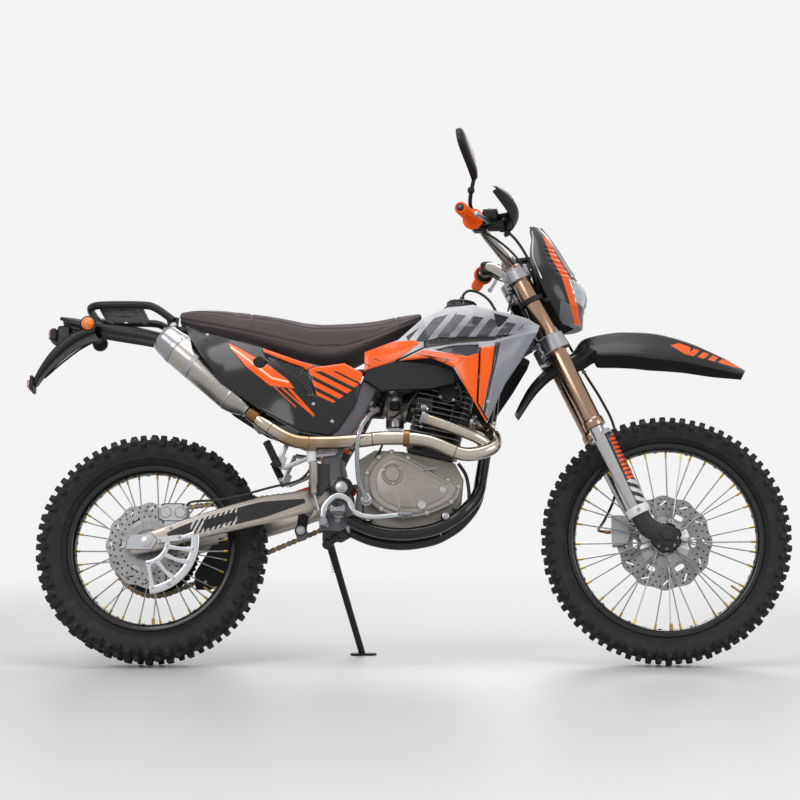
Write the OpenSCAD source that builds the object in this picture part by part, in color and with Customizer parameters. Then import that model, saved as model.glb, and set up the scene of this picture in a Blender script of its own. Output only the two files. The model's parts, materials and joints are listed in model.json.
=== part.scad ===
// Enduro dirt bike, parked and leaning on its side stand.
// The bike is drawn upright about the middle of its wheelbase: +X forwards, +Y to the rider's left, +Z up.
// The modules parked and steered then lean it over and turn the front end to where it rests.

/* [Stance] */
// Distance between the wheel axles
wheelbase = 1430; // [1410:5:1450]
// Lean over to the left when parked, in degrees
lean = 12.4; // [11:0.1:14]
// Steering angle when parked, in degrees, negative to the right
steer_rest = -6; // [-12:1:0]
// Steering lock to either side of straight ahead, in degrees
steer_lock = 38; // [30:1:40]

/* [Front end] */
// Steering head angle from upright, in degrees
rake = 25.3; // [24.5:0.1:26.5]
// Distance of the axle ahead of the fork legs
axle_lead = 40; // [34:1:44]
// Distance of the fork legs ahead of the steering axis
clamp_offset = 24; // [20:1:30]
// Distance between the fork leg centres
fork_spacing = 204; // [198:1:214]
// Diameter of the upper fork tubes
fork_tube_d = 54; // [48:1:56]
// Diameter of the sliding fork tubes
slider_d = 42; // [36:1:44]
// Width over the handlebar grips
bar_width = 820; // [760:5:860]
// Diameter of the handlebar at its clamps
bar_d = 28; // [24:1:30]
// Diameter of a grip
grip_d = 34; // [31:1:38]

/* [Wheels] */
// Radius of the front tyre over its lugs
front_tyre_r = 347.5; // [344:0.5:352]
// Width of the front tyre
front_tyre_w = 88; // [82:1:92]
// Radius of the rear tyre over its lugs
rear_tyre_r = 323; // [320:0.5:327]
// Width of the rear tyre
rear_tyre_w = 112; // [106:1:116]
// Height of the tread lugs
lug_h = 13; // [9:0.5:15]
// Number of lug rows round the front tyre
front_lugs = 38; // [30:1:42]
// Number of lug rows round the rear tyre
rear_lugs = 34; // [28:1:36]
// Outer radius of the front rim
front_rim_r = 270; // [266:1:274]
// Outer radius of the rear rim
rear_rim_r = 232; // [228:1:236]
// Width of the front rim
front_rim_w = 50; // [44:1:54]
// Width of the rear rim
rear_rim_w = 64; // [58:1:68]
// Depth of the rim bed
rim_depth = 16; // [13:1:20]
// Diameter of a spoke
spoke_d = 4.5; // [3.5:0.5:6]
// Number of spokes in each wheel
spoke_count = 36; // [28:4:36]
// Diameter of the front brake disc
front_disc_d = 270; // [250:2:280]
// Diameter of the rear brake disc
rear_disc_d = 240; // [220:2:250]
// Thickness of the brake discs
disc_t = 4; // [3:0.5:5]

/* [Chain drive] */
// Chain pitch
chain_pitch = 15.875; // [12.7:0.005:15.9]
// Teeth on the rear sprocket
rear_teeth = 48; // [44:1:50]
// Teeth on the engine sprocket
front_teeth = 13; // [12:1:15]
// Distance of the chain from the middle of the bike
chain_y = 78; // [75:1:80]
// Width of the chain over its plates
chain_w = 16; // [12:1:18]

/* [Frame and body] */
// Height of the swingarm pivot
pivot_z = 480; // [474:1:486]
// Distance of the swingarm pivot behind the middle of the wheelbase
pivot_back = 185; // [180:1:195]
// Diameter of the cradle tubes
cradle_d = 34; // [30:1:38]
// Diameter of the rear subframe tubes
subframe_d = 20; // [16:1:24]
// Diameter of the grab rail
rail_d = 22; // [18:1:24]
// Height of the seat at its lowest point
seat_z = 956; // [946:1:966]
// Thickness of the body panels
panel_t = 4; // [3:0.5:5]
// Width over the tank shrouds
shroud_width = 420; // [400:5:440]

/* [Engine] */
// Side of the cylinder fins across the bike
fin_w = 176; // [160:2:184]
// Length of the cylinder fins along the bike
fin_l = 168; // [150:2:176]
// Thickness of one cooling fin
fin_t = 3; // [2:0.5:4]
// Number of cooling fins
fin_count = 12; // [8:1:13]
// Forward tilt of the cylinder, in degrees
cylinder_tilt = 13; // [10:1:15]
// Width of the crankcase
case_w = 190; // [180:2:200]
// Diameter of the exhaust pipe
pipe_d = 38; // [34:1:42]
// Diameter of the silencer
silencer_d = 90; // [84:1:94]

/* [Side stand] */
// Length of the side stand from its pivot to its foot
stand_len = 356; // [350:1:362]
// Diameter of the stand leg
stand_d = 20; // [16:1:24]

/* [Hidden] */
$fn = 48;
fit = 0.3;
left = 1;
right = -1;

// Colours
orange = [1, 0.39, 0.02];
satin_black = [0.07, 0.07, 0.08];
cast_grey = [0.62, 0.6, 0.56];
champagne = [0.66, 0.56, 0.44];
bright_steel = [0.75, 0.75, 0.76];
body_white = [0.85, 0.86, 0.88];

// Vector work
function unit(v) = v / norm(v);
function turn(v, k, a) = v * cos(a) + cross(k, v) * sin(a) + k * (k * v) * (1 - cos(a));
function sum(v, i = 0) = i < len(v) - 1 ? v[i] + sum(v, i + 1) : v[i];
function mix(a, b, t) = a * (1 - t) + b * t;
function flip(v, side) = [v[0], v[1] * side, v[2]];
function flipped(path, side) = [for (p = path) flip(p, side)];

// A smooth curve through chosen points, k steps to each span
function spline(a, b, c, d, t) = 0.5 * (2 * b + (c - a) * t + (2 * a - 5 * b + 4 * c - d) * t * t
    + (3 * b - a - 3 * c + d) * t * t * t);
function curve(p, k = 4) = [
    for (i = [0 : len(p) - 2])
        for (j = [0 : k - 1])
            spline(p[max(i - 1, 0)], p[i], p[i + 1], p[min(i + 2, len(p) - 1)], j / k),
    p[len(p) - 1]];

// Directions and untwisted normals along a path
function run(p, i) = i < 0 || i > len(p) - 2 ? [0, 0, 0] : unit(p[i + 1] - p[i]);
function tangent(p, i) = unit(run(p, i - 1) + run(p, i));
function across(n, t) = unit(n - t * (n * t));
function normals(p, hint) = [
    for (i = 0, n = across(hint, tangent(p, 0)); i < len(p);
        i = i + 1, n = i < len(p) ? across(n, tangent(p, i)) : n) n];

// One closed solid through rings of points, with a fan over each end, faces turned outwards
function ring_faces(m, n) = [
    for (i = [0 : m - 2]) for (j = [0 : n - 1])
        each [[i * n + j, i * n + (j + 1) % n, (i + 1) * n + j],
            [i * n + (j + 1) % n, (i + 1) * n + (j + 1) % n, (i + 1) * n + j]],
    for (j = [0 : n - 1]) [m * n, (j + 1) % n, j],
    for (j = [0 : n - 1]) [m * n + 1, (m - 1) * n + j, (m - 1) * n + (j + 1) % n]];
function signed_volume(p, f) = sum([for (t = f) p[t[0]] * cross(p[t[1]], p[t[2]])]);
function outwards(p, f) = signed_volume(p, f) < 0 ? f : [for (t = f) [t[2], t[1], t[0]]];

module skin(rings) {
    m = len(rings);
    n = len(rings[0]);
    points = concat([for (r = rings) each r], [sum(rings[0]) / n, sum(rings[m - 1]) / n]);
    polyhedron(points, outwards(points, ring_faces(m, n)), convexity = 6);
}

// A closed sheet through rings that each run out along one face and back along the other
function sheet_faces(m, n) = [
    for (i = [0 : m - 2]) for (j = [0 : n - 1])
        each [[i * n + j, i * n + (j + 1) % n, (i + 1) * n + j],
            [i * n + (j + 1) % n, (i + 1) * n + (j + 1) % n, (i + 1) * n + j]],
    for (j = [0 : n / 2 - 2]) each [[n - 1 - j, j + 1, j], [n - 1 - j, n - 2 - j, j + 1]],
    for (j = [0 : n / 2 - 2]) let (b = (m - 1) * n)
        each [[b + j, b + j + 1, b + n - 1 - j], [b + j + 1, b + n - 2 - j, b + n - 1 - j]]];
module sheet(rings) {
    points = [for (r = rings) each r];
    polyhedron(points, outwards(points, sheet_faces(len(rings), len(rings[0]))), convexity = 6);
}

// A tube along a path; r is one radius or one for each point
function radius_at(r, i) = is_list(r) ? r[i] : r;
module tube(path, r, n = 10, hint = [0, 1, 0.01]) {
    sides = normals(path, hint);
    skin([for (i = [0 : len(path) - 1]) let (t = tangent(path, i), u = sides[i], w = cross(t, u))
        [for (j = [0 : n - 1]) path[i] + (u * cos(360 * j / n) + w * sin(360 * j / n)) * radius_at(r, i)]]);
}

// A rectangular tube along a path, w across and h high
module box_tube(path, w, h, hint = [0, 1, 0.01]) {
    sides = normals(path, hint);
    skin([for (i = [0 : len(path) - 1]) let (t = tangent(path, i), u = sides[i] * w / 2, v = cross(t, sides[i]) * h / 2,
        cu = u * 0.72, cv = v * 0.72)
        [for (c = [u + cv, cu + v, v - cu, cv - u, -u - cv, -cu - v, cu - v, u - cv]) path[i] + c]]);
}

// A round bar between two points
module rod(a, b, d, n = 24) {
    v = b - a;
    translate(a) rotate([0, acos(v[2] / norm(v)), atan2(v[1], v[0])]) cylinder(d = d, h = norm(v), $fn = n);
}

// A flat plate in the bike's XZ plane from y0 to y1
module plate(outline, y0, y1) {
    translate([0, max(y0, y1), 0]) rotate([90, 0, 0]) linear_extrude(abs(y1 - y0)) polygon(outline);
}

// A body shell from ribs; each rib is [upper point, lower point, bulge outwards]
function rib(r, side, t, k) = let (out = [for (s = [0 : k]) let (q = s / k)
        mix(r[0], r[1], q) + [0, r[2] * sin(180 * q), 0]])
    [for (p = out) flip(p, side), for (s = [k : -1 : 0]) flip(out[s] - [0, t, 0], side)];
module shell(ribs, side, t, k = 4) sheet([for (r = ribs) rib(r, side, t, k)]);

// An arched sheet along a path of [x, z, half width, edge drop] stations
module arched(stations, t, k = 6) {
    line = [for (s = stations) [s[0], 0, s[1]]];
    sheet([for (i = [0 : len(line) - 1]) let (d = tangent(line, i), up = [-d[2], 0, d[0]], s = stations[i],
        top = [for (j = [-k / 2 : k / 2]) let (q = 2 * j / k) line[i] + [0, q * s[2], 0] - up * s[3] * q * q])
        [for (p = top) p, for (j = [k : -1 : 0]) top[j] - up * t]]);
}

// A block along a path of [x, z, half width, half height] stations, square to the path
module bar_loft(stations) {
    line = [for (s = stations) [s[0], 0, s[1]]];
    skin([for (i = [0 : len(line) - 1]) let (d = tangent(line, i), up = [-d[2], 0, d[0]] * stations[i][3], w = stations[i][2])
        [for (c = [[1, 0.6], [0.7, 1], [-0.7, 1], [-1, 0.6], [-1, -0.6], [-0.7, -1], [0.7, -1], [1, -0.6]])
            line[i] + [0, c[0] * w, 0] + up * c[1]]]);
}

// A superellipse ring across the bike at x: half width, top, bottom, power, and how far the waist sits below the middle
function hoop(x, w, top, bottom, power = 2.6, n = 16) = [for (j = [0 : n - 1]) let (a = 360 * (j + 0.5) / n,
    c = cos(a), s = sin(a))
    [x, w * sign(c) * pow(abs(c), 2 / power), (top + bottom) / 2 + (top - bottom) / 2 * sign(s) * pow(abs(s), 2 / power)]];

// Steering geometry
front_x = wheelbase / 2;
rear_x = -wheelbase / 2;
steer_axis = [-sin(rake), 0, cos(rake)];
steer_ahead = [cos(rake), 0, sin(rake)];
fork_y = fork_spacing / 2;

// Places read with the axles at these x: the front end and the rear brake go with their axles,
// and frame and tank points ahead of the engine take a growing share of the front axle's move
read_front_x = 715;
read_rear_x = -715;
fore = [front_x - read_front_x, 0, 0];
aft = [rear_x - read_rear_x, 0, 0];
function lead(x) = x + fore[0] * min(max((x - 60) / 320, 0), 1);
function led(path) = [for (p = path) [lead(p[0]), p[1], p[2]]];

// Tread profiles as [radius, y], from one bead to the other; the flags say which rows carry the lugs
front_crown = front_tyre_r - lug_h;
rear_crown = rear_tyre_r - lug_h;
function tread(r, w) = [[r - 0.12 * w, 0.46 * w], [r - 0.03 * w, 0.3 * w], [r, 0.13 * w]];
function highest(r, w) = max([for (p = tread(r, w)) p[0] * cos(lean) + p[1] * sin(lean)]);
rear_axle_z = highest(rear_tyre_r, rear_tyre_w) / cos(lean);

// The steered front wheel leans a little more, and its axle swings aside by its distance from the steering axis
swing = axle_lead + clamp_offset;
wheel_axis = turn([0, 1, 0], steer_axis, steer_rest);
level_part = -wheel_axis[1] * sin(lean) + wheel_axis[2] * cos(lean);
front_reach = max([for (p = tread(front_tyre_r, front_tyre_w)) p[0] * sqrt(1 - level_part * level_part)
    + p[1] * abs(level_part)]);
axle_shift = turn(steer_ahead * swing, steer_axis, steer_rest) - steer_ahead * swing;
front_axle_z = (front_reach + axle_shift[1] * sin(lean)) / cos(lean) - axle_shift[2];
steer_foot = [front_x, 0, front_axle_z] - steer_ahead * swing;
function on_steer(z) = steer_foot + steer_axis * (z - steer_foot[2]) / cos(rake);
function on_leg(z, side) = on_steer(z) + steer_ahead * clamp_offset / cos(rake) * cos(rake) + [0, side * fork_y, 0];

// Middle of the parked bike's outline, which is put over the origin
middle_x = -10.3;
middle_y = 263.8;

module parked() translate([-middle_x, -middle_y, 0]) rotate([-lean, 0, 0]) children();
module steered() parked() translate(steer_foot) rotate([0, -rake, 0]) rotate([0, 0, steer_rest])
    rotate([0, rake, 0]) translate(-steer_foot) children();
// Puts what is drawn along the steering axis, with its origin at height z on that axis, into the bike
module on_head(z) translate(on_steer(z)) rotate([0, -rake, 0]) children();
module sides() for (s = [right, left]) mirror([0, s == right ? 0 : 1, 0]) children();

// Frame: twin spars under the tank, side plates at the swingarm pivot and a cradle that splits under the engine
head_low = 915;
head_high = 1045;
stem_d = 30;
pivot = [-pivot_back, 0, pivot_z];
pivot_tube_d = 42;
spar_y = 105;
spar_w = 26;
spar_h = 46;
cradle_y = 88;
spar_path = [[on_steer(930)[0] - 22, 30, 925], [lead(262), 46, 878], [lead(200), 64, 844], [60, spar_y - 18, 832], [-80, spar_y, 802],
    [-150, spar_y, 690], [-205, spar_y, 590], [-212, spar_y, 520], pivot + [0, spar_y, -10],
    [-168, chain_y + chain_w / 2 + spar_w / 2 + 0.8, 400]];
cradle_path = [[on_steer(935)[0] - 18, 0, 925], [lead(262), 0, 850], [lead(232), 0, 700], [lead(205), 34, 540],
    [lead(190), 64, 470], [152, cradle_y, 420], [110, cradle_y, 388], [60, cradle_y, 366], [-20, cradle_y, 355], [-100, cradle_y, 366], [-168, 95, 395]];
side_plate = [[-222, 560], [-180, 560], [-150, 430], [-150, 385], [-190, 362], [-246, 366], [-246, 392], [-214, 430]];
shock_y = -20;
shock_eye = [-98, shock_y, 792];
shock_d = 22;
mount_d = 26;
module main_frame() color(satin_black) parked() {
    difference() {
        on_head(head_low) cylinder(d = 62, h = (head_high - head_low) / cos(rake));
        on_head(head_low - 10) cylinder(d = stem_d + 2 * fit, h = (head_high - head_low + 20) / cos(rake));
    }
    difference() {
        for (s = [right, left]) {
            box_tube(curve(flipped(spar_path, s), 2), spar_w, spar_h);
            tube(curve(flipped(cradle_path, s), 2), cradle_d / 2, 8);
        }
        on_head(head_low - 10) cylinder(d = 50, h = (head_high - head_low + 20) / cos(rake));
    }
    for (s = [right, left]) {
        translate(pivot + [0, s * spar_y, 0]) rotate([90, 0, 0]) cylinder(d = 62, h = 30, center = true);
        plate(side_plate, s * 93, s * 103);
        for (m = [[100, 402], [-112, 398]])
            rod([m[0], s * cradle_y, m[1]], [m[0], s < 0 ? case_right - fit : case_left + fit, m[1]], mount_d);
    }
    rod([-172, -98, 396], [-172, 98, 396], 28);
    rod([shock_eye[0], -98, shock_eye[2]], [shock_eye[0], 98, shock_eye[2]], shock_d);
    rod(stand_pivot - stand_axis * 34, stand_pivot - stand_axis * (12 + fit), 30);
    rod(stand_pivot - stand_axis * 30, [-200, 88, 378], 20);
}

// Rear subframe, bolted inside the spars
sub_y = spar_y - spar_w / 2 - fit - subframe_d / 2;
sub_top = [[-93, sub_y, 816], [-150, sub_y, 813], [-250, 88, 815], [-400, 90, 862], [-560, 86, 918], [-668, 76, 944]];
sub_low = [[-204, sub_y, 596], [-250, sub_y, 640], [-330, 88, 712], [-470, 88, 834], [-560, 86, 916]];
seat_bar = [-400, 0, 873.3];
tail_bar = [-640, 0, 940];
sil_front = [-440, -146, 691];
sil_rear = [-685, -150, 901];
sil_dir = unit(sil_rear - sil_front);
sil_up = across([0.3, 0.9, 0.6], sil_dir);
sil_grip = mix(sil_front, sil_rear, 0.62) + sil_up * (silencer_d / 2 + fit);
module subframe() color(satin_black) parked() {
    sides() {
        tube(curve(sub_top, 2), subframe_d / 2, 8);
        tube(curve(sub_low, 2), subframe_d / 2, 8);
        rod([-420, 86, 869], [-420, panel_inner(3, 0.05) - 4, 869], 16);
        rod([-352, 86, 732], [-352, 122, 732], 14);
    }
    rod([seat_bar[0], -88, seat_bar[2]], [seat_bar[0], 88, seat_bar[2]], subframe_d);
    rod([tail_bar[0], -78, tail_bar[2]], [tail_bar[0], 78, tail_bar[2]], subframe_d);
    rod(sil_grip, sil_grip + sil_up * 24, 16);
    rod(sil_grip + sil_up * 16, [-560, -86, 917], 14);
}

// Grab rail with a small rack plate, bolted outside the subframe's ends
rail_z = 1008;
rail_path = [[-662, 96, 962], [-712, 94, 998], [-752, 92, rail_z], [-860, 92, rail_z], [-895, 74, rail_z],
    [-905, 40, rail_z], [-906, 0, rail_z]];
rack_hole_d = 7;
rack_pcd = 110;
rack_x = -815;
module grab_rail() color(satin_black) parked() {
    difference() {
        union() {
            for (s = [right, left]) {
                tube(curve(flipped(rail_path, s), 2), rail_d / 2, 8);
                plate([[-676, 936], [-650, 936], [-646, 970], [-684, 978]], s * 89, s * 96);
            }
            translate([rack_x - 62, -56, rail_z - 5]) cube([124, 112, 8]);
            for (x = [-48, 48])
                translate([rack_x + x - 8, -92, rail_z - 6]) cube([16, 184, 6]);
        }
        for (a = [45 : 90 : 315])
            translate([rack_x, 0, rail_z - 20]) rotate(a) translate([rack_pcd / 2, 0, 0]) cylinder(d = rack_hole_d, h = 40);
    }
}

// Swingarm with its pivot tube, which passes between the chain's two runs
arm_y = 112;
arm_path = [[rear_x - 45, arm_y, rear_axle_z - 12], [rear_x + 30, arm_y, rear_axle_z + 8],
    [rear_x + 115, arm_y, rear_axle_z + 36], [-430 + aft[0] / 2, arm_y - 4, 410], [-300, arm_y - 20, 442], [-212, 76, 464]];
arm_heights = [46, 58, 62, 74, 64, 48];
axle_d = 20;
module swingarm() color(champagne) parked() difference() {
    union() {
        for (s = [right, left]) {
            p = flipped(arm_path, s);
            skin([for (i = [0 : len(p) - 1]) let (t = tangent(p, i), v = cross([0, 1, 0], t) * arm_heights[i] / 2)
                [for (c = [[12, 0.7], [8, 1], [-8, 1], [-12, 0.7], [-12, -0.7], [-8, -1], [8, -1], [12, -0.7]])
                    p[i] + [0, c[0], 0] + v * c[1]]]);
        }
        translate(pivot) rotate([90, 0, 0])
            cylinder(d = pivot_tube_d, h = 2 * (spar_y - 15 - fit), center = true);
        translate([-222, -80, 446]) cube([34, 160, 36]);
    }
    for (s = [right, left])
        translate([rear_x, s * arm_y, rear_axle_z]) rotate([90, 0, 0])
            cylinder(d = axle_d + 2 * fit, h = 60, center = true);
}

module rear_axle() color(bright_steel) parked() translate([rear_x, 0, rear_axle_z]) rotate([90, 0, 0]) {
    cylinder(d = axle_d, h = 2 * arm_y + 44, center = true);
    for (s = [right, left])
        translate([0, 0, s * (arm_y + 12 + fit + 5)]) cylinder(d = 34, h = 10, center = true, $fn = 6);
}

// Engine; the crankcase top is square to the tilted cylinder
cylinder_foot = [58, 0, 575];
function on_cyl(p) = cylinder_foot + turn(p, [0, 1, 0], cylinder_tilt);
function flat(p) = [p[0], p[2]];
case_right = 32 - case_w / 2;
case_left = case_w / 2 - 26;
cover_face = -22 - case_w / 2;
case_outline = [[-138, 412], [-150, 440], [-146, 470], [-140, 520], [-140, 568], [-95, 596], flat(on_cyl([-78, 0, 0])),
    flat(on_cyl([72, 0, 0])), [152, 512], [146, 448], [112, 406], [60, 380], [-60, 380], [-118, 392]];
clutch_outline = [[-121, 524], [-88, 570], [-51, 586], [-4, 568], [60, 535], [112, 503], [142, 484], [120, 440], [50, 408],
    [-18, 400], [-80, 420], [-118, 460]];
kick_pivot = [-118, 0, 447];
gear_pivot = [-110, 0, 424];
generator = [60, 0, 478];
module engine_cases() color(cast_grey) parked() {
    plate(case_outline, case_right, case_left);
    plate(clutch_outline, cover_face + 10, case_right);
    plate([for (p = clutch_outline) mix([10, 490], p, 0.9)], cover_face, cover_face + 10);
    translate([-46, cover_face, 517]) rotate([90, 0, 0]) cylinder(d = 52, h = 8);
    translate(kick_pivot + [0, cover_face + 12, 0]) rotate([90, 0, 0]) cylinder(d = 34, h = 10);
    translate(generator + [0, case_left, 0]) rotate([-90, 0, 0]) cylinder(d = 136, h = 28);
    translate(generator + [0, case_left + 28, 0]) rotate([-90, 0, 0]) cylinder(d = 110, h = 8);
    translate(gear_pivot + [0, case_left - 10, 0]) rotate([-90, 0, 0]) cylinder(d = 26, h = 48);
}

fin_foot = 30;
fin_top = 214;
port_z = 125;
intake_y = 14;
exhaust_y = -44;
module cylinder_block() color([0.2, 0.2, 0.21]) parked() {
    pitch = (fin_top - fin_foot) / fin_count;
    translate(cylinder_foot) rotate([0, cylinder_tilt, 0]) {
        translate([0, 0, 10]) cylinder(d = 116, h = fin_top - 10);
        translate([0, 0, fit]) linear_extrude(16) square([130, 122], center = true);
        for (i = [0 : fin_count - 1]) let (cut = i < fin_count / 2 ? 20 : 0)
            translate([0, 0, fin_foot + i * pitch]) linear_extrude(fin_t)
                square([fin_l - cut, fin_w - cut], center = true);
        translate([0, 0, fin_top - 6]) linear_extrude(18) square([118, 120], center = true);
        translate([-90, intake_y, port_z]) rotate([0, 90, 0]) cylinder(d = 46, h = 60);
        translate([30, exhaust_y, port_z]) rotate([0, 90, 0]) cylinder(d = 56, h = 60);
    }
}

module carburettor() color([0.5, 0.5, 0.5]) parked() {
    rod(on_cyl([-90 - fit, intake_y, port_z]), on_cyl([-160, intake_y, port_z]), 52);
    translate([-52, intake_y, 676]) cylinder(d = 58, h = 96);
    tube(curve([[-60, intake_y, 731], [-112, 32, 736], [-148, 46, 740], [-230, 46, 745], [-305, 34, 748]], 3), 24, 12);
    translate([-440, -66, 668]) cube([140, 132, 140]);
}

// Exhaust: the pipe leaves the head forwards, turns back under a capped branch and rises into the silencer
pipe_y = -150;
port_out = on_cyl([93, exhaust_y, port_z]);
header_path = [port_out, on_cyl([112, exhaust_y - 3, port_z]), [219, -76, 652], [236, -112, 618], [224, -138, 584],
    [150, pipe_y, 566], [49, pipe_y, 604], [-60, pipe_y + 4, 612], [-140, pipe_y + 4, 604], [-230, pipe_y, 598],
    [-318, pipe_y - 2, 604], [-396, pipe_y - 2, 648], sil_front - sil_dir * 24, sil_front - sil_dir * 2];
branch_path = [[38, pipe_y - 4, 668], [110, pipe_y - 4, 642], [180, pipe_y + 4, 616], [224, -124, 594]];
module exhaust_header() color([0.7, 0.62, 0.52]) parked() {
    tube(curve(header_path, 3), pipe_d / 2, 8);
    tube(curve(branch_path, 3), pipe_d / 2 - 3, 8);
}

module silencer() color(bright_steel) parked() {
    n = norm(sil_rear - sil_front);
    r = silencer_d / 2;
    translate(sil_front) rotate([0, acos(sil_dir[2]), atan2(sil_dir[1], sil_dir[0])]) rotate_extrude()
        polygon([[0, 0], [pipe_d / 2 + 4, 0], [pipe_d / 2 + 4, 12], [r - 3, 70], [r, 84], [r, n - 50], [r - 3, n - 46],
            [r - 9, n], [20, n], [17, n - 14], [0, n - 14]]);
}

// Fuel tank behind the shrouds, with its cap and the bosses that the shrouds bolt to
cap_x = 150;
module fuel_tank() color(satin_black) parked() {
    w = shroud_y - 106;
    skin([hoop(-60, w - 54, 902, 878), hoop(-20, w - 32, 928, 872), hoop(34, w - 14, 966, 866), hoop(44, w - 12, 990, 866),
        hoop(lead(90), w - 4, 1006, 866), hoop(lead(160), w, 1014, 876), hoop(lead(215), w - 8, 1000, 905),
        hoop(lead(246), w - 30, 974, 930)]);
    translate([lead(cap_x), 0, 1004]) rotate([0, 4, 0]) {
        cylinder(d = 96, h = 20);
        translate([0, 0, 20]) cylinder(d = 80, h = 22);
    }
    sides() for (i = [3, 4]) let (b = rib_at(shroud_ribs(shroud_y)[i], 0.25))
        rod([b[0], w - 34, b[2] - 2], [b[0], b[1] - panel_t - fit - 3, b[2] - 2], 12);
}

// Seat
module seat() color([0.16, 0.14, 0.13]) parked()
    skin([hoop(-648, 66, 1000, 962, 3), hoop(-600, 88, 1000, 940, 3), hoop(-480, 104, 989, 906, 3), hoop(-380, 112, 976, 878, 3),
        hoop(-266, 112, seat_z, 848, 3), hoop(-180, 104, seat_z + 2, 852, 3), hoop(-100, 88, 967, 892, 3), hoop(-30, 70, 984, 936, 3),
        hoop(36, 50, 1002, 972, 3)]);

// Tank shrouds, from the seat's nose over the tank's sides and out to their forward tips
shroud_y = shroud_width / 2;
function shroud_ribs(y) = [
    [[-124, y - 88, 862], [-124, y - 82, 806], 2],
    [[-30, y - 92, 900], [-30, y - 72, 834], 6],
    [[40, y - 104, 968], [60, y - 52, 838], 14],
    [[lead(110), y - 100, 998], [lead(122), y - 36, 806], 20],
    [[lead(180), y - 92, 1002], [lead(168), y - 26, 722], 24],
    [[lead(250), y - 66, 975], [lead(212), y - 28, 646], 20],
    [[lead(300), y - 40, 955], [lead(262), y - 18, 754], 8],
    [[lead(330), y - 24, 940], [lead(308), y - 14, 822], 4],
    [[lead(360), y - 14, 918], [lead(352), y - 12, 896], 1]];
function rib_at(r, q) = mix(r[0], r[1], q) + [0, r[2] * sin(180 * q), 0];
module shrouds() color(orange) parked() for (s = [right, left]) shell(shroud_ribs(shroud_y), s, panel_t);

// Side panels, whose lower edge flares out over the silencer
panel_y = 118;
function panel_ribs(y) = [
    [[-632, y - 14, 946], [-628, y - 12, 936], 0],
    [[-573, y - 4, 924], [-590, y + 80, 862], 2],
    [[-480, y + 6, 898], [-518, y + 88, 758], 10],
    [[-406, y + 6, 876], [-413, y + 64, 686], 8],
    [[-300, y + 4, 838], [-300, y + 8, 634], 8],
    [[-240, y + 4, 822], [-222, y + 6, 622], 6],
    [[-180, y + 6, 830], [-196, y + 6, 640], 3],
    [[-128, y + 10, 800], [-150, y + 10, 712], 2]];
function panel_inner(i, q) = rib_at(panel_ribs(panel_y)[i], q)[1] - panel_t;
module side_panels() color(satin_black) parked() for (s = [right, left]) shell(panel_ribs(panel_y), s, panel_t);

// Rear fender, tail and plate arm
lamp_x = -1000;
plate_x = -1074;
stalk_y = 94;
module rear_fender() color(satin_black) parked() {
    arched([[-990, 998, 34, 8], [-950, 988, 52, 12], [-880, 976, 66, 14], [-760, 958, 76, 14], [-640, tail_bar[2] - subframe_d / 2 - fit, 68, 10]], 30);
    bar_loft([[-900, 952, 44, 16], [-950, 932, 42, 18], [-1000, 890, 38, 15], [-1038, 844, 28, 11], [-1064, 800, 20, 7]]);
    translate([lamp_x, -30, 905]) cube([40, 60, 62]);
    translate([plate_x, -24, 780]) cube([10, 48, 40]);
    for (s = [right, left])
        rod([-900, s * 36, 952], [-900, s * stalk_y, 950], 14);
}

module tail_lamps() {
    color([0.7, 0.05, 0.05]) parked() {
        translate([lamp_x - fit - 24, -32, 924]) cube([24, 64, 34]);
        translate([plate_x - fit - 8, -20, 788]) cube([8, 40, 22]);
    }
    color([1, 0.5, 0.05]) parked() for (s = [right, left])
        translate([-900, s * (stalk_y + fit), 950]) rotate([s < 0 ? 90 : -90, 0, 0])
            rotate_extrude() polygon([[0, 0], [14, 0], [18, 8], [17, 20], [11, 28], [0, 31]]);
}

// Footpegs for rider and passenger
peg = [-193, 128, 404];
peg_foot = chain_y + chain_w / 2 + spar_w + 3;
module footpegs() color(bright_steel) parked() for (s = [right, left]) {
    difference() {
        translate([peg[0] - 21, s < 0 ? -peg[1] - 82 : peg[1], peg[2] - 8]) cube([42, 82, 16]);
        for (i = [0 : 3])
            translate([peg[0] - 14, (s < 0 ? -peg[1] - 76 : peg[1] + 6) + i * 19, peg[2] - 4]) cube([28, 12, 20]);
    }
    translate([peg[0] - 14, s < 0 ? -peg[1] : peg_foot, peg[2] - 9]) cube([28, peg[1] - peg_foot, 18]);
    difference() {
        plate([[-330, 622], [-196, 602], [-196, 574], [-262, 566], [-350, 528], [-366, 540]], s * (118 + fit), s * 127);
        plate([[-318, 606], [-252, 594], [-280, 574], [-344, 548]], s * 100, s * 140);
    }
    rod([-392, s * 138, 604], [-358, s * 138, 534], 22);
    translate([-372, s < 0 ? -134 : 122, 541]) cube([14, 12, 14]);
}

// Brake pedal, gear lever and kick starter
pedal_pivot = [-234, -104, 384];
module foot_controls() color(bright_steel) parked() {
    rod([pedal_pivot[0], -103 - fit, pedal_pivot[2]], [pedal_pivot[0], -136, pedal_pivot[2]], 24);
    tube(curve([[-234, -128, 384], [-230, -128, 424], [-200, -128, 453], [-166, -129, 442], [-148, -132, 408], [-100, -136, 394],
        [-20, -142, 400]], 3), 7, 6);
    translate([-30, -166, 394]) cube([36, 40, 12]);
    rod(gear_pivot + [0, case_left + 38 + fit, 0], gear_pivot + [0, case_left + 62, 0], 22);
    tube(curve([gear_pivot + [0, case_left + 52, 0], [-80, 126, 412], [-30, 130, 404], [0, 132, 410]], 3), 7, 6);
    rod([0, 128, 410], [0, 168, 410], 16);
    rod(kick_pivot + [0, cover_face + 2 - fit, 0], kick_pivot + [0, cover_face - 20, 0], 26);
    tube(curve([kick_pivot + [0, cover_face - 12, 0], [-136, -150, 490], [-142, -176, 560], [-138, -184, 610], [-128, -180, 640],
        [-108, -184, 668], [-84, -206, 680]], 3), 8, 6);
}

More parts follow.
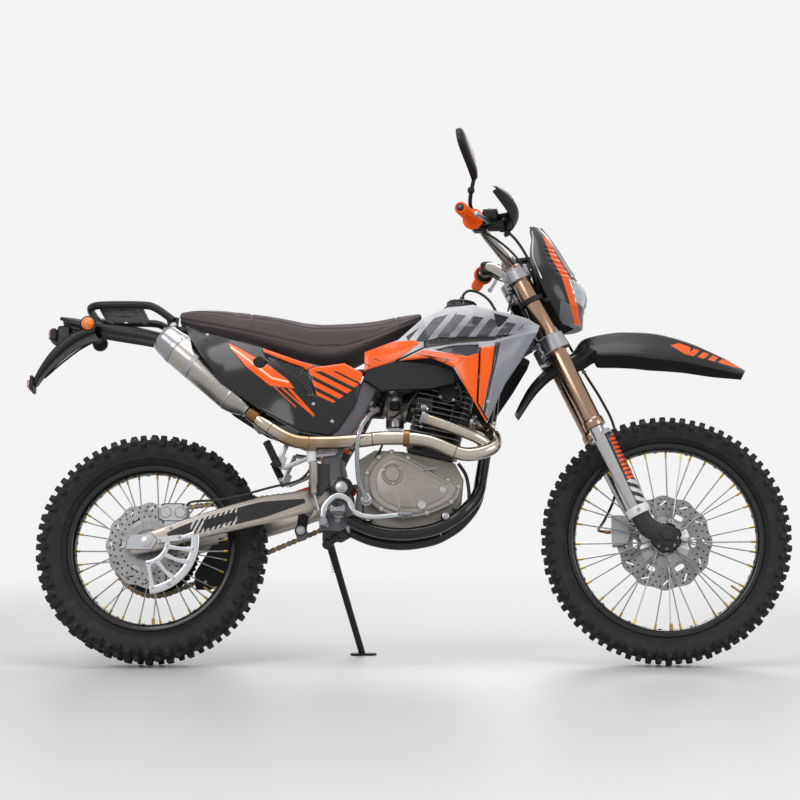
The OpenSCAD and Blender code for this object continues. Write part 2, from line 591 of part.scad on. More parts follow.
// Rear brake: caliper, disc guard, master cylinder and its rod
rear_disc_y = -68;
module rear_brake() color([0.35, 0.35, 0.36]) parked() {
    difference() {
        translate(aft + [-690, -arm_y + 12 + fit, 388]) cube([84, arm_y - 12 - fit - 56, 52]);
        translate([rear_x, rear_disc_y, rear_axle_z]) rotate([90, 0, 0])
            cylinder(d = rear_disc_d + 8, h = disc_t + 3, center = true);
    }
    translate(aft) {
        translate([-668, -arm_y + 12 + fit, 352]) cube([48, 10, 40]);
        plate([[-760, 250], [-682, 190], [-600, 236], [-586, 300], [-606, 346], [-690, 338], [-694, 300], [-740, 286]],
            -138, -132);
        plate([[-684, 324], [-616, 334], [-616, 346], [-684, 338]], -arm_y - 12 - fit, -133);
    }
    plate([[-275, 548], [-220, 544], [-220, 484], [-240, 455], [-275, 460]], -spar_y - spar_w / 2 - 1, -124);
    rod([-262, -134, 545], [-260, -134, 452], 24);
    rod([-260, -134, 456], [-247, -131, 412], 8);
}

// Shock absorber with its spring, under the cross tube, and the linkage
shock_low = [-292, shock_y, 420];
shock_dir = unit(shock_low - shock_eye);
module shock_absorber() color(orange) parked() {
    top = shock_eye + shock_dir * (shock_d / 2 + fit);
    rod(top, shock_low, 36);
    for (i = [1 : 7]) let (a = mix(top, shock_low, 0.22 + i * 0.085)) rod(a, a + shock_dir * 12, 68);
    rod([-292, shock_y, 428], [-300, shock_y, 376], 30);
    rod([-300, -50, 372], [-300, 30, 372], 34);
}

// Chain and guide
rear_pitch_r = chain_pitch / 2 / sin(180 / rear_teeth);
front_pitch_r = chain_pitch / 2 / sin(180 / front_teeth);
sprocket_x = -104;
sprocket_z = 492;
chain_span = norm([sprocket_x - rear_x, sprocket_z - rear_axle_z]);
chain_slope = atan2(sprocket_z - rear_axle_z, sprocket_x - rear_x);
wrap = asin((rear_pitch_r - front_pitch_r) / chain_span);
straight_len = chain_span * cos(wrap);
rear_arc = rear_pitch_r * (180 + 2 * wrap) * PI / 180;
front_arc = front_pitch_r * (180 - 2 * wrap) * PI / 180;
chain_len = 2 * straight_len + rear_arc + front_arc;
link_count = round(chain_len / chain_pitch / 2) * 2;
// Point on the chain's pitch line at distance s from the start of its upper run, pushed out by d
function upper_from(a) = [cos(a), sin(a)];
function chain_point(s, d) = let (up = chain_slope + 90 - wrap, down = chain_slope - 90 + wrap,
    rear = [rear_x, rear_axle_z], front = [sprocket_x, sprocket_z],
    s1 = straight_len, s2 = s1 + front_arc, s3 = s2 + straight_len)
    s < s1 ? rear + upper_from(up) * (rear_pitch_r + d) + upper_from(up - 90) * s
    : s < s2 ? front + upper_from(up - (s - s1) / front_arc * (180 - 2 * wrap)) * (front_pitch_r + d)
    : s < s3 ? front + upper_from(down) * (front_pitch_r + d) + upper_from(down - 90) * (s - s2)
    : rear + upper_from(down - (s - s3) / rear_arc * (180 + 2 * wrap)) * (rear_pitch_r + d);
plate_high = 7.2;
plate_waist = 5.2;
function band(y, d) = [for (i = [0 : 2 * link_count - 1]) let (p = chain_point(chain_len * i / link_count / 2,
    d * (i % 2 == 0 ? plate_high : plate_waist))) [p[0], y, p[1]]];
module loop(rings) {
    n = len(rings[0]);
    m = len(rings);
    points = [for (r = rings) each r];
    faces = [for (i = [0 : m - 1], j = [0 : n - 1]) let (a = i * n + j, b = i * n + (j + 1) % n, c = ((i + 1) % m) * n + j,
        d = ((i + 1) % m) * n + (j + 1) % n) each [[a, b, c], [b, d, c]]];
    polyhedron(points, outwards(points, faces), convexity = 8);
}
module chain() color([0.4, 0.4, 0.42]) parked() {
    half = chain_w / 2;
    loop([band(chain_y - half, 1), band(chain_y + half, 1), band(chain_y + half, -1), band(chain_y - half, -1)]);
}

function lower_run(x, d) = let (p = chain_point(straight_len + front_arc, 0), q = chain_point(2 * straight_len + front_arc - 1, 0))
    mix(p, q, (x - p[0]) / (q[0] - p[0])) + [0, d];
guide_y0 = chain_y - chain_w / 2 - 5;
module chain_guide() color(satin_black) parked() {
    difference() {
        translate(aft) plate([[-600, 225], [-560, 225], [-486, 262], [-478, 350], [-500, 356], [-556, 350], [-604, 268]],
            guide_y0, chain_y + chain_w / 2 + 5);
        plate([for (x = [-660, -430]) lower_run(x + aft[0], 13), for (x = [-430, -660]) lower_run(x + aft[0], -13)],
            chain_y - chain_w / 2 - 1.5, chain_y + chain_w / 2 + 1.5);
    }
    translate(aft + [-540, chain_y, 344]) cube([30, 20, 29.6]);
}

// Fork
clamp_low_z = 885;
clamp_top_z = 1084;
clamp_h = 46;
top_clamp_h = 34;
tube_low_z = 646;
collar_h = 24;
bar_x = 293 + fore[0];
bar_z = 1138;
// Distance along the steering axis from the top clamp down to height z
function down(z) = (clamp_top_z - z) / cos(rake);
module clamp_plate(h) linear_extrude(h, center = true) difference() {
    union() {
        hull() {
            circle(d = 60);
            for (s = [right, left]) translate([clamp_offset, s * (fork_y - 30)]) circle(d = 40);
        }
        for (s = [right, left]) translate([clamp_offset, s * fork_y]) circle(d = fork_tube_d + 24);
    }
    for (s = [right, left]) translate([clamp_offset, s * fork_y]) circle(d = fork_tube_d + 2 * fit);
}
module triple_clamps() color(bright_steel) steered() {
    on_head(clamp_low_z) clamp_plate(clamp_h);
    on_head(clamp_low_z) cylinder(d = stem_d, h = down(clamp_low_z));
    on_head(clamp_top_z) clamp_plate(top_clamp_h);
    difference() {
        sides() on_head(clamp_top_z) translate([clamp_offset - 6, -46, 10]) cylinder(d = 34, h = 56);
        translate([bar_x, 0, bar_z]) rotate([90, 0, 0]) cylinder(d = bar_d + 2 * fit, h = 200, center = true);
    }
}

module fork_tubes() color(champagne) steered() for (s = [right, left])
    on_head(clamp_top_z) translate([clamp_offset, s * fork_y, 0]) {
        translate([0, 0, -down(tube_low_z)]) cylinder(d = fork_tube_d, h = down(tube_low_z) + 26);
        translate([0, 0, -down(tube_low_z)]) cylinder(d = fork_tube_d + 8, h = collar_h);
    }

module fork_legs() color([0.55, 0.55, 0.56]) steered() for (s = [right, left]) {
    on_head(tube_low_z) translate([clamp_offset, s * fork_y, -fit]) mirror([0, 0, 1])
        cylinder(d = slider_d, h = (tube_low_z - front_axle_z) / cos(rake) - 20);
    translate([front_x, s * (fork_y - 4), front_axle_z]) rotate([90, 0, 0]) difference() {
        hull() {
            cylinder(d = 52, h = 40, center = true);
            translate([-axle_lead * cos(rake) - 20, 30, 0]) cylinder(d = 46, h = 40, center = true);
        }
        cylinder(d = axle_d + 2 * fit, h = 60, center = true);
    }
}

// Fork guards: a collar on each slider and a shell up its front and outer side
guard_len = 250;
module fork_guards() color(body_white) steered() for (s = [right, left])
    on_head(front_axle_z) translate([clamp_offset, s * fork_y, 58]) {
        rotate([0, 0, s < 0 ? -130 : -50]) rotate_extrude(angle = 180)
            polygon([[slider_d / 2 + 5, 0], [slider_d / 2 + 9, 0], [slider_d / 2 + 13, guard_len], [slider_d / 2 + 9, guard_len]]);
        rotate_extrude() polygon([[slider_d / 2 + fit, 0], [slider_d / 2 + 9, 0], [slider_d / 2 + 9, 12], [slider_d / 2 + fit, 12]]);
    }

module front_axle() color(satin_black) steered() translate([front_x, 0, front_axle_z]) rotate([90, 0, 0]) {
    cylinder(d = axle_d, h = fork_spacing + 60, center = true);
    for (s = [right, left])
        translate([0, 0, s * (fork_y + 16 + fit + 6)]) cylinder(d = 34, h = 12, center = true, $fn = 6);
}

front_disc_y = 62;
caliper_x = front_x - 148;
module front_caliper() color([0.3, 0.3, 0.31]) steered() difference() {
    translate([caliper_x, 41, front_axle_z - 12]) cube([54, 36, 92]);
    translate([front_x, front_disc_y, front_axle_z]) rotate([90, 0, 0])
        cylinder(d = front_disc_d + 8, h = disc_t + 3, center = true);
}

// The straight ends of the handlebar carry the grips and the controls
bar_end_d = 22;
grip_len = 125;
function bar_end(s) = fore + [175, s * bar_width / 2, 1204];
function bar_knee(s) = fore + [218, s * (bar_width / 2 - 188), 1209];
function on_bar(s, t) = bar_end(s) + unit(bar_knee(s) - bar_end(s)) * t;
function bar_path(s) = concat([[bar_x, 0, bar_z]], curve([[bar_x, s * 74, bar_z], fore + [266, s * 118, 1166],
    fore + [232, s * 170, 1198], bar_knee(s)], 3), [bar_end(s)]);
module handlebar() color(champagne) steered() for (s = [right, left])
    tube(bar_path(s), [for (i = [0 : 11]) i < 3 ? bar_d / 2 : max(bar_end_d / 2, bar_d / 2 - (i - 2) * 0.8)], 12, [0, 0, 1]);
module sleeve(s, from, profile) {
    v = unit(bar_knee(s) - bar_end(s));
    translate(on_bar(s, from)) rotate([0, acos(v[2]), atan2(v[1], v[0])]) rotate_extrude()
        polygon(concat([[bar_end_d / 2 + fit, profile[len(profile) - 1][1]], [bar_end_d / 2 + fit, 0]], profile));
}
module grips() color(orange) steered() for (s = [right, left])
    sleeve(s, 0, [[grip_d / 2, 0], [grip_d / 2, grip_len - 8], [29, grip_len - 6], [29, grip_len]]);

// Controls: lever perches, levers, the brake reservoir and the instrument on its post
module controls() color(satin_black) steered() {
    for (s = [right, left]) {
        difference() {
            rod(on_bar(s, grip_len + 12), on_bar(s, grip_len + 42), 36, 12);
            rod(on_bar(s, grip_len), on_bar(s, grip_len + 60), bar_end_d + 2, 12);
        }
        tube(curve([on_bar(s, 162) + [14, 0, -2], on_bar(s, 140) + [40, 0, -6], on_bar(s, 80) + [44, 0, -12],
            on_bar(s, 12) + [40, 0, -16]], 3), 6, 6);
    }
    translate(on_bar(right, 150) + [19, -18, 2]) cube([44, 36, 28]);
    on_head(clamp_top_z) {
        translate([42, 0, top_clamp_h / 2 + fit]) cylinder(d = 10, h = 40);
        translate([37, -42, top_clamp_h / 2 + 38]) rotate([0, 20, 0]) cube([62, 84, 14]);
    }
}

// Brake hose from the reservoir in front of the clamps and down the left leg
hose_end_x = caliper_x - fit;
hose_path = concat([for (p = [[258, -250, 1203], [302, -214, 1184], [334, -178, 1150], [361, -134, 1104], [380, -88, 1056],
    [404, -30, 1000], [458, 70, 930], [500, 116, 860], [548, 128, 780], [584, 140, 700], [592, 148, 600], [582, 146, 500],
    [552, 128, 430], [532, 92, 396], [545, 66, 386]]) fore + p], [[hose_end_x, 62, 384]]);
module brake_hose() color(satin_black) steered() tube(curve(hose_path, 3), 4, 6);

mask_rings = [[1262, 350, 380, 22], [1220, 356, 412, 60], [1150, 352, 452, 104], [1090, 372, 486, 122], [1020, 404, 500, 112],
    [962, 440, 498, 70]];
strap_z = 1008;
function mask_point(m, a, t) = fore + [m[1] + (m[2] - m[1] - t) * cos(a), (m[3] - t) * sin(a), m[0]];
module headlight_mask() color(satin_black) steered() {
    sheet([for (m = mask_rings)
        [for (j = [0 : 8]) mask_point(m, -90 + 22.5 * j, 0), for (j = [8 : -1 : 0]) mask_point(m, -90 + 22.5 * j, 5)]]);
    for (s = [right, left]) {
        difference() {
            on_head(strap_z) translate([clamp_offset, s * fork_y, -6]) cylinder(d = fork_tube_d + 12, h = 12);
            on_head(strap_z) translate([clamp_offset, s * fork_y, -20]) cylinder(d = fork_tube_d + 2 * fit, h = 40);
        }
        rod(fore + [392, s * 106, 1022], fore + [411, s * 109.5, 1020], 12);
    }
}
// Headlight lens, bulging out of the mask's face between two of its rings
function lens_ring(z, bulge, spread) = let (t = (1090 - z) / 70, m = mix(mask_rings[3], mask_rings[4], t))
    concat([for (j = [-2 : 2]) mask_point(m, spread * j, 0) + [4 + bulge * cos(45 * j), 0, 0]],
        [for (j = [2 : -1 : -2]) mask_point(m, spread * j, 0) + [1, 0, 0]]);
module headlight() color([0.85, 0.9, 0.95]) steered()
    sheet([lens_ring(1088, 2, 22.5), lens_ring(1072, 10, 22.5), lens_ring(1050, 13, 22.5), lens_ring(1024, 8, 22.5)]);

// Mirror head, outlined across and up from where its stem enters it
mirror_foot = bar_end(right) + [26, 97, 108];
mirror_out = unit([-0.204, -0.909, 0.364]);
mirror_up = across([-0.116, 0.391, 0.913], mirror_out);
mirror_ahead = cross(mirror_up, mirror_out);
mirror_outline = [[-4, 0], [-6, 58], [20, 78], [120, 72], [150, 56], [152, 24], [130, 8], [40, 2]];
mirror_stem = [on_bar(right, 150) + [0, -4, 21.5], mirror_foot + [-6, 36, -65], mirror_foot + [-4, 16, -35],
    mirror_foot + mirror_up * 8 + mirror_ahead * 8];
module mirror_right() color(satin_black) steered() {
    tube(curve(mirror_stem, 3), 6, 8);
    skin([for (d = [[0, 1], [13, 1], [21, 0.8]]) [for (p = mirror_outline) let (q = mix([72, 36], p, d[1]))
        mirror_foot + mirror_out * q[0] + mirror_up * q[1] + mirror_ahead * d[0]]]);
}

module front_fender() color(satin_black) steered() {
    translate(fore) arched([[300, 715, 52, 8], [350, 795, 58, 12], [408, 852, 64, 16], [466, 880, 74, 34], [502, 926, 82, 62], [573, 943, 84, 76],
        [640, 944, 84, 80], [711, 936, 80, 82], [795, 908, 72, 66], [880, 866, 58, 42], [951, 828, 34, 16]], panel_t);
    on_head(clamp_low_z) for (s = [right, left])
        translate([clamp_offset - 2, s * 40, -clamp_h / 2 - fit]) mirror([0, 0, 1]) cylinder(d = 16, h = 24);
}

// Wheels: a tyre whose lug rows rise in turn at its middle and at its shoulders
function tyre_ring(r, w, lug, phase) = let (shoulder = phase > 1 ? 1 : 0, middle = 1 - shoulder, c = r - lug)
    [[c - 0.1 * w + lug * 0.75 * shoulder - 4, 0.47 * w], [c - 0.04 * w + lug * shoulder, 0.3 * w],
        [c + lug * middle, 0.13 * w]];
module tyre(r, w, lug, rows, bead_r, bead_w) {
    steps = 4 * rows;
    marks = [0.02, 0.44, 0.54, 0.92];
    angle = [for (i = [0 : steps - 1]) 360 * (floor(i / 4) + marks[i % 4]) / rows];
    side_r = mix(bead_r, r, 0.45);
    tread_pts = [for (i = [0 : steps - 1]) let (p = tyre_ring(r, w, lug, i % 4))
        each [p[0], p[1], p[2], [p[2][0], -p[2][1]], [p[1][0], -p[1][1]], [p[0][0], -p[0][1]]]];
    points = concat(
        [for (i = [0 : 6 * steps - 1]) let (a = angle[floor(i / 6)], p = tread_pts[i]) [p[0] * sin(a), p[1], p[0] * cos(a)]],
        [for (k = [0 : rows - 1]) let (a = 360 * k / rows)
            each [for (p = [[side_r, w / 2 - 2], [bead_r, bead_w / 2], [bead_r, -bead_w / 2], [side_r, 2 - w / 2]])
                [p[0] * sin(a), p[1], p[0] * cos(a)]]]);
    base = 6 * steps;
    faces = [
        for (i = [0 : steps - 1], j = [0 : 4]) let (a = 6 * i + j, b = 6 * ((i + 1) % steps) + j)
            each [[a, b, a + 1], [a + 1, b, b + 1]],
        for (k = [0 : rows - 1], j = [0 : 2]) let (a = base + 4 * k + j, b = base + 4 * ((k + 1) % rows) + j)
            each [[a, a + 1, b], [a + 1, b + 1, b]],
        for (k = [0 : rows - 1], e = [0, 1]) let (s = base + 4 * k + 3 * e, t = base + 4 * ((k + 1) % rows) + 3 * e)
            each [for (i = [0 : 3]) let (a = 6 * (4 * k + i) + 5 * e, b = 6 * ((4 * k + i + 1) % steps) + 5 * e)
                e == 0 ? [b, a, s] : [a, b, s],
                e == 0 ? [s, t, 6 * ((4 * k + 4) % steps)] : [t, s, 6 * ((4 * k + 4) % steps) + 5]]];
    polyhedron(points, faces, convexity = 8);
}

module rim(r, w, depth) rotate([90, 0, 0]) rotate_extrude($fn = 96)
    polygon([[r, w / 2], [r, w / 2 - 4], [r - 10, w / 2 - 8], [r - 10, 8 - w / 2], [r, 4 - w / 2], [r, -w / 2],
        [r - depth + 4, -w / 2], [r - depth, -w / 2 + 6], [r - depth - 4, 0], [r - depth, w / 2 - 6], [r - depth + 4, w / 2]]);

// Hub with crossed spokes: on each flange half the spokes lead and half trail
module hub(flange_r, flange_y, rim_in, spokes, carrier_y, carrier_r) {
    rotate([90, 0, 0]) difference() {
        union() {
            cylinder(d = 46, h = 2 * flange_y + 26, center = true);
            for (s = [right, left]) translate([0, 0, s * flange_y]) cylinder(r = flange_r + 5, h = 9, center = true);
            cylinder(d = 62, h = 2 * flange_y, center = true);
            translate([0, 0, -carrier_y / 2]) cylinder(d = 56, h = abs(carrier_y), center = true);
            translate([0, 0, -carrier_y + sign(carrier_y) * 2.5]) cylinder(r = carrier_r, h = 5, center = true);
        }
        cylinder(d = axle_d + 2 * fit, h = 3 * flange_y + 60, center = true);
    }
    per_side = spokes / 2;
    for (s = [right, left], i = [0 : per_side - 1]) {
        a = 360 * (i + (s < 0 ? 0.5 : 0)) / per_side;
        lag = (i % 2 == 0 ? 1 : -1) * 52;
        y = s * (flange_y + (i % 2 == 0 ? 2 : -2));
        rod([flange_r * sin(a), y, flange_r * cos(a)], [rim_in * sin(a + lag * 0.35), s * 6, rim_in * cos(a + lag * 0.35)], spoke_d, 6);
    }
}

// Brake disc with a wavy edge, slots and a carrier
module disc(d, petals, bore) rotate([90, 0, 0]) linear_extrude(disc_t, center = true) difference() {
    polygon([for (i = [0 : 8 * petals - 1]) let (a = 360 * i / petals / 8) (d / 2 - 3 + 3 * cos(petals * a)) * [cos(a), sin(a)]]);
    circle(d = bore);
    for (i = [0 : petals - 1]) rotate(360 * i / petals) {
        translate([d * 0.42, 0]) rotate(40) square([4, 22], center = true);
        if (i % 2 == 0) hull() {
            translate([d * 0.3, 7]) circle(d = 14, $fn = 24);
            translate([d * 0.3, -7]) circle(d = 14, $fn = 24);
        }
    }
}

module at_front() steered() translate([front_x, 0, front_axle_z]) children();
module at_rear() parked() translate([rear_x, 0, rear_axle_z]) children();

front_bead_r = front_rim_r / cos(180 / front_lugs) + fit;
rear_bead_r = rear_rim_r / cos(180 / rear_lugs) + fit;
module front_tyre() color([0.05, 0.05, 0.05]) at_front()
    tyre(front_tyre_r, front_tyre_w, lug_h, front_lugs, front_bead_r, front_rim_w - 6);
module front_rim() color(satin_black) at_front() rim(front_rim_r, front_rim_w, rim_depth);
module front_hub() color(bright_steel) at_front() hub(28, 36, front_rim_r - rim_depth - 3.5, spoke_count,
    front_disc_y - disc_t / 2 - fit, 60);
module front_disc() color([0.7, 0.7, 0.7]) at_front() translate([0, front_disc_y, 0]) disc(front_disc_d, 12, 104);
module rear_tyre() color([0.05, 0.05, 0.05]) at_rear()
    tyre(rear_tyre_r, rear_tyre_w, lug_h, rear_lugs, rear_bead_r, rear_rim_w - 6);
module rear_rim() color(satin_black) at_rear() rim(rear_rim_r, rear_rim_w, rim_depth);
module rear_hub() color(bright_steel) at_rear() {
    hub(40, 42, rear_rim_r - rim_depth - 3.5, spoke_count, rear_disc_y + disc_t / 2 + fit, 52);
    translate([0, chain_y + 3, 0]) rotate([90, 0, 0]) difference() {
        linear_extrude(6) polygon([for (i = [0 : 4 * rear_teeth - 1]) let (a = 90 * i / rear_teeth)
            (rear_pitch_r - 8.5 - (i % 4 < 2 ? 0 : 4)) * [cos(a), sin(a)]]);
        translate([0, 0, -1]) cylinder(d = 47, h = 8);
        for (i = [0 : 5]) rotate(60 * i) translate([76, 0, -1]) cylinder(d = 44, h = 8);
    }
    rotate([-90, 0, 0]) difference() {
        cylinder(d = 84, h = chain_y - 3);
        translate([0, 0, -60]) cylinder(d = axle_d + 2 * fit, h = 200);
    }
}
module rear_disc() color([0.7, 0.7, 0.7]) at_rear() translate([0, rear_disc_y, 0]) disc(rear_disc_d, 12, 90);

// Side stand, drawn where it stands; its hinge axis carries it from its foot's place back along the swingarm
stand_pivot = [-228, 122, 370];
stand_out = 268;
stand_back = unit([-1, 0.1, 0.03]);
foot_x = stand_pivot[0] + sqrt(stand_len * stand_len - pow(stand_out - stand_pivot[1], 2)
    - pow(stand_pivot[2] - stand_out * tan(lean), 2));
stand_foot = [foot_x, stand_out, stand_out * tan(lean)];
stand_axis = unit(cross(unit(stand_foot - stand_pivot), stand_back));
stand_sweep = acos(unit(stand_foot - stand_pivot) * stand_back);
module side_stand() color(satin_black) parked() {
    rod(stand_pivot - stand_axis * 12, stand_pivot + stand_axis * 12, 30);
    rod(stand_pivot, stand_foot + [0, 0, 6], stand_d);
    translate(stand_foot) rotate([lean, 0, 0]) hull() {
        translate([-14, 0, 0]) cylinder(d = 40, h = 6);
        translate([22, 0, 0]) cylinder(d = 34, h = 6);
    }
}

main_frame();
subframe();
grab_rail();
swingarm();
rear_axle();
engine_cases();
cylinder_block();  // cylinder
carburettor();
exhaust_header();
silencer();
fuel_tank();
seat();
shrouds();
side_panels();
rear_fender();
tail_lamps();
footpegs();
foot_controls();
rear_brake();
shock_absorber();
chain();
chain_guide();
triple_clamps();
fork_tubes();
fork_legs();
fork_guards();
front_axle();
front_caliper();
brake_hose();
handlebar();
grips();
controls();
headlight_mask();
headlight();
mirror_right();  // mirror
front_fender();
front_tyre();
front_rim();
front_hub();
front_disc();
rear_tyre();
rear_rim();
rear_hub();
rear_disc();
side_stand();
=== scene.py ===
"""Enduro dirt bike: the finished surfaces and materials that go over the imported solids."""
import json
import math

import bpy
import numpy as np
from bpy.props import FloatProperty, FloatVectorProperty, IntProperty, PointerProperty
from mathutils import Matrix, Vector


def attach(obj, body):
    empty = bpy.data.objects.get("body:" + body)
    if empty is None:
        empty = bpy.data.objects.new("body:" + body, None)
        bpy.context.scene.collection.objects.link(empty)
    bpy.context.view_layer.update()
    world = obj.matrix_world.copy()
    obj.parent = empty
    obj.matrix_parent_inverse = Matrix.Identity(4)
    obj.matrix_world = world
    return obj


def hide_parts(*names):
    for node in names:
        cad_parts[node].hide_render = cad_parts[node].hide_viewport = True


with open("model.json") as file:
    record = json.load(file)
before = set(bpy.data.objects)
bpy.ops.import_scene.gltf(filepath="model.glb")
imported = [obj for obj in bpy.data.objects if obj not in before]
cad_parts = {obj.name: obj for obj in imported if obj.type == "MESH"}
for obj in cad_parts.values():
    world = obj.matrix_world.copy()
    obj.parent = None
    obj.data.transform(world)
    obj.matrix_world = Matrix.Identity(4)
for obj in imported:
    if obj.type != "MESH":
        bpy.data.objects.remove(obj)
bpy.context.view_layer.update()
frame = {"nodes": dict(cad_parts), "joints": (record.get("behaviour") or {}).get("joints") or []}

bl_info = {
    "name": "Enduro Dirt Bike",
    "version": (1, 0, 0),
    "blender": (4, 5, 0),
    "location": "View3D > Sidebar > Bike",
    "description": "Dresses the enduro dirt bike with detailed parts, graphics and finishes",
    "category": "Object",
}

JOINTS = {joint["name"]: joint for joint in frame["joints"]}

# Shapes are drawn upright and straight ahead in millimetres, with the origin on the ground in
# the middle of the wheelbase, and are then leaned and steered to where the bike is parked
LEAN = math.radians(12.4)
STEER_REST = math.radians(-6.0)
RAKE = math.radians(25.3)
HALF_BASE = 715.0
FORK_Y = 102.0
CLAMP_OFFSET = 24.0
AXLE_LEAD = 40.0
X_WAY, Y_WAY, Z_WAY = np.eye(3)
BOTH = (-1.0, 1.0)


def turned(points, axis, angle, about=(0.0, 0.0, 0.0)):
    """Points turned about an axis k by Rodrigues' formula: v cos a + (k x v) sin a + k (k.v)(1 - cos a)."""
    v = np.asarray(points, float) - about
    c, s = math.cos(angle), math.sin(angle)
    return v * c + np.cross(axis, v) * s + axis * (v @ axis)[..., None] * (1.0 - c) + about


def joint_place(name):
    """A joint's point in millimetres and its unit axis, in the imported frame."""
    axis = np.array(JOINTS[name]["axis"], float)
    return np.array(JOINTS[name]["pos_m"], float) * 1000.0, axis / np.linalg.norm(axis)


REAR_POINT, REAR_AXIS = joint_place("rear_wheel_spin")
STEER_POINT, STEER_AXIS = joint_place("steer")
REAR_Z = REAR_POINT[2] / math.cos(LEAN)
MIDDLE = np.array([-HALF_BASE - REAR_POINT[0], REAR_Z * math.sin(LEAN) - REAR_POINT[1], 0.0])


def parked(points):
    """Upright bike points leaned about X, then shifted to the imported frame's origin."""
    return turned(points, X_WAY, -LEAN) - MIDDLE


def steered(points):
    """Points of the front end: parked, then turned about the steering axis to where it rests."""
    return turned(parked(points), STEER_AXIS, STEER_REST, STEER_POINT)


STEER_FOOT = turned(STEER_POINT + MIDDLE, X_WAY, LEAN)
STEER_UP = np.array([-math.sin(RAKE), 0.0, math.cos(RAKE)])
STEER_AHEAD = np.array([math.cos(RAKE), 0.0, math.sin(RAKE)])
FRONT_CENTRE = STEER_FOOT + STEER_AHEAD * (AXLE_LEAD + CLAMP_OFFSET)
REAR_CENTRE = np.array([-HALF_BASE, 0.0, REAR_Z])


def on_head(z, ahead=0.0, y=0.0, up=0.0):
    """The steering axis at height z, then a step ahead of it, to the left and up along it."""
    base = STEER_FOOT + STEER_UP * ((z - STEER_FOOT[2]) / math.cos(RAKE))
    return base + STEER_AHEAD * ahead + Y_WAY * y + STEER_UP * up


def unit(v):
    v = np.asarray(v, float)
    return v / np.linalg.norm(v, axis=-1, keepdims=True)


def flipped(points):
    """The same points on the bike's other side."""
    return np.asarray(points, float) * (1.0, -1.0, 1.0)


def on_side(points, side):
    """Points given for the left, on the chosen side: -1 is the right and 1 the left."""
    return np.asarray(points, float) * (1.0, side, 1.0)


def curve(points, per_span=6, closed=False):
    """Catmull-Rom curve: each span blends its ends and their neighbours with cubic weights."""
    p = np.asarray(points, float)
    n = len(p)
    spans = n if closed else n - 1
    i = np.repeat(np.arange(spans), per_span)
    t = np.tile(np.arange(per_span) / per_span, spans)[:, None]
    a, b, c, d = [p[(i + k) % n] if closed else p[np.clip(i + k, 0, n - 1)] for k in (-1, 0, 1, 2)]
    out = 0.5 * (2 * b + (c - a) * t + (2 * a - 5 * b + 4 * c - d) * t ** 2 + (3 * b - a - 3 * c + d) * t ** 3)
    return out if closed else np.vstack([out, p[-1:]])


def read_off(rows, t):
    """Rows of numbers read at fractions t of their length, in straight lines between them."""
    p = np.asarray(rows, float)
    x = np.linspace(0.0, 1.0, len(p))
    return np.stack([np.interp(t, x, p[:, k]) for k in range(p.shape[1])], axis=-1)


def circle(n, start=0.0):
    a = np.linspace(0.0, 2.0 * math.pi, n, endpoint=False) + start
    return np.stack([np.cos(a), np.sin(a)], -1)


def rounded(width, height, power=4.0, n=20):
    """A superellipse outline: each coordinate is the circle's, raised to 2 / power with its sign kept."""
    c = circle(n, math.pi / n)
    return np.sign(c) * np.abs(c) ** (2.0 / power) * (width / 2, height / 2)


def square_to(axis):
    """Two directions square to an axis and to each other, then the axis itself."""
    k = unit(axis)
    u = unit(np.cross(Z_WAY if abs(k[2]) < 0.9 else X_WAY, k))
    return u, np.cross(k, u), k


def carried(path, section, up=None, grow=1.0, closed=False):
    """An outline of (side, top) points carried along a path; side is tangent x up, grow scales each station."""
    p = np.asarray(path, float)
    step = np.roll(p, -1, 0) - np.roll(p, 1, 0)
    if not closed:
        step[0], step[-1] = p[1] - p[0], p[-1] - p[-2]
    tangent = unit(step)
    if up is None:
        ways = unit(np.array([[0, 0, 1], [0, 1, 0], [1, 0, 0], [1, 1, 1], [1, -1, 1]]))
        up = ways[np.argmin(np.abs(tangent @ ways.T).max(0))]
    side = unit(np.cross(tangent, up))
    top = np.cross(side, tangent)
    grow = np.asarray(grow, float)
    grow = np.broadcast_to(grow if grow.ndim == 2 else grow.reshape(-1, 1), (len(p), 2))
    flat = np.asarray(section, float)[None] * grow[:, None]
    return p[:, None] + side[:, None] * flat[..., :1] + top[:, None] * flat[..., 1:]


def spun(profile, centre, axis, sides=40, lobes=1.0):
    """A profile of (radius, height) rows turned about an axis; lobes scales the radius at each angle."""
    u, v, k = square_to(axis)
    c = circle(sides) * np.broadcast_to(np.asarray(lobes, float).reshape(-1, 1), (sides, 1))
    r = np.asarray(profile, float)
    return np.asarray(centre, float) + (u * c[:, :1] + v * c[:, 1:]) * r[:, None, :1] + k * r[:, None, 1:2]


def flat_slab(outline, y0, y1, chamfer=1.2):
    """An (x, z) outline between two values of y, drawn in towards its middle by the chamfer at both faces."""
    p = np.asarray(outline, float)
    edge = unit(p - p.mean(0)) * chamfer
    step = math.copysign(min(chamfer, abs(y1 - y0) / 3), y1 - y0)
    rows = ((p - edge, y0), (p, y0 + step), (p, y1 - step), (p - edge, y1))
    return np.stack([np.stack([q[:, 0], np.full(len(q), y), q[:, 1]], -1) for q, y in rows])


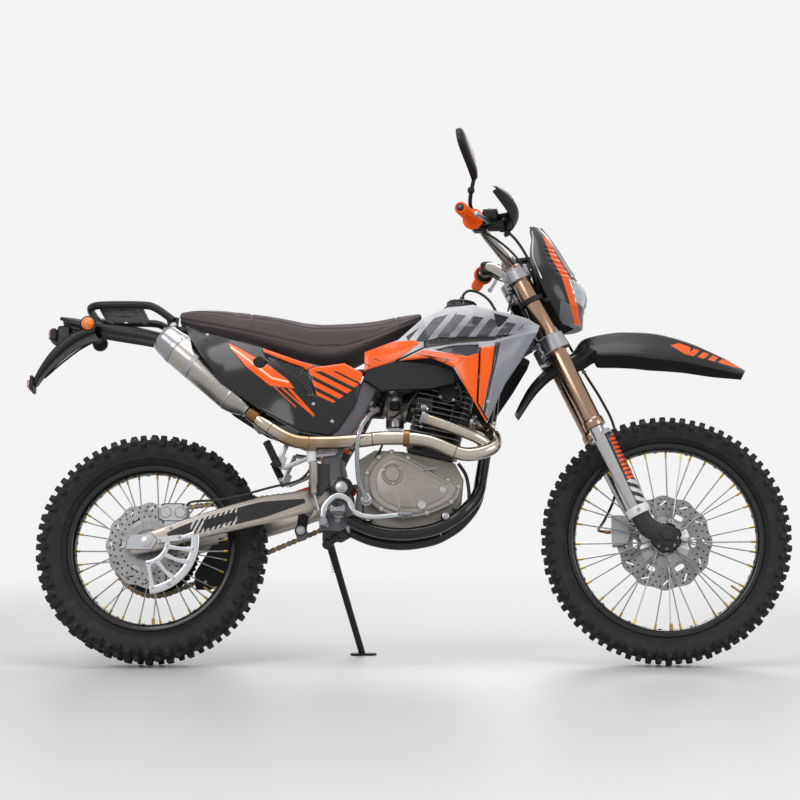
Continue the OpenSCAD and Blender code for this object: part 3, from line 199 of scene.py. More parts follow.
def block(centre, size, x=X_WAY, y=Y_WAY, chamfer=1.5, taper=1.0):
    """A box on the directions x and y, its edges cut by the chamfer and its far end scaled by taper."""
    x, y = unit(x), unit(y)
    half = np.asarray(size, float) / 2
    c = min(chamfer, *(half * 0.8))
    corner = np.array([[1, 1], [1, 1], [-1, 1], [-1, 1], [-1, -1], [-1, -1], [1, -1], [1, -1]], float)
    wide = corner * (half[:2] - np.array([[0, c], [c, 0], [c, 0], [0, c], [0, c], [c, 0], [c, 0], [0, c]]))
    small = corner * (half[:2] - c)
    rows = ((-half[2], small, 1.0), (c - half[2], wide, 1.0), (half[2] - c, wide, taper), (half[2], small, taper))
    return np.stack([centre + (x * q[:, :1] + y * q[:, 1:]) * grow + np.cross(x, y) * h for h, q, grow in rows])


def distance_in(points, corners):
    """How far (x, z) points lie inside a convex outline given anticlockwise: the least distance to its edges."""
    p, q = np.asarray(corners, float), np.roll(np.asarray(corners, float), -1, 0)
    along = unit(q - p)
    inward = np.stack([-along[:, 1], along[:, 0]], -1)
    return ((np.asarray(points)[..., None, :] - p) * inward).sum(-1).min(-1)


def eased(value, low, high):
    """Smoothstep from 0 at low to 1 at high: 3 t squared less 2 t cubed."""
    t = np.clip((value - low) / (high - low), 0.0, 1.0)
    return t * t * (3.0 - 2.0 * t)


class Shape:
    """Closed surfaces gathered as rings of points, made into one mesh with a material mark on each part."""

    def __init__(self):
        self.points, self.quads, self.tris, self.marks, self.count = [], [], [], [], 0

    def take(self, points, quads, tris, quad_marks, tri_marks):
        self.points.append(points)
        self.quads.append(quads + self.count)
        self.tris.append(tris + self.count)
        self.marks.append((quad_marks, tri_marks))
        self.count += len(points)
        return self

    def add(self, rings, mark=0, ends="flat"):
        """Quads join each ring to the next; the end rings are closed by fans, or joined to each other."""
        p = np.asarray(rings, float)
        m, n = p.shape[:2]
        i, j = np.meshgrid(np.arange(m if ends == "joined" else m - 1), np.arange(n), indexing="ij")
        k = (i + 1) % m
        quads = np.stack([i * n + j, i * n + (j + 1) % n, k * n + (j + 1) % n, k * n + j], -1).reshape(-1, 4)
        points, tris = p.reshape(-1, 3), np.zeros((0, 3), int)
        if ends == "flat":
            points = np.vstack([points, p[0].mean(0), p[-1].mean(0)])
            j = np.arange(n)
            last = (m - 1) * n
            tris = np.vstack([np.stack([np.full(n, m * n), (j + 1) % n, j], -1),
                              np.stack([np.full(n, m * n + 1), last + j, last + (j + 1) % n], -1)])
        whole = np.vstack([quads[:, [0, 1, 2]], quads[:, [0, 2, 3]], tris])
        q = points - points.mean(0)
        if np.einsum("ij,ij->", q[whole[:, 0]], np.cross(q[whole[:, 1]], q[whole[:, 2]])) < 0:
            quads, tris = quads[:, ::-1], tris[:, ::-1]
        return self.take(points, quads, tris, np.full(len(quads), mark), np.full(len(tris), mark))

    def sheet(self, outer, inner, mark=0, inner_mark=None):
        """A thin shell between two grids: each ring runs along one face and back along the other."""
        rings = np.concatenate([outer, inner[:, ::-1]], 1)
        start = len(self.quads)
        self.add(rings, mark)
        if inner_mark is not None:
            n, half = rings.shape[1], outer.shape[1]
            column = np.tile(np.arange(n), rings.shape[0] - 1)
            self.marks[start][0][column >= half] = inner_mark
        return self

    def copies(self, other, places):
        """Adds another shape once for each 4 x 4 place."""
        points, quads, tris, quad_marks, tri_marks = other.arrays()
        places = np.asarray(places, float)
        moved = np.einsum("kij,nj->kni", places[:, :3, :3], points) + places[:, None, :3, 3]
        shift = (np.arange(len(places)) * len(points))[:, None, None]
        if np.linalg.det(places[0, :3, :3]) < 0:
            quads, tris = quads[:, ::-1], tris[:, ::-1]
        return self.take(moved.reshape(-1, 3), (quads[None] + shift).reshape(-1, 4), (tris[None] + shift).reshape(-1, 3),
                         np.tile(quad_marks, len(places)), np.tile(tri_marks, len(places)))

    def arrays(self):
        marks = [np.concatenate([pair[k] for pair in self.marks]) for k in (0, 1)]
        return np.vstack(self.points), np.vstack(self.quads), np.vstack(self.tris), marks[0], marks[1]

    def tube(self, path, radius, mark=0, sides=14, per_span=6):
        path = curve(path, per_span) if per_span > 1 else np.asarray(path, float)
        if np.ndim(radius):
            radius = np.interp(np.linspace(0, 1, len(path)), np.linspace(0, 1, len(radius)), radius)
        return self.add(carried(path, circle(sides), grow=radius), mark)

    def rod(self, a, b, radius, mark=0, sides=20, bevel=0.8):
        a, b = np.asarray(a, float), np.asarray(b, float)
        reach = float(np.linalg.norm(b - a))
        cut = min(bevel, reach / 3)
        return self.add(spun([(radius - cut, 0), (radius, cut), (radius, reach - cut), (radius - cut, reach)], a, b - a, sides), mark)

    def spin(self, profile, centre, axis, mark=0, sides=40, lobes=1.0, ends="flat"):
        return self.add(spun(profile, centre, axis, sides, lobes), mark, ends)

    def slab(self, outline, y0, y1, mark=0, chamfer=1.2):
        return self.add(flat_slab(outline, y0, y1, chamfer), mark)

    def block(self, centre, size, mark=0, **way):
        return self.add(block(np.asarray(centre, float), size, **way), mark)

    def bolts(self, points, axis, width=10.0, mark=0, height=6.0, washer=1.35):
        """Hexagon heads on washers, standing out along one axis from each point."""
        head, r = Shape(), width / 2
        head.spin([(r * washer, 0), (r * washer, 1.2), (r * washer - 0.5, 1.6)], (0, 0, 0), axis, mark, 18)
        head.spin([(r, 1.0), (r, height - 1.0), (r * 0.82, height)], (0, 0, 0), axis, mark, 6)
        places = np.tile(np.eye(4), (len(points), 1, 1))
        places[:, :3, 3] = points
        return self.copies(head, places)

    def bars(self, starts, ends, radius, mark=0, sides=8):
        """One straight bar for each pair of points."""
        unit_bar = Shape().add(spun([(1, 0), (1, 1)], (0, 0, 0), X_WAY, sides), mark)
        return self.copies(unit_bar, between(starts, ends, radius))


def between(starts, ends, radius):
    """Places that carry the unit bar along X from each start to its end, scaled to the radius."""
    a, d = np.asarray(starts, float), np.asarray(ends, float) - np.asarray(starts, float)
    u = unit(np.cross(d, np.where(np.abs(unit(d)[:, 2:]) < 0.9, Z_WAY, X_WAY)))
    m = np.zeros((len(a), 4, 4))
    m[:, :3, 0], m[:, :3, 1], m[:, :3, 2] = d, u * radius, np.cross(unit(d), u) * radius
    m[:, :3, 3], m[:, 3, 3] = a, 1.0
    return m


def facing(points, along, up):
    """Places whose X lies along and whose Z is nearest up, one for each point."""
    x = unit(np.broadcast_to(np.asarray(along, float), np.shape(points)))
    y = unit(np.cross(np.broadcast_to(np.asarray(up, float), x.shape), x))
    m = np.zeros((len(x), 4, 4))
    m[:, :3, 0], m[:, :3, 1], m[:, :3, 2] = x, y, np.cross(x, y)
    m[:, :3, 3], m[:, 3, 3] = points, 1.0
    return m


def round_axle(centre, angles, radius, y):
    """Points round a wheel's axle line: angle from the top towards the front, at a radius and a sideways place."""
    a = np.asarray(angles, float)
    out = np.stack([np.sin(a), np.zeros_like(a), np.cos(a)], -1) * np.reshape(radius, (-1, 1))
    return centre + out + Y_WAY * np.reshape(y, (-1, 1))


def make_piece(name, shape, place, body, materials, replaced=(), sharp=32.0):
    """One object at the origin; its UV map holds each point's upright side view (x, z) in metres."""
    points, quads, tris, quad_marks, tri_marks = shape.arrays()
    mesh = bpy.data.meshes.new(name)
    loops = np.concatenate([quads.ravel(), tris.ravel()]).astype(np.int32)
    starts = np.concatenate([np.arange(len(quads)) * 4, len(quads) * 4 + np.arange(len(tris)) * 3]).astype(np.int32)
    mesh.vertices.add(len(points))
    mesh.vertices.foreach_set("co", (place(points) * 0.001).ravel())
    mesh.loops.add(len(loops))
    mesh.loops.foreach_set("vertex_index", loops)
    mesh.polygons.add(len(starts))
    mesh.polygons.foreach_set("loop_start", starts)
    mesh.polygons.foreach_set("material_index", np.concatenate([quad_marks, tri_marks]).astype(np.int32))
    layer = mesh.uv_layers.new(name="side")
    layer.data.foreach_set("uv", (points[loops][:, [0, 2]] * 0.001).ravel().astype(np.float32))
    mesh.update(calc_edges=True)
    mesh.polygons.foreach_set("use_smooth", np.ones(len(mesh.polygons), bool))
    mesh.set_sharp_from_angle(angle=math.radians(sharp))
    for material in materials:
        mesh.materials.append(material)
    piece = bpy.data.objects.new(name + "_detailed", mesh)
    bpy.context.scene.collection.objects.link(piece)
    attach(piece, body)
    if replaced:
        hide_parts(*replaced)
    return piece


def shade_of(red, green, blue):
    """A display colour from 0 to 255 in the linear values that a shader takes."""
    return tuple(((v / 255 + 0.055) / 1.055) ** 2.4 if v > 10 else v / 255 / 12.92 for v in (red, green, blue))


LOOKS = {}


class Graph:
    """A material's node tree: node() makes a node, sets its fields and links every socket that it is given."""

    def __init__(self, name):
        self.material = bpy.data.materials.new(name)
        self.material.use_nodes = True
        self.tree = self.material.node_tree
        self.tree.nodes.clear()
        self.shader = self.node("ShaderNodeBsdfPrincipled")
        self.out = self.node("ShaderNodeOutputMaterial", {"Surface": self.shader})
        self.coords = self.node("ShaderNodeTexCoord")
        self.sideways = None
        LOOKS[name] = self.material

    def node(self, kind, inputs=(), **fields):
        made = self.tree.nodes.new(kind)
        for key, value in fields.items():
            setattr(made, key, value)
        for key, value in (inputs.items() if isinstance(inputs, dict) else enumerate(inputs)):
            self.set(made, key, value)
        return made

    def set(self, made, key, value):
        if isinstance(value, bpy.types.Node):
            value = value.outputs[0]
        if isinstance(value, bpy.types.NodeSocket):
            self.tree.links.new(value, made.inputs[key])
        elif value is not None:
            made.inputs[key].default_value = value

    def shine(self, **values):
        """Sets the shader's own sockets; underscores in a name stand for spaces."""
        for key, value in values.items():
            self.set(self.shader, key.replace("_", " ").title().replace("Ior", "IOR"), value)

    def math(self, operation, *values):
        return self.node("ShaderNodeMath", values, operation=operation)

    def noise(self, scale, detail=3.0, vector=None, stretch=None):
        vector = self.coords.outputs["Object"] if vector is None else vector
        if stretch:
            vector = self.node("ShaderNodeMapping", {"Vector": vector, "Scale": stretch})
        return self.node("ShaderNodeTexNoise", {"Vector": vector, "Scale": scale, "Detail": detail})

    def span(self, value, low, high, to_low=0.0, to_high=1.0):
        return self.node("ShaderNodeMapRange", [value, low, high, to_low, to_high])

    def blend(self, factor, a, b):
        made = self.node("ShaderNodeMix", data_type="RGBA")
        for key, value in ((0, factor), (6, a), (7, b)):
            self.set(made, key, value + (1.0,) if isinstance(value, tuple) else value)
        return made.outputs[2]

    def relief(self, height, strength, distance, under=None):
        return self.node("ShaderNodeBump", {"Height": height, "Strength": strength, "Distance": distance, "Normal": under})

    def side(self):
        """The upright side view as (x, z, 1), so that a line's test is one dot product."""
        if self.sideways is None:
            parts = self.node("ShaderNodeSeparateXYZ", [self.node("ShaderNodeUVMap", uv_map="side")])
            self.sideways = self.node("ShaderNodeCombineXYZ", [parts.outputs[0], parts.outputs[1], 1.0])
        return self.sideways

    def line(self, x, z, c):
        return self.node("ShaderNodeVectorMath", [self.side(), (x, z, c)], operation="DOT_PRODUCT").outputs[1]

    def inside(self, *outlines, soft=0.4):
        """One inside any of the convex outlines (millimetres, anticlockwise), from the least distance to its edges."""
        best = None
        for corners in outlines:
            least = None
            for (x0, z0), (x1, z1) in zip(corners, corners[1:] + corners[:1]):
                length = math.hypot(x1 - x0, z1 - z0)
                a, b = (z0 - z1) / length, (x1 - x0) / length
                test = self.line(a, b, -(a * x0 + b * z0) / 1000)
                least = test if least is None else self.math("MINIMUM", least, test)
            best = least if best is None else self.math("MAXIMUM", best, least)
        return self.span(best, -soft / 1000, soft / 1000)

    def near(self, x, z, radius):
        away = self.node("ShaderNodeVectorMath", [self.side(), (x / 1000, z / 1000, 1.0)], operation="DISTANCE").outputs[1]
        return self.span(away, (radius + 0.4) / 1000, (radius - 0.4) / 1000)

    def stripes(self, along, pitch, duty, offset=0.0):
        """Bands that run along a direction: the line's number of pitches, less its whole part, is under the duty."""
        length = math.hypot(*along) * pitch / 1000
        count = self.line(-along[1] / length, along[0] / length, offset + 200.0)
        return self.math("LESS_THAN", self.math("FRACT", count), duty)

    def both(self, a, b):
        return self.math("MULTIPLY", a, b)


def finish(name, colour, metallic=0.0, rough=(0.3, 0.4), grain=260.0, tint=0.1, bump=0.12, depth=0.0004,
           stretch=None, coat=0.0, specular=0.5, sheen=0.0, dust=None):
    """A surface whose colour drifts with broad noise and whose roughness and relief follow a fine grain."""
    g = Graph(name)
    fine = g.noise(grain, 5.0, stretch=stretch)
    broad = g.noise(9.0, 3.0)
    colour = tuple(colour)
    shade = g.blend(broad, tuple(c * (1 - tint) for c in colour), tuple(min(1.0, c * (1 + tint)) for c in colour))
    if dust:
        shade = g.blend(g.span(g.noise(38.0, 6.0), 0.5, 0.75, 0.0, 0.35), shade, dust)
    g.shine(base_color=shade, metallic=metallic, roughness=g.span(fine, 0.3, 0.7, *rough), coat_weight=coat,
            coat_roughness=0.05, specular_ior_level=specular, sheen_weight=sheen)
    if bump:
        g.shine(normal=g.relief(fine, bump, depth))
    return g


def plain_finishes(look):
    """The painted, moulded, cast and plated finishes that need no graphics."""
    orange, black = tuple(look.orange), tuple(look.black)
    finish("gloss_black", black, rough=(0.16, 0.26), coat=0.2, specular=0.35, bump=0.03)
    finish("satin_black", tuple(c * 1.2 for c in black), rough=(0.36, 0.48), specular=0.3, bump=0.08)
    finish("matt_plastic", shade_of(27, 27, 30), rough=(0.5, 0.62), grain=900, specular=0.3, bump=0.2, depth=0.0003)
    finish("spar_grey", shade_of(92, 90, 96), rough=(0.42, 0.55), metallic=0.2, specular=0.35, bump=0.12)
    finish("orange_plastic", orange, rough=(0.3, 0.4), specular=0.25, bump=0.05)
    finish("orange_rubber", orange, rough=(0.5, 0.6), grain=500, specular=0.2, bump=0.25)
    finish("amber_lens", shade_of(255, 122, 8), rough=(0.1, 0.16), coat=0.8, bump=0.0)
    finish("guard_edge", shade_of(196, 196, 200), metallic=0.8, rough=(0.2, 0.3))
    finish("red_lens", shade_of(160, 10, 10), rough=(0.1, 0.16), coat=0.8, bump=0.0)
    finish("white_plastic", shade_of(226, 226, 228), rough=(0.3, 0.4), coat=0.3, bump=0.05)
    finish("silver", shade_of(166, 166, 170), metallic=1.0, rough=(0.26, 0.4), grain=420)
    finish("bright_silver", shade_of(186, 186, 189), metallic=1.0, rough=(0.16, 0.28), grain=300, bump=0.05)
    finish("spoke_steel", shade_of(142, 144, 142), metallic=1.0, rough=(0.3, 0.42), grain=300, bump=0.05)
    finish("machined", shade_of(150, 150, 154), metallic=1.0, rough=(0.2, 0.34), grain=90, stretch=(1, 1, 14), bump=0.2)
    finish("cast_grey", shade_of(150, 144, 137), metallic=0.55, rough=(0.36, 0.5), grain=800, bump=0.35, depth=0.0005)
    finish("cast_dark", shade_of(46, 44, 45), metallic=0.4, rough=(0.45, 0.6), grain=700, bump=0.4, depth=0.0005)
    finish("champagne", tuple(look.champagne), metallic=0.7, rough=(0.26, 0.38), grain=320, bump=0.08)
    finish("bronze_tube", shade_of(158, 130, 110), metallic=1.0, rough=(0.16, 0.28), grain=60, stretch=(40, 40, 2), bump=0.1)
    finish("gold", shade_of(176, 146, 66), metallic=1.0, rough=(0.26, 0.38))
    finish("brass", shade_of(160, 132, 84), metallic=1.0, rough=(0.24, 0.36))
    finish("chain_steel", shade_of(120, 116, 110), metallic=1.0, rough=(0.3, 0.5), dust=shade_of(60, 52, 44))
    finish("rubber", shade_of(26, 26, 27), rough=(0.62, 0.8), grain=420, bump=0.35, depth=0.0005, specular=0.35,
           dust=shade_of(66, 62, 58))
    finish("hose_rubber", shade_of(24, 24, 26), rough=(0.42, 0.55), grain=600, bump=0.2)
    finish("shock_orange", orange, rough=(0.26, 0.34), coat=0.1, specular=0.3, bump=0.05)
    finish("slider_red", shade_of(226, 60, 16), rough=(0.4, 0.5), bump=0.1)
    finish("mirror_glass", shade_of(214, 220, 228), metallic=1.0, rough=(0.02, 0.04), bump=0.0)
    glass = finish("clear_lens", shade_of(238, 244, 248), rough=(0.03, 0.06), bump=0.0)
    glass.shine(transmission_weight=0.85, ior=1.46)
    reflector = finish("reflector", shade_of(210, 214, 220), metallic=1.0, rough=(0.08, 0.2), grain=120)
    reflector.shine(normal=reflector.relief(reflector.node("ShaderNodeTexWave", {"Vector": reflector.coords.outputs["Object"], "Scale": 60.0}), 0.6, 0.002))


def worn_finishes():
    """Heat-tinted pipes, brushed silencer, discs with a swept face and fins with bright machined edges."""
    g = finish("brushed_steel", shade_of(170, 166, 160), metallic=1.0, rough=(0.2, 0.38), grain=34, stretch=(3, 3, 60), bump=0.25)
    g = finish("header_steel", shade_of(180, 168, 150), metallic=1.0, rough=(0.12, 0.24), grain=120, bump=0.06)
    heat = g.span(g.noise(6.0, 2.0), 0.42, 0.62)
    g.shine(base_color=g.blend(heat, shade_of(186, 178, 168), shade_of(150, 126, 98)))
    g = finish("bronze_clamp", shade_of(134, 98, 62), metallic=1.0, rough=(0.24, 0.36), bump=0.1)
    g = finish("disc_steel", shade_of(148, 148, 150), metallic=1.0, rough=(0.18, 0.34), grain=60, bump=0.15)
    g = Graph("fins")
    edge = g.node("ShaderNodeNewGeometry").outputs["Pointiness"]
    grain = g.noise(300.0, 4.0)
    bright = g.span(edge, 0.54, 0.6)
    g.shine(base_color=g.blend(bright, shade_of(84, 81, 80), shade_of(188, 184, 178)), metallic=0.8,
            roughness=g.span(grain, 0.3, 0.7, 0.36, 0.52), normal=g.relief(grain, 0.2, 0.0004))


def seat_cloth(look):
    """Suede-like cover: broad worn patches, a fine nap and a soft sheen."""
    g = finish("seat_cover", tuple(look.seat), rough=(0.72, 0.88), grain=1400, tint=0.16, bump=0.4, depth=0.0005, sheen=0.35,
               specular=0.3)
    worn = g.span(g.noise(5.0, 4.0), 0.4, 0.7, 0.0, 0.5)
    g.shine(base_color=g.blend(worn, tuple(look.seat), tuple(c * 1.5 for c in look.seat)), sheen_roughness=0.4)


# Outlines of the graphics in the upright side view, in millimetres, anticlockwise and convex
SHROUD_DART = [[(-117, 801), (-108, 797), (41, 866), (41, 887), (-32, 838)], [(41, 866), (231, 884), (292, 898), (73, 893), (41, 887)]]
SHROUD_WINDOW = [[(72, 859), (120, 845), (161, 836), (192, 846), (192, 872), (120, 869)]]
SHROUD_MAIN = [[(-24, 834), (72, 814), (128, 804), (161, 835), (41, 860)], [(128, 804), (178, 690), (187, 704), (193, 846), (161, 835)],
               [(176, 694), (200, 652), (216, 653), (187, 704)]]
SHROUD_STRIP = [[(187, 700), (200, 682), (226, 795), (236, 861), (235, 867), (198, 861)], [(187, 700), (213, 652), (217, 655), (200, 684)]]
SHROUD_GROOVE = [[(184, 700), (189, 700), (198, 864), (193, 864)], [(184, 702), (212, 652), (216, 655), (189, 702)]]
SHROUD_BORDER = [[(202, 676), (208, 672), (234, 795), (227, 795)], [(227, 795), (234, 795), (252, 876), (238, 876)]]
SHROUD_SHOULDER = [[(-190, 775), (-32, 837), (30, 881), (14, 893), (-70, 893), (-190, 880)]]
SHROUD_LINES = [[(22, 847), (113, 824), (114, 827), (24, 850)], [(91, 816), (114, 826), (108, 827), (86, 817)],
                [(-98, 840), (-78, 832), (-77, 834), (-97, 843)], [(-128, 830), (-110, 818), (-109, 821), (-127, 833)]]
SLASH_FIELD = [[(0, 884), (292, 898), (318, 922), (214, 957), (121, 974), (66, 962), (-8, 908)]]
PANEL_STRIPE = [[(-502, 886), (-498, 870), (-450, 809), (-427, 842), (-474, 870)], [(-450, 809), (-383, 757), (-388, 818), (-427, 842)],
                [(-383, 757), (-317, 755), (-333, 777), (-388, 818)]]
PANEL_LINE = [[(-495, 867), (-380, 778), (-378, 783), (-493, 873)], [(-380, 778), (-333, 770), (-333, 775), (-378, 783)]]
PANEL_VENT = [[(-400, 852), (-396, 842), (-306, 781), (-292, 818)], [(-306, 781), (-280, 739), (-259, 737), (-292, 818)]]
PANEL_FRONT = [[(-279, 812), (-255, 736), (-204, 712), (-162, 748), (-110, 784), (-110, 866)], [(-404, 861), (-285, 811), (-262, 822), (-408, 874)]]
PANEL_BARRED = [[(-262, 742), (-204, 706), (-158, 745), (-136, 772), (-200, 806), (-284, 806)]]
PANEL_PINS = [[(-372, 754), (-312, 700), (-311, 703), (-368, 754)], [(-354, 754), (-278, 689), (-276, 693), (-348, 754)],
              [(-336, 754), (-264, 676), (-260, 682), (-326, 754)]]
# Centre and radius of the side panel's recess, painted near-black: painted shade inside the recess
PANEL_RECESS_SHADE = (-413, 826, 18)
FENDER_STICKER = [[(742, 897), (780, 868), (921, 834), (938, 834), (905, 853), (765, 906)]]


def graphic_finishes(look):
    """Gloss panels whose generic stripes and colour fields are masks of the side view; on the side panel the dark
    recess disc and the dark vent cells are painted shade.
    """
    orange, black = tuple(look.orange), tuple(look.black)
    pale, graphite, grey = shade_of(200, 202, 207), shade_of(60, 60, 68), shade_of(126, 128, 136)
    g = finish("shroud_graphics", pale, rough=(0.2, 0.28), coat=0.12, specular=0.35, bump=0.02)
    slashes = g.both(g.inside(*SLASH_FIELD), g.stripes((40, 56), 44, 0.62, 0.2))
    field = g.blend(slashes, g.blend(g.inside([(40, 880), (330, 880), (360, 940), (210, 960), (121, 966), (40, 930)], soft=30.0), pale, grey), graphite)
    field = g.blend(g.inside([(190, 620), (360, 860), (360, 900), (240, 878)], soft=1.0), field, grey)
    field = g.blend(g.inside(*SHROUD_SHOULDER, soft=0.6), field, orange)
    field = g.blend(g.inside(*SHROUD_MAIN, *SHROUD_STRIP), field, orange)
    dark = g.inside(*SHROUD_DART, *SHROUD_GROOVE, *SHROUD_BORDER, *SHROUD_LINES)
    field = g.blend(g.inside(*SHROUD_WINDOW), g.blend(dark, field, black), graphite)
    g.shine(base_color=field)
    g = finish("panel_graphics", black, rough=(0.14, 0.22), coat=0.2, specular=0.35, bump=0.02)
    barred = g.both(g.inside(*PANEL_BARRED), g.stripes((63, -33), 24, 0.42, 0.35))
    field = g.blend(g.inside(*PANEL_FRONT, *PANEL_STRIPE, *PANEL_PINS), black, orange)
    field = g.blend(barred, field, black)
    field = g.blend(g.inside(*PANEL_LINE), field, shade_of(255, 214, 176))
    cells = g.node("ShaderNodeTexVoronoi", {"Vector": g.node("ShaderNodeMapping", {
        "Vector": g.side(), "Scale": (95.0, 165.0, 0.0), "Rotation": (0, 0, 0.45)}), "Scale": 1.0, "Randomness": 0.0},
        feature="F1", voronoi_dimensions="2D")
    vent = g.inside(*PANEL_VENT)
    # The near-black cell centres are painted shade in the vent's honeycomb openings
    mesh = g.blend(g.math("LESS_THAN", cells, 0.36), shade_of(44, 44, 50), shade_of(8, 8, 9))
    field = g.blend(vent, field, mesh)
    # The near-black disc at the recess is painted shade, darker than the panel's own black
    g.shine(base_color=g.blend(g.near(*PANEL_RECESS_SHADE), field, shade_of(12, 12, 13)))
    g = finish("fender_graphics", black, rough=(0.3, 0.42), coat=0.1, specular=0.35, bump=0.06)
    bars = g.both(g.inside([(790, 850), (880, 830), (905, 900), (800, 900)]), g.stripes((40, 46), 26, 0.4))
    field = g.blend(g.inside(*FENDER_STICKER), black, orange)
    g.shine(base_color=g.blend(bars, field, black))
    g = finish("mask_graphics", black, rough=(0.2, 0.3), coat=0.2, specular=0.35, bump=0.03)
    band = [[(389, 1226), (413, 1150), (435, 1150), (402, 1226)], [(413, 1150), (441, 1090), (467, 1090), (435, 1150)],
            [(441, 1090), (461, 1020), (484, 1020), (467, 1090)], [(461, 1020), (474, 962), (492, 962), (484, 1020)]]
    grey_low = [[(430, 950), (474, 950), (464, 1012), (436, 1020)]]
    field = g.blend(g.inside(*grey_low), black, shade_of(96, 96, 102))
    g.shine(base_color=g.blend(g.inside(*band), field, orange))
    g = finish("guard_graphics", shade_of(176, 172, 172), rough=(0.24, 0.34), coat=0.15, bump=0.03)
    field = g.blend(g.inside([(650, 398), (688, 416), (580, 650), (549, 632)]), shade_of(176, 172, 172), black)
    hatch = g.both(g.inside([(612, 498), (644, 512), (584, 648), (562, 626)]), g.stripes((60, 26), 13, 0.62))
    field = g.blend(hatch, field, orange)
    field = g.blend(g.inside([(646, 404), (690, 416), (660, 470)]), field, orange)
    slash = g.both(g.inside([(640, 430), (664, 440), (628, 516), (608, 500)]), g.stripes((46, -10), 22, 0.5))
    g.shine(base_color=g.blend(slash, field, shade_of(214, 212, 212)))
    g = finish("arm_inset", shade_of(26, 26, 28), rough=(0.22, 0.32), coat=0.15, specular=0.35, bump=0.05)
    hatch = g.both(g.inside([(-590, 300), (-470, 330), (-470, 440), (-600, 420)]), g.stripes((30, 60), 11, 0.5))
    g.shine(base_color=g.blend(hatch, shade_of(30, 30, 32), shade_of(200, 198, 194)))


class BIKE_PG_look(bpy.types.PropertyGroup):
    """Colours and fine sizes of the dressed bike."""
    orange: FloatVectorProperty(name="Orange", description="Panels, grips and sliders", subtype="COLOR", size=3, min=0, max=1,
                                default=shade_of(246, 92, 0))
    black: FloatVectorProperty(name="Black", description="Gloss and satin black parts", subtype="COLOR", size=3, min=0, max=1,
                               default=shade_of(15, 15, 17))
    seat: FloatVectorProperty(name="Seat", description="Seat cover", subtype="COLOR", size=3, min=0, max=1,
                              default=shade_of(80, 70, 70))
    champagne: FloatVectorProperty(name="Champagne", description="Swingarm and handlebar", subtype="COLOR", size=3, min=0, max=1,
                                   default=shade_of(170, 162, 154))
    knob_height: FloatProperty(name="Knob height", description="Height of the tread knobs", unit="LENGTH", min=0.006, max=0.016,
                               default=0.0132)
    front_rows: IntProperty(name="Front knob rows", description="Rows of knobs round the front tyre", min=30, max=60, default=38)
    rear_rows: IntProperty(name="Rear knob rows", description="Rows of knobs round the rear tyre", min=30, max=60, default=34)
    spokes: IntProperty(name="Spokes", description="Spokes in each wheel", min=28, max=40, default=36)
    seat_puff: FloatProperty(name="Seat puff", description="Most that the padding may swell", unit="LENGTH", min=0.002,
                             max=0.016, default=0.009)


class BIKE_OT_finishes(bpy.types.Operator):
    """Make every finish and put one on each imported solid."""
    bl_idname = "bike.finishes"
    bl_label = "Finishes"

    SOLIDS = {
        "gloss_black": ("main_frame", "side_panels", "shrouds"), "satin_black": ("subframe", "grab_rail", "rear_fender", "side_stand",
        "front_fender", "headlight_mask", "front_rim", "rear_rim", "controls", "mirror", "front_axle"),
        "champagne": ("swingarm", "handlebar"), "bright_silver": ("rear_axle",), "cast_grey": ("engine_cases",), "fins": ("cylinder",),
        "cast_dark": ("carburettor", "front_caliper", "rear_brake"), "header_steel": ("exhaust_header",), "brushed_steel": ("silencer",),
        "matt_plastic": ("fuel_tank", "chain_guide"), "seat_cover": ("seat",), "amber_lens": ("tail_lamps",),
        "silver": ("footpegs", "foot_controls", "triple_clamps", "fork_legs", "front_hub", "rear_hub"), "shock_orange": ("shock_absorber",),
        "chain_steel": ("chain",), "bronze_tube": ("fork_tubes",), "guard_graphics": ("fork_guards",), "hose_rubber": ("brake_hose",),
        "orange_rubber": ("grips",), "clear_lens": ("headlight",), "rubber": ("front_tyre", "rear_tyre"),
        "disc_steel": ("front_disc", "rear_disc")}

    def execute(self, context):
        look = context.scene.bike_look
        plain_finishes(look)
        worn_finishes()
        seat_cloth(look)
        graphic_finishes(look)
        for name, nodes in self.SOLIDS.items():
            for node in nodes:
                mesh = frame["nodes"][node].data
                mesh.materials.clear()
                mesh.materials.append(LOOKS[name])
        return {"FINISHED"}


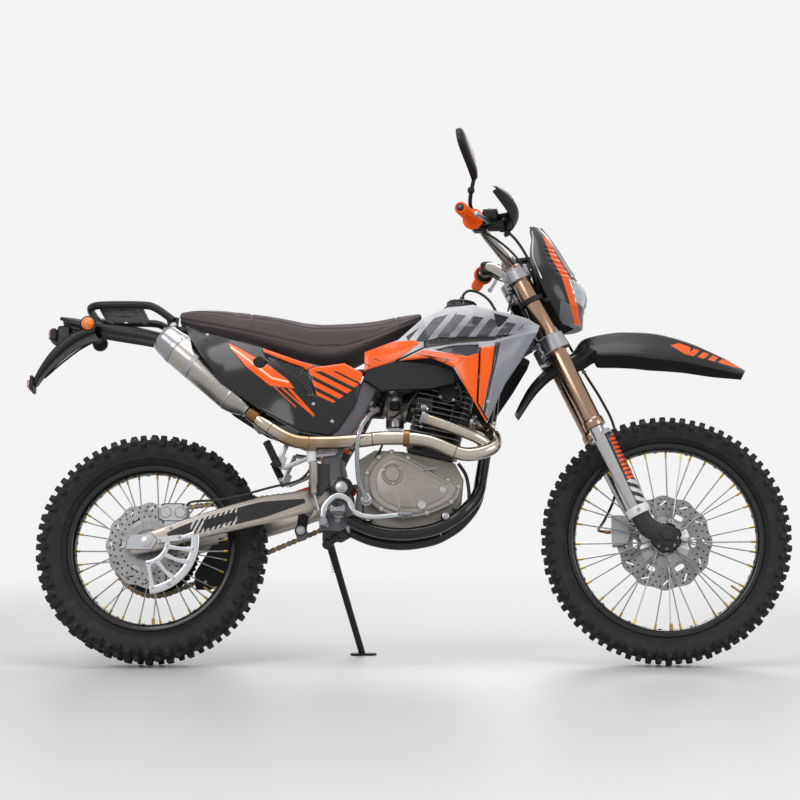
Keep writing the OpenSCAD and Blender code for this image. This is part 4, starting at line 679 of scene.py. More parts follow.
class BIKE_OT_stage(bpy.types.Operator):
    """Camera at the photographed angle, pale floor and soft studio light."""
    bl_idname = "bike.stage"
    bl_label = "Stage"

    LAMPS = (("key", (-2.4, -3.4, 3.4), 2.4, 74.0), ("fill", (3.2, -3.0, 2.0), 2.2, 40.0), ("rim", (0.6, 3.4, 3.0), 2.8, 70.0),
             ("top", (0.0, -0.4, 4.0), 2.6, 50.0))
    BACKDROP = 0.9

    def execute(self, context):
        scene = context.scene
        lens = bpy.data.cameras.new("camera")
        lens.lens, lens.sensor_width, lens.shift_y = 80.42, 36.0, 0.0576
        camera = bpy.data.objects.new("camera", lens)
        camera.location = (-0.025 - MIDDLE[0] / 1000, -4.9126 - MIDDLE[1] / 1000, 0.607)
        camera.rotation_euler = (math.pi / 2, 0, 0)
        scene.collection.objects.link(camera)
        scene.camera = camera
        scene.view_settings.view_transform = "Standard"
        for name, place, size, power in self.LAMPS:
            light = bpy.data.lights.new(name, "AREA")
            light.shape, light.size, light.energy = "DISK", size, power
            lamp = bpy.data.objects.new(name, light)
            lamp.location = place
            lamp.rotation_euler = (Vector((0, 0, 0.5)) - lamp.location).to_track_quat("-Z", "Y").to_euler()
            scene.collection.objects.link(lamp)
        world = bpy.data.worlds.new("studio")
        world.use_nodes = True
        scene.world = world
        tree = world.node_tree
        seen = self.seen_directly(tree)
        level = tree.nodes.new("ShaderNodeMapRange")
        tree.links.new(seen, level.inputs[0])
        level.inputs[3].default_value, level.inputs[4].default_value = 0.42, self.BACKDROP
        tree.nodes["Background"].inputs[0].default_value = (1, 1, 1, 1)
        tree.links.new(level.outputs[0], tree.nodes["Background"].inputs[1])
        self.floor(scene)
        return {"FINISHED"}

    @staticmethod
    def seen_directly(tree):
        """One for camera, mirror and glass rays, nought for those that light the bike."""
        path = tree.nodes.new("ShaderNodeLightPath")
        seen = path.outputs["Is Camera Ray"]
        for other in ("Is Glossy Ray", "Is Transmission Ray"):
            either = tree.nodes.new("ShaderNodeMath")
            either.operation = "MAXIMUM"
            tree.links.new(seen, either.inputs[0])
            tree.links.new(path.outputs[other], either.inputs[1])
            seen = either.outputs[0]
        return seen

    def floor(self, scene):
        """A flat round floor whose far part glows like the backdrop, so no horizon shows."""
        radii = np.linspace(0.0, 9.0, 10)[1:]
        rim = circle(96)
        points = np.concatenate([np.concatenate([rim * r, np.zeros((96, 1))], 1) for r in radii])
        faces = [tuple(range(96))]
        for k in range(len(radii) - 1):
            a = np.arange(96) + 96 * k
            faces += np.stack([a, a + 96, np.roll(a, -1) + 96, np.roll(a, -1)], -1).tolist()
        mesh = bpy.data.meshes.new("floor")
        mesh.from_pydata(points.tolist(), [], faces)
        plate = bpy.data.objects.new("floor", mesh)
        scene.collection.objects.link(plate)
        g = finish("floor_paint", (0.66, 0.66, 0.66), rough=(0.4, 0.5), tint=0.01, bump=0.02)
        away = g.node("ShaderNodeVectorMath", [g.coords.outputs["Object"]], operation="LENGTH").outputs[1]
        glow = g.node("ShaderNodeEmission", {"Strength": self.BACKDROP})
        fade = g.both(g.span(away, 1.7, 3.4), self.seen_directly(g.tree))
        g.set(g.out, "Surface", g.node("ShaderNodeMixShader", [fade, g.shader, glow]))
        mesh.materials.append(g.material)


class WheelOperator:
    """Tools that the wheel operators share."""

    @staticmethod
    def tyre(name, centre, half, rows, knobs, height, place, body):
        """The carcass is a profile turned about the axle; knob rows stand on it, tilted outwards at the shoulders."""
        half = np.asarray(half, float)
        section = curve(np.vstack([half, half[-2::-1] * (1, -1)]), 4)
        shape = Shape().spin(section, centre, Y_WAY, 0, 144, ends="joined")
        for y, r, tilt, phase, length, width in knobs:
            knob = Shape().block((0, 0, height / 2 - 2), (length, width, height + 4), chamfer=1.6, taper=0.86)
            angles = (np.arange(rows) + phase) * 2 * math.pi / rows
            out = np.stack([np.sin(angles), np.zeros(rows), np.cos(angles)], -1)
            along = np.stack([np.cos(angles), np.zeros(rows), -np.sin(angles)], -1)
            for side in BOTH:
                up = out * math.cos(math.radians(tilt)) + Y_WAY * side * math.sin(math.radians(tilt))
                shape.copies(knob, facing(centre + out * r + Y_WAY * y * side, along, up))
        return make_piece(name, shape, place, body, [LOOKS["rubber"]], [name], 38)

    @staticmethod
    def rim(name, centre, r, w, place, body, spokes):
        """A deep-section rim turned about the axle, with nipple seats, a valve and a rim lock."""
        h = w / 2
        half = [(r - 11, 0), (r - 11, h - 9), (r - 1.5, h - 4.5), (r, h - 3.5), (r + 1.4, h - 1.2), (r - 0.6, h), (r - 11, h - 0.4),
                (r - 15, h - 3), (r - 18, h - 8), (r - 21, 5), (r - 21.5, 0)]
        section = half + [(a, -b) for a, b in half[-2:0:-1]]
        shape = Shape().spin(section, centre, Y_WAY, 0, 144, ends="joined")
        angles = (np.arange(spokes) + 0.5) * 2 * math.pi / spokes
        seats = round_axle(centre, angles, r - 19, np.where(np.arange(spokes) % 2, 5.0, -5.0))
        shape.bars(seats, seats - unit(seats - centre) * 3.5, 5.2, 0, 10)
        for angle, radius, reach in ((2.2, 3.2, 34.0), (3.1, 5.0, 20.0)):
            a, b = round_axle(centre, [angle, angle], [r - 18, r - 18 - reach], [0, 0])
            shape.rod(a, b, radius, 1, 12)
        return make_piece(name, shape, place, body, [LOOKS["gloss_black"], LOOKS["brass"]], [name])

    @staticmethod
    def laced(shape, centre, flange_r, flange_y, rim_in, spokes):
        """Crossed spokes from both flanges, half leading and half trailing, each with a gold nipple at the rim."""
        i = np.arange(spokes // 2)
        for side in BOTH:
            a = 2 * math.pi * (i + (0.5 if side < 0 else 0.0)) / len(i)
            lead = np.where(i % 2 == 0, 1.0, -1.0)
            starts = round_axle(centre, a, flange_r, side * (flange_y + 2 * lead))
            ends = round_axle(centre, a + lead * math.radians(18.2), rim_in, np.full(len(i), side * 6.0))
            shape.bars(starts, ends, 1.9, 1, 8)
            shape.bars(starts + (ends - starts) * 0.93, ends + unit(ends - starts) * 3, 3.2, 2, 8)
            shape.bars(starts - Y_WAY * side * 3.5, starts + Y_WAY * side * 3.5, 3.4, 1, 8)

    @staticmethod
    def drilled(shape, centre, radii, count):
        """Dark plugs that show as the small holes of a drilled disc, in staggered rows: their black is painted shade in
        place of open holes.
        """
        for k, radius in enumerate(radii):
            a = (np.arange(count) + k / len(radii)) * 2 * math.pi / count
            spots = round_axle(centre, a, radius, np.zeros(count))
            shape.bars(spots - Y_WAY * 2.15, spots + Y_WAY * 2.15, 2.9, 3, 10)


class BIKE_OT_front_wheel(WheelOperator, bpy.types.Operator):
    """Front tyre with knobs, rim, laced hub with a scalloped cover, and the disc's carrier bolts."""
    bl_idname = "bike.front_wheel"
    bl_label = "Front wheel"

    PROFILE = ((270.5, 20), (274, 25), (283, 33), (286, 36), (289, 36.5), (305, 42.5), (317, 43), (326, 37), (332, 24), (334.3, 0))
    KNOBS = ((10, 333.4, 3, 0.0, 18, 16), (27, 329.6, 17, 0.5, 17, 15), (37, 321, 44, 0.0, 17, 17), (39.5, 314, 62, 0.5, 15, 15))

    def execute(self, context):
        look = context.scene.bike_look
        height = look.knob_height * 1000
        self.tyre("front_tyre", FRONT_CENTRE, self.PROFILE, look.front_rows, self.KNOBS, height, steered, "front_wheel")
        self.rim("front_rim", FRONT_CENTRE, 270, 50, steered, "front_wheel", look.spokes)
        hub = Shape()
        hub.spin([(11, -48), (27, -48), (30, -44), (37, -39), (38, -31), (28, -26), (24, -12), (24, 12), (28, 26), (38, 31),
                  (40, 34), (40, 40), (30, 46), (27, 54), (11, 54)], FRONT_CENTRE, Y_WAY, 0, 64)
        self.laced(hub, FRONT_CENTRE, 32, 35, 250, look.spokes)
        a = np.linspace(0, 2 * math.pi, 96, endpoint=False)
        cover = 1 - 0.09 * eased(np.cos(8 * a), 0.2, 1.0)
        hub.spin([(36, 0), (42, 2), (43, 9), (38, 14), (22, 17), (20, 12)], FRONT_CENTRE - Y_WAY * 44, -Y_WAY, 3, 96, cover)
        hub.bolts(round_axle(FRONT_CENTRE, np.arange(8) * math.pi / 4, 30, np.full(8, -58.5)), -Y_WAY, 6, 0, 3.5)
        self.drilled(hub, FRONT_CENTRE + Y_WAY * 62, (96, 112, 124), 36)
        hub.spin([(70, -2.5), (72, -1.5), (72, 1.5), (70, 2.5), (40, 2.5), (40, -2.5)], FRONT_CENTRE + Y_WAY * 59, Y_WAY, 0, 72,
                 1 - 0.1 * eased(np.cos(6 * np.linspace(0, 2 * math.pi, 72, endpoint=False)), 0.0, 1.0))
        hub.bolts(round_axle(FRONT_CENTRE, np.arange(6) * math.pi / 3, 62, np.full(6, 64)), Y_WAY, 9, 0, 4)
        make_piece("front_hub", hub, steered, "front_wheel",
                   [LOOKS[n] for n in ("silver", "spoke_steel", "gold", "gloss_black")], ["front_hub"])
        return {"FINISHED"}


class BIKE_OT_rear_wheel(WheelOperator, bpy.types.Operator):
    """Rear tyre with knobs, rim, laced hub and a toothed sprocket."""
    bl_idname = "bike.rear_wheel"
    bl_label = "Rear wheel"

    PROFILE = ((232.5, 27), (236, 32), (247, 42), (250, 46), (253, 46.5), (272, 54), (287, 55), (298, 49), (306, 32), (309.6, 0))
    KNOBS = ((15, 308.4, 3, 0.0, 19, 22), (38, 303.6, 18, 0.5, 18, 19), (49.5, 293, 44, 0.0, 18, 20), (52.5, 285, 62, 0.5, 16, 17))

    def execute(self, context):
        look = context.scene.bike_look
        height = look.knob_height * 1000
        self.tyre("rear_tyre", REAR_CENTRE, self.PROFILE, look.rear_rows, self.KNOBS, height, parked, "rear_wheel")
        self.rim("rear_rim", REAR_CENTRE, 232, 64, parked, "rear_wheel", look.spokes)
        hub = Shape()
        hub.spin([(11, -60), (26, -60), (30, -56), (46, -46), (48, -36), (34, -30), (28, -14), (28, 14), (34, 30), (48, 36),
                  (48, 44), (34, 52), (30, 72), (11, 72)], REAR_CENTRE, Y_WAY, 0, 64)
        self.laced(hub, REAR_CENTRE, 40, 41, 212, look.spokes)
        a = np.linspace(0, 2 * math.pi, 48 * 6, endpoint=False)
        teeth = 1 + 0.034 * eased(np.cos(48 * a), -0.4, 0.7)
        hub.spin([(62, -3), (118.5, -3), (118.5, 3), (62, 3)], REAR_CENTRE + Y_WAY * 78, Y_WAY, 3, 288, teeth)
        arms = 1 - 0.26 * eased(np.cos(6 * a), -0.2, 0.9)
        hub.spin([(30, -5), (88, -3.4), (88, -2.6), (30, -2.6)], REAR_CENTRE + Y_WAY * 78, Y_WAY, 0, 288, arms)
        hub.bolts(round_axle(REAR_CENTRE, np.arange(6) * math.pi / 3 + 0.52, 72, np.full(6, 81)), Y_WAY, 10, 1, 5)
        self.drilled(hub, REAR_CENTRE - Y_WAY * 68, (80, 96, 108), 32)
        hub.spin([(76, -2), (78, 0), (76, 2), (44, 2), (44, -2)], REAR_CENTRE - Y_WAY * 64, Y_WAY, 0, 72)
        hub.bolts(round_axle(REAR_CENTRE, np.arange(6) * math.pi / 3, 60, np.full(6, -66)), -Y_WAY, 9, 1, 4)
        make_piece("rear_hub", hub, parked, "rear_wheel",
                   [LOOKS[n] for n in ("silver", "spoke_steel", "gold", "gloss_black")], ["rear_hub"])
        return {"FINISHED"}


def relief(points, fields, edge=4.0):
    """Height at each (x, z) point: the sum of each field's height where the point is inside its outlines."""
    total = np.zeros(np.shape(points)[:-1])
    for outlines, height in fields:
        inside = np.max([distance_in(points, corners) for corners in outlines], axis=0)
        total += height * eased(inside, -edge / 2, edge / 2)
    return total


def ribbed(ribs, along, down, fields=(), lip=0.0):
    """A panel grid from ribs of (upper, lower, bulge): straight between ribs seen from the side, smooth seen
    from above, bowed out by bulge x sin(pi q) down each rib, plus the relief; lip rolls the outer edge in."""
    rows = np.array([[*top, *low, bulge] for top, low, bulge in ribs], float)
    u = np.linspace(0, 1, along)
    flat = read_off(rows, u)
    soft = read_off(curve(rows, 8), u)
    q = np.linspace(0, 1, down)[None, :, None]
    top, low = flat[:, None, 0:3] * (1, 0, 1), flat[:, None, 3:6] * (1, 0, 1)
    grid = top * (1 - q) + low * q
    y = soft[:, None, 1] * (1 - q[..., 0]) + soft[:, None, 4] * q[..., 0] + soft[:, None, 6] * np.sin(math.pi * q[..., 0])
    y = y + relief(grid[..., [0, 2]], fields)
    if lip:
        edge = np.minimum(np.minimum(u[:, None], 1 - u[:, None]) * 3.0, np.minimum(q[..., 0], 1 - q[..., 0]))
        y = y - lip * (1 - eased(edge, 0.0, 0.035))
    return grid + Y_WAY * y[..., None]


class BIKE_OT_shrouds(bpy.types.Operator):
    """Tank shrouds in relief, their lower covers and the tank with its ribbed cap and breather."""
    bl_idname = "bike.shrouds"
    bl_label = "Shrouds and tank"

    RIBS = (((-124, 122, 862), (-124, 128, 806), 2), ((-30, 118, 900), (-30, 138, 834), 6), ((40, 106, 968), (60, 158, 838), 14),
            ((110, 110, 998), (122, 174, 806), 20), ((180, 118, 1002), (168, 184, 722), 24), ((250, 144, 975), (212, 182, 646), 20),
            ((300, 170, 955), (262, 192, 754), 8), ((330, 186, 940), (308, 196, 822), 4), ((360, 196, 918), (352, 198, 896), 1))
    FIELDS = ((SHROUD_DART, -6.0), (SHROUD_WINDOW, -7.0), (SHROUD_MAIN, 2.0), (SHROUD_STRIP, 5.0), (SHROUD_GROOVE, -4.0),
              (SHROUD_BORDER, -3.0), ([[(-190, 775), (-32, 837), (30, 881), (14, 893), (-70, 893), (-190, 880)]], 2.5),
              ([[(20, 960), (60, 945), (240, 925), (350, 915), (350, 930), (202, 984), (132, 1010), (80, 990)]], -2.5))
    HOOPS = ((-60, 50, 902, 878), (-20, 72, 928, 872), (34, 90, 966, 866), (52, 93, 990, 866), (90, 100, 1006, 866),
             (160, 104, 1014, 876), (215, 96, 1000, 905), (246, 74, 974, 930))

    def execute(self, context):
        shape = Shape()
        grid = ribbed(self.RIBS, 170, 84, self.FIELDS, 2.5)
        cover = [(-118, 808), (-29, 834), (73, 822), (130, 806), (128, 770), (60, 752), (-80, 748), (-128, 780)]
        for side in BOTH:
            shape.sheet(on_side(grid, side), on_side(grid - Y_WAY * 4, side), 0, 1)
            shape.slab(cover[::-1], side * 122, side * 140, 1, 4)
            shape.slab([(250, 905), (352, 900), (356, 912), (300, 948), (236, 965)], side * 150, side * 160, 1, 2)
            for x, z, y in ((130, 964, 150), (216, 704, 186), (233, 643, 183)):
                shape.bolts([on_side((x, y + 1, z), side)], Y_WAY * side, 8, 2, 4.5)
        make_piece("shrouds", shape, parked, "frame", [LOOKS[n] for n in ("shroud_graphics", "matt_plastic", "silver")],
                   ["shrouds"], 40)
        tank = Shape()
        rows = curve(np.array(self.HOOPS, float), 8)
        c = rounded(2, 2, 2.6, 48)
        tank.add(np.stack([np.stack([np.full(48, x), w * c[:, 0], (t + b) / 2 + (t - b) / 2 * c[:, 1]], -1) for x, w, t, b in rows]), 0)
        up = unit(np.array([math.sin(math.radians(4)), 0, math.cos(math.radians(4))]))
        a = np.linspace(0, 2 * math.pi, 96, endpoint=False)
        foot = np.array([150.0, 0, 1004])
        tank.spin([(52, 0), (52, 14), (48, 20), (40, 21)], foot, up, 0, 72)
        tank.spin([(43, 20), (43.5, 23), (43.5, 34), (41, 38), (36, 39), (30, 42), (12, 43)], foot, up, 1, 96,
                  1 - 0.05 * eased(np.cos(16 * a), 0.1, 0.6))
        tank.rod(foot + up * 40, foot + up * 56, 7, 1, 16)
        tank.tube([foot + up * 54, foot + up * 68 + (6, 2, 0), (176, 8, 1082), (204, 12, 1076), (232, 8, 1052), (252, 4, 1016)], 4, 2, 10)
        for side in BOTH:
            tank.bolts([(112, side * 62, 1003), (190, side * 58, 1002)], Z_WAY, 9, 3, 5)
        make_piece("fuel_tank", tank, parked, "frame", [LOOKS[n] for n in ("matt_plastic", "gloss_black", "hose_rubber", "silver")],
                   ["fuel_tank"], 36)
        return {"FINISHED"}


class BIKE_OT_side_panels(bpy.types.Operator):
    """Rear side panels in relief, with their vents, recess, crease and bolts."""
    bl_idname = "bike.side_panels"
    bl_label = "Side panels"

    RIBS = (((-632, 104, 946), (-628, 106, 936), 0), ((-573, 114, 924), (-590, 198, 862), 2), ((-480, 124, 898), (-518, 206, 758), 10),
            ((-406, 124, 876), (-413, 182, 686), 8), ((-300, 122, 838), (-300, 126, 634), 8), ((-240, 122, 822), (-222, 124, 622), 6),
            ((-180, 124, 830), (-196, 124, 640), 3), ((-128, 128, 800), (-150, 128, 712), 2))
    FIELDS = ((PANEL_STRIPE, 2.0), (PANEL_VENT, -5.0), (PANEL_FRONT, 3.0), ([[(-431, 826), (-413, 808), (-395, 826), (-413, 844)]], -7.0),
              ([[(-518, 740), (-462, 736), (-369, 697), (-276, 650), (-190, 600), (-360, 600), (-518, 690)]], -5.0),
              ([[(-490, 866), (-440, 806), (-378, 756), (-300, 700), (-262, 650), (-320, 690), (-400, 745), (-490, 800)]], 2.5))

    def execute(self, context):
        shape = Shape()
        grid = ribbed(self.RIBS, 170, 76, self.FIELDS, 2.5)
        for side in BOTH:
            shape.sheet(on_side(grid, side), on_side(grid - Y_WAY * 4, side), 0, 1)
            for x, z, y in ((-264, 711, 133), (-212, 662, 130), (-560, 905, 148)):
                shape.bolts([on_side((x, y, z), side)], Y_WAY * side, 7, 2, 4)
            shape.spin([(15, 0), (14, 2.5), (11, 2.5), (10, 0.5), (7, 0.5), (6, 3)], on_side((-413, 150, 826), side), Y_WAY * side, 1, 24)
        make_piece("side_panels", shape, parked, "frame", [LOOKS[n] for n in ("panel_graphics", "matt_plastic", "silver")],
                   ["side_panels"], 40)
        return {"FINISHED"}


class BIKE_OT_seat(bpy.types.Operator):
    """Padded seat: a crowned closed form swelled by a cloth simulation, with sewn seams."""
    bl_idname = "bike.seat"
    bl_label = "Seat"

    HOOPS = ((-648, 64, 1000, 964), (-600, 86, 1001, 940), (-540, 96, 996, 922), (-480, 103, 989, 906), (-380, 111, 975, 878),
             (-266, 111, 955, 848), (-180, 103, 957, 853), (-100, 87, 966, 892), (-30, 68, 983, 936), (36, 48, 1001, 974))

    def execute(self, context):
        look = context.scene.bike_look
        rows = curve(np.array(self.HOOPS, float), 8)
        c = rounded(2, 2, 3.2, 64)
        rings = []
        for x, w, top, bottom in rows:
            crown = 5.0 * (1 - c[:, 0] ** 2) * (c[:, 1] > 0)
            rings.append(np.stack([np.full(64, x), w * c[:, 0], (top + bottom) / 2 - 1 + (top - bottom) / 2 * c[:, 1] + crown * 0.6], -1))
        shape = Shape().add(np.array(rings), 0)
        seat = make_piece("seat", shape, parked, "frame", [LOOKS["seat_cover"]], ["seat"], 60)
        self.swell(context, seat, look.seat_puff)
        self.sew(seat)
        return {"FINISHED"}

    def swell(self, context, seat, most):
        """Cloth under pressure on an even remesh, its movement held to `most` and fading out at the seat's base."""
        scene = context.scene
        remesh = seat.modifiers.new("remesh", "REMESH")
        remesh.mode, remesh.voxel_size = "VOXEL", 0.006
        even = bpy.data.meshes.new_from_object(seat.evaluated_get(context.evaluated_depsgraph_get()))
        seat.modifiers.clear()
        before = np.empty(len(even.vertices) * 3)
        even.vertices.foreach_get("co", before)
        before = before.reshape(-1, 3)
        seat.data = even
        upright = turned(before * 1000 + MIDDLE, X_WAY, LEAN)
        x, low = np.array([h[0] for h in self.HOOPS], float), np.array([h[3] for h in self.HOOPS], float)
        above = upright[:, 2] - np.interp(upright[:, 0], x, low)
        held = seat.vertex_groups.new(name="held")
        held.add(np.flatnonzero(above < 14.0).tolist(), 1.0, "REPLACE")
        cloth = seat.modifiers.new("cloth", "CLOTH")
        cloth.settings.use_pressure = True
        cloth.settings.uniform_pressure_force = 4.0
        cloth.settings.vertex_group_mass = "held"
        cloth.settings.tension_stiffness = cloth.settings.compression_stiffness = 12.0
        cloth.settings.effector_weights.gravity = 0.0
        cloth.point_cache.frame_start, cloth.point_cache.frame_end = 1, 20
        for number in range(1, 21):
            scene.frame_set(number)
        swollen = bpy.data.meshes.new_from_object(seat.evaluated_get(context.evaluated_depsgraph_get()))
        seat.modifiers.clear()
        scene.frame_set(1)
        after = np.empty(len(swollen.vertices) * 3)
        swollen.vertices.foreach_get("co", after)
        move = after.reshape(-1, 3) - before
        length = np.linalg.norm(move, axis=1, keepdims=True)
        move *= np.minimum(1.0, most / np.maximum(length, 1e-9)) * eased(above, 4.0, 30.0)[:, None]
        even.vertices.foreach_set("co", (before + move).ravel())
        even.update()
        finer = seat.modifiers.new("finer", "SUBSURF")
        finer.levels = finer.render_levels = 1
        smooth = bpy.data.meshes.new_from_object(seat.evaluated_get(context.evaluated_depsgraph_get()))
        seat.modifiers.clear()
        seat.data = smooth
        smooth.polygons.foreach_set("use_smooth", np.ones(len(smooth.polygons), bool))
        if not len(smooth.materials):
            smooth.materials.append(LOOKS["seat_cover"])

    def sew(self, seat):
        """Grooves of 2 to 3 mm where panels of the cover are joined, each with a small welt beside it."""
        mesh = seat.data
        co, normal = np.empty(len(mesh.vertices) * 3), np.empty(len(mesh.vertices) * 3)
        mesh.vertices.foreach_get("co", co)
        mesh.vertices.foreach_get("normal", normal)
        co, normal = co.reshape(-1, 3), normal.reshape(-1, 3)
        p = turned(co * 1000 + MIDDLE, X_WAY, LEAN)
        rows = np.array(self.HOOPS, float)
        wide, top, low = (np.interp(p[:, 0], rows[:, 0], rows[:, k]) for k in (1, 2, 3))
        side = np.abs(np.abs(p[:, 1]) - wide * 0.8)
        rim = np.abs(p[:, 2] - (low + (top - low) * 0.34))
        upper = p[:, 2] > low + (top - low) * 0.6
        outer = np.abs(p[:, 1]) > wide * 0.75
        sew = np.where(upper, side, np.where(outer, rim, 99.0))
        for x in (-40.0, -452.0):
            sew = np.minimum(sew, np.where(p[:, 2] > low + (top - low) * 0.34, np.abs(p[:, 0] - x - 0.12 * np.abs(p[:, 1])), 99.0))
        depth = -3.0 * (1 - eased(sew, 0.0, 4.5)) + 0.9 * eased(sew, 3.0, 6.0) * (1 - eased(sew, 7.0, 12.0))
        mesh.vertices.foreach_set("co", (co + normal * depth[:, None] * 0.001).ravel())
        mesh.update()


def arched(stations, thickness, across=25, plateau=0.0, wave=0.0, per_span=6):
    """A fender: stations of (x, z, half width, edge drop) on a smooth line, dropped by q squared towards the edges,
    with a raised plateau in the middle third; returns the upper and the lower grid."""
    s = curve(np.array(stations, float), per_span)
    line = np.stack([s[:, 0], np.zeros(len(s)), s[:, 1]], -1)
    d = unit(np.gradient(line, axis=0))
    up = np.stack([-d[:, 2], np.zeros(len(s)), d[:, 0]], -1)
    up *= np.where(up[:, 2:] < 0, -1.0, 1.0)
    q = np.linspace(-1, 1, across)
    ends = np.minimum(1.0, np.minimum(np.arange(len(s)), len(s) - 1 - np.arange(len(s))) / 5.0)[:, None]
    drop = s[:, 3:4] * q ** 2 - plateau * ends * (1 - eased(np.abs(q), 0.34, 0.48)) + wave * ends * np.exp(-((np.abs(q) - 0.8) / 0.08) ** 2)
    top = line[:, None] + Y_WAY * (s[:, 2:3] * q)[..., None] - up[:, None] * drop[..., None]
    return top, top - up[:, None] * thickness


class BIKE_OT_fenders(bpy.types.Operator):
    """Front and rear fenders, the tail with its plate arm, and the round and square lamps."""
    bl_idname = "bike.fenders"
    bl_label = "Fenders and tail"

    FRONT = ((300, 715, 52, 8), (350, 795, 58, 12), (408, 852, 64, 16), (466, 884, 74, 34), (502, 926, 82, 62), (573, 943, 84, 76),
             (640, 944, 84, 80), (711, 936, 80, 82), (795, 908, 72, 66), (880, 866, 58, 42), (951, 828, 34, 16))
    REAR = ((-990, 998, 34, 8), (-950, 988, 52, 12), (-880, 976, 66, 14), (-760, 958, 76, 14), (-640, 929, 68, 10))
    ARM = ((-896, 954, 44, 15), (-950, 932, 41, 17), (-1000, 890, 36, 15), (-1038, 844, 27, 11), (-1064, 800, 19, 7))

    def execute(self, context):
        front = Shape()
        top, low = arched(self.FRONT, 4.0, 33, 5.0, -2.5)
        front.sheet(top, low, 0, 1)
        for side in BOTH:
            legs = [on_head(885, CLAMP_OFFSET - 2, side * 40, -23.5), on_head(885, CLAMP_OFFSET - 2, side * 40, -46)]
            front.rod(*legs, 9, 1, 16)
        make_piece("front_fender", front, steered, "steering", [LOOKS[n] for n in ("fender_graphics", "matt_plastic", "silver")],
                   ["front_fender"], 40)
        rear = Shape()
        top, low = arched(self.REAR, 9.0, 25, 4.0, -2.0)
        rear.sheet(top, low, 0)
        arm = curve(np.array(self.ARM, float), 6)
        line = np.stack([arm[:, 0], np.zeros(len(arm)), arm[:, 1]], -1)
        rear.add(carried(line, rounded(2, 2, 4.0, 24), up=Y_WAY, grow=arm[:, [3, 2]]), 0)
        rear.block((-982, 0, 936), (38, 62, 62), 0, chamfer=5)
        rear.block((-1069, 0, 800), (10, 56, 42), 1, chamfer=2)
        rear.tube([(-905, 30, 936), (-948, 34, 912), (-1000, 30, 868), (-1040, 16, 824)], 3, 1, 8)
        for side in BOTH:
            rear.rod((-900, side * 36, 952), (-900, side * 92, 950), 8, 1, 16)
            rear.bolts([(-690, side * 58, 946), (-800, side * 62, 962)], Z_WAY, 10, 2, 5)
        make_piece("rear_fender", rear, parked, "frame", [LOOKS[n] for n in ("satin_black", "matt_plastic", "silver")],
                   ["rear_fender"], 36)
        lamps = Shape()
        lamps.block((-1011, 0, 941), (20, 66, 36), 2, chamfer=5)
        lamps.block((-1022, 0, 941), (6, 58, 28), 1, chamfer=2)
        lamps.block((-1078.5, 0, 799), (8, 42, 22), 1, chamfer=2)
        for side in BOTH:
            at = on_side((-900, 94, 950), side)
            lamps.spin([(15, 0), (22, 4), (22.5, 13), (20, 15), (18.6, 13)], at, Y_WAY * side, 2, 36)
            lamps.spin([(18.4, 11), (18, 18), (15, 24), (9, 29), (3, 31)], at, Y_WAY * side, 0, 32)
        make_piece("tail_lamps", lamps, parked, "frame", [LOOKS[n] for n in ("amber_lens", "red_lens", "matt_plastic")], ["tail_lamps"])
        return {"FINISHED"}


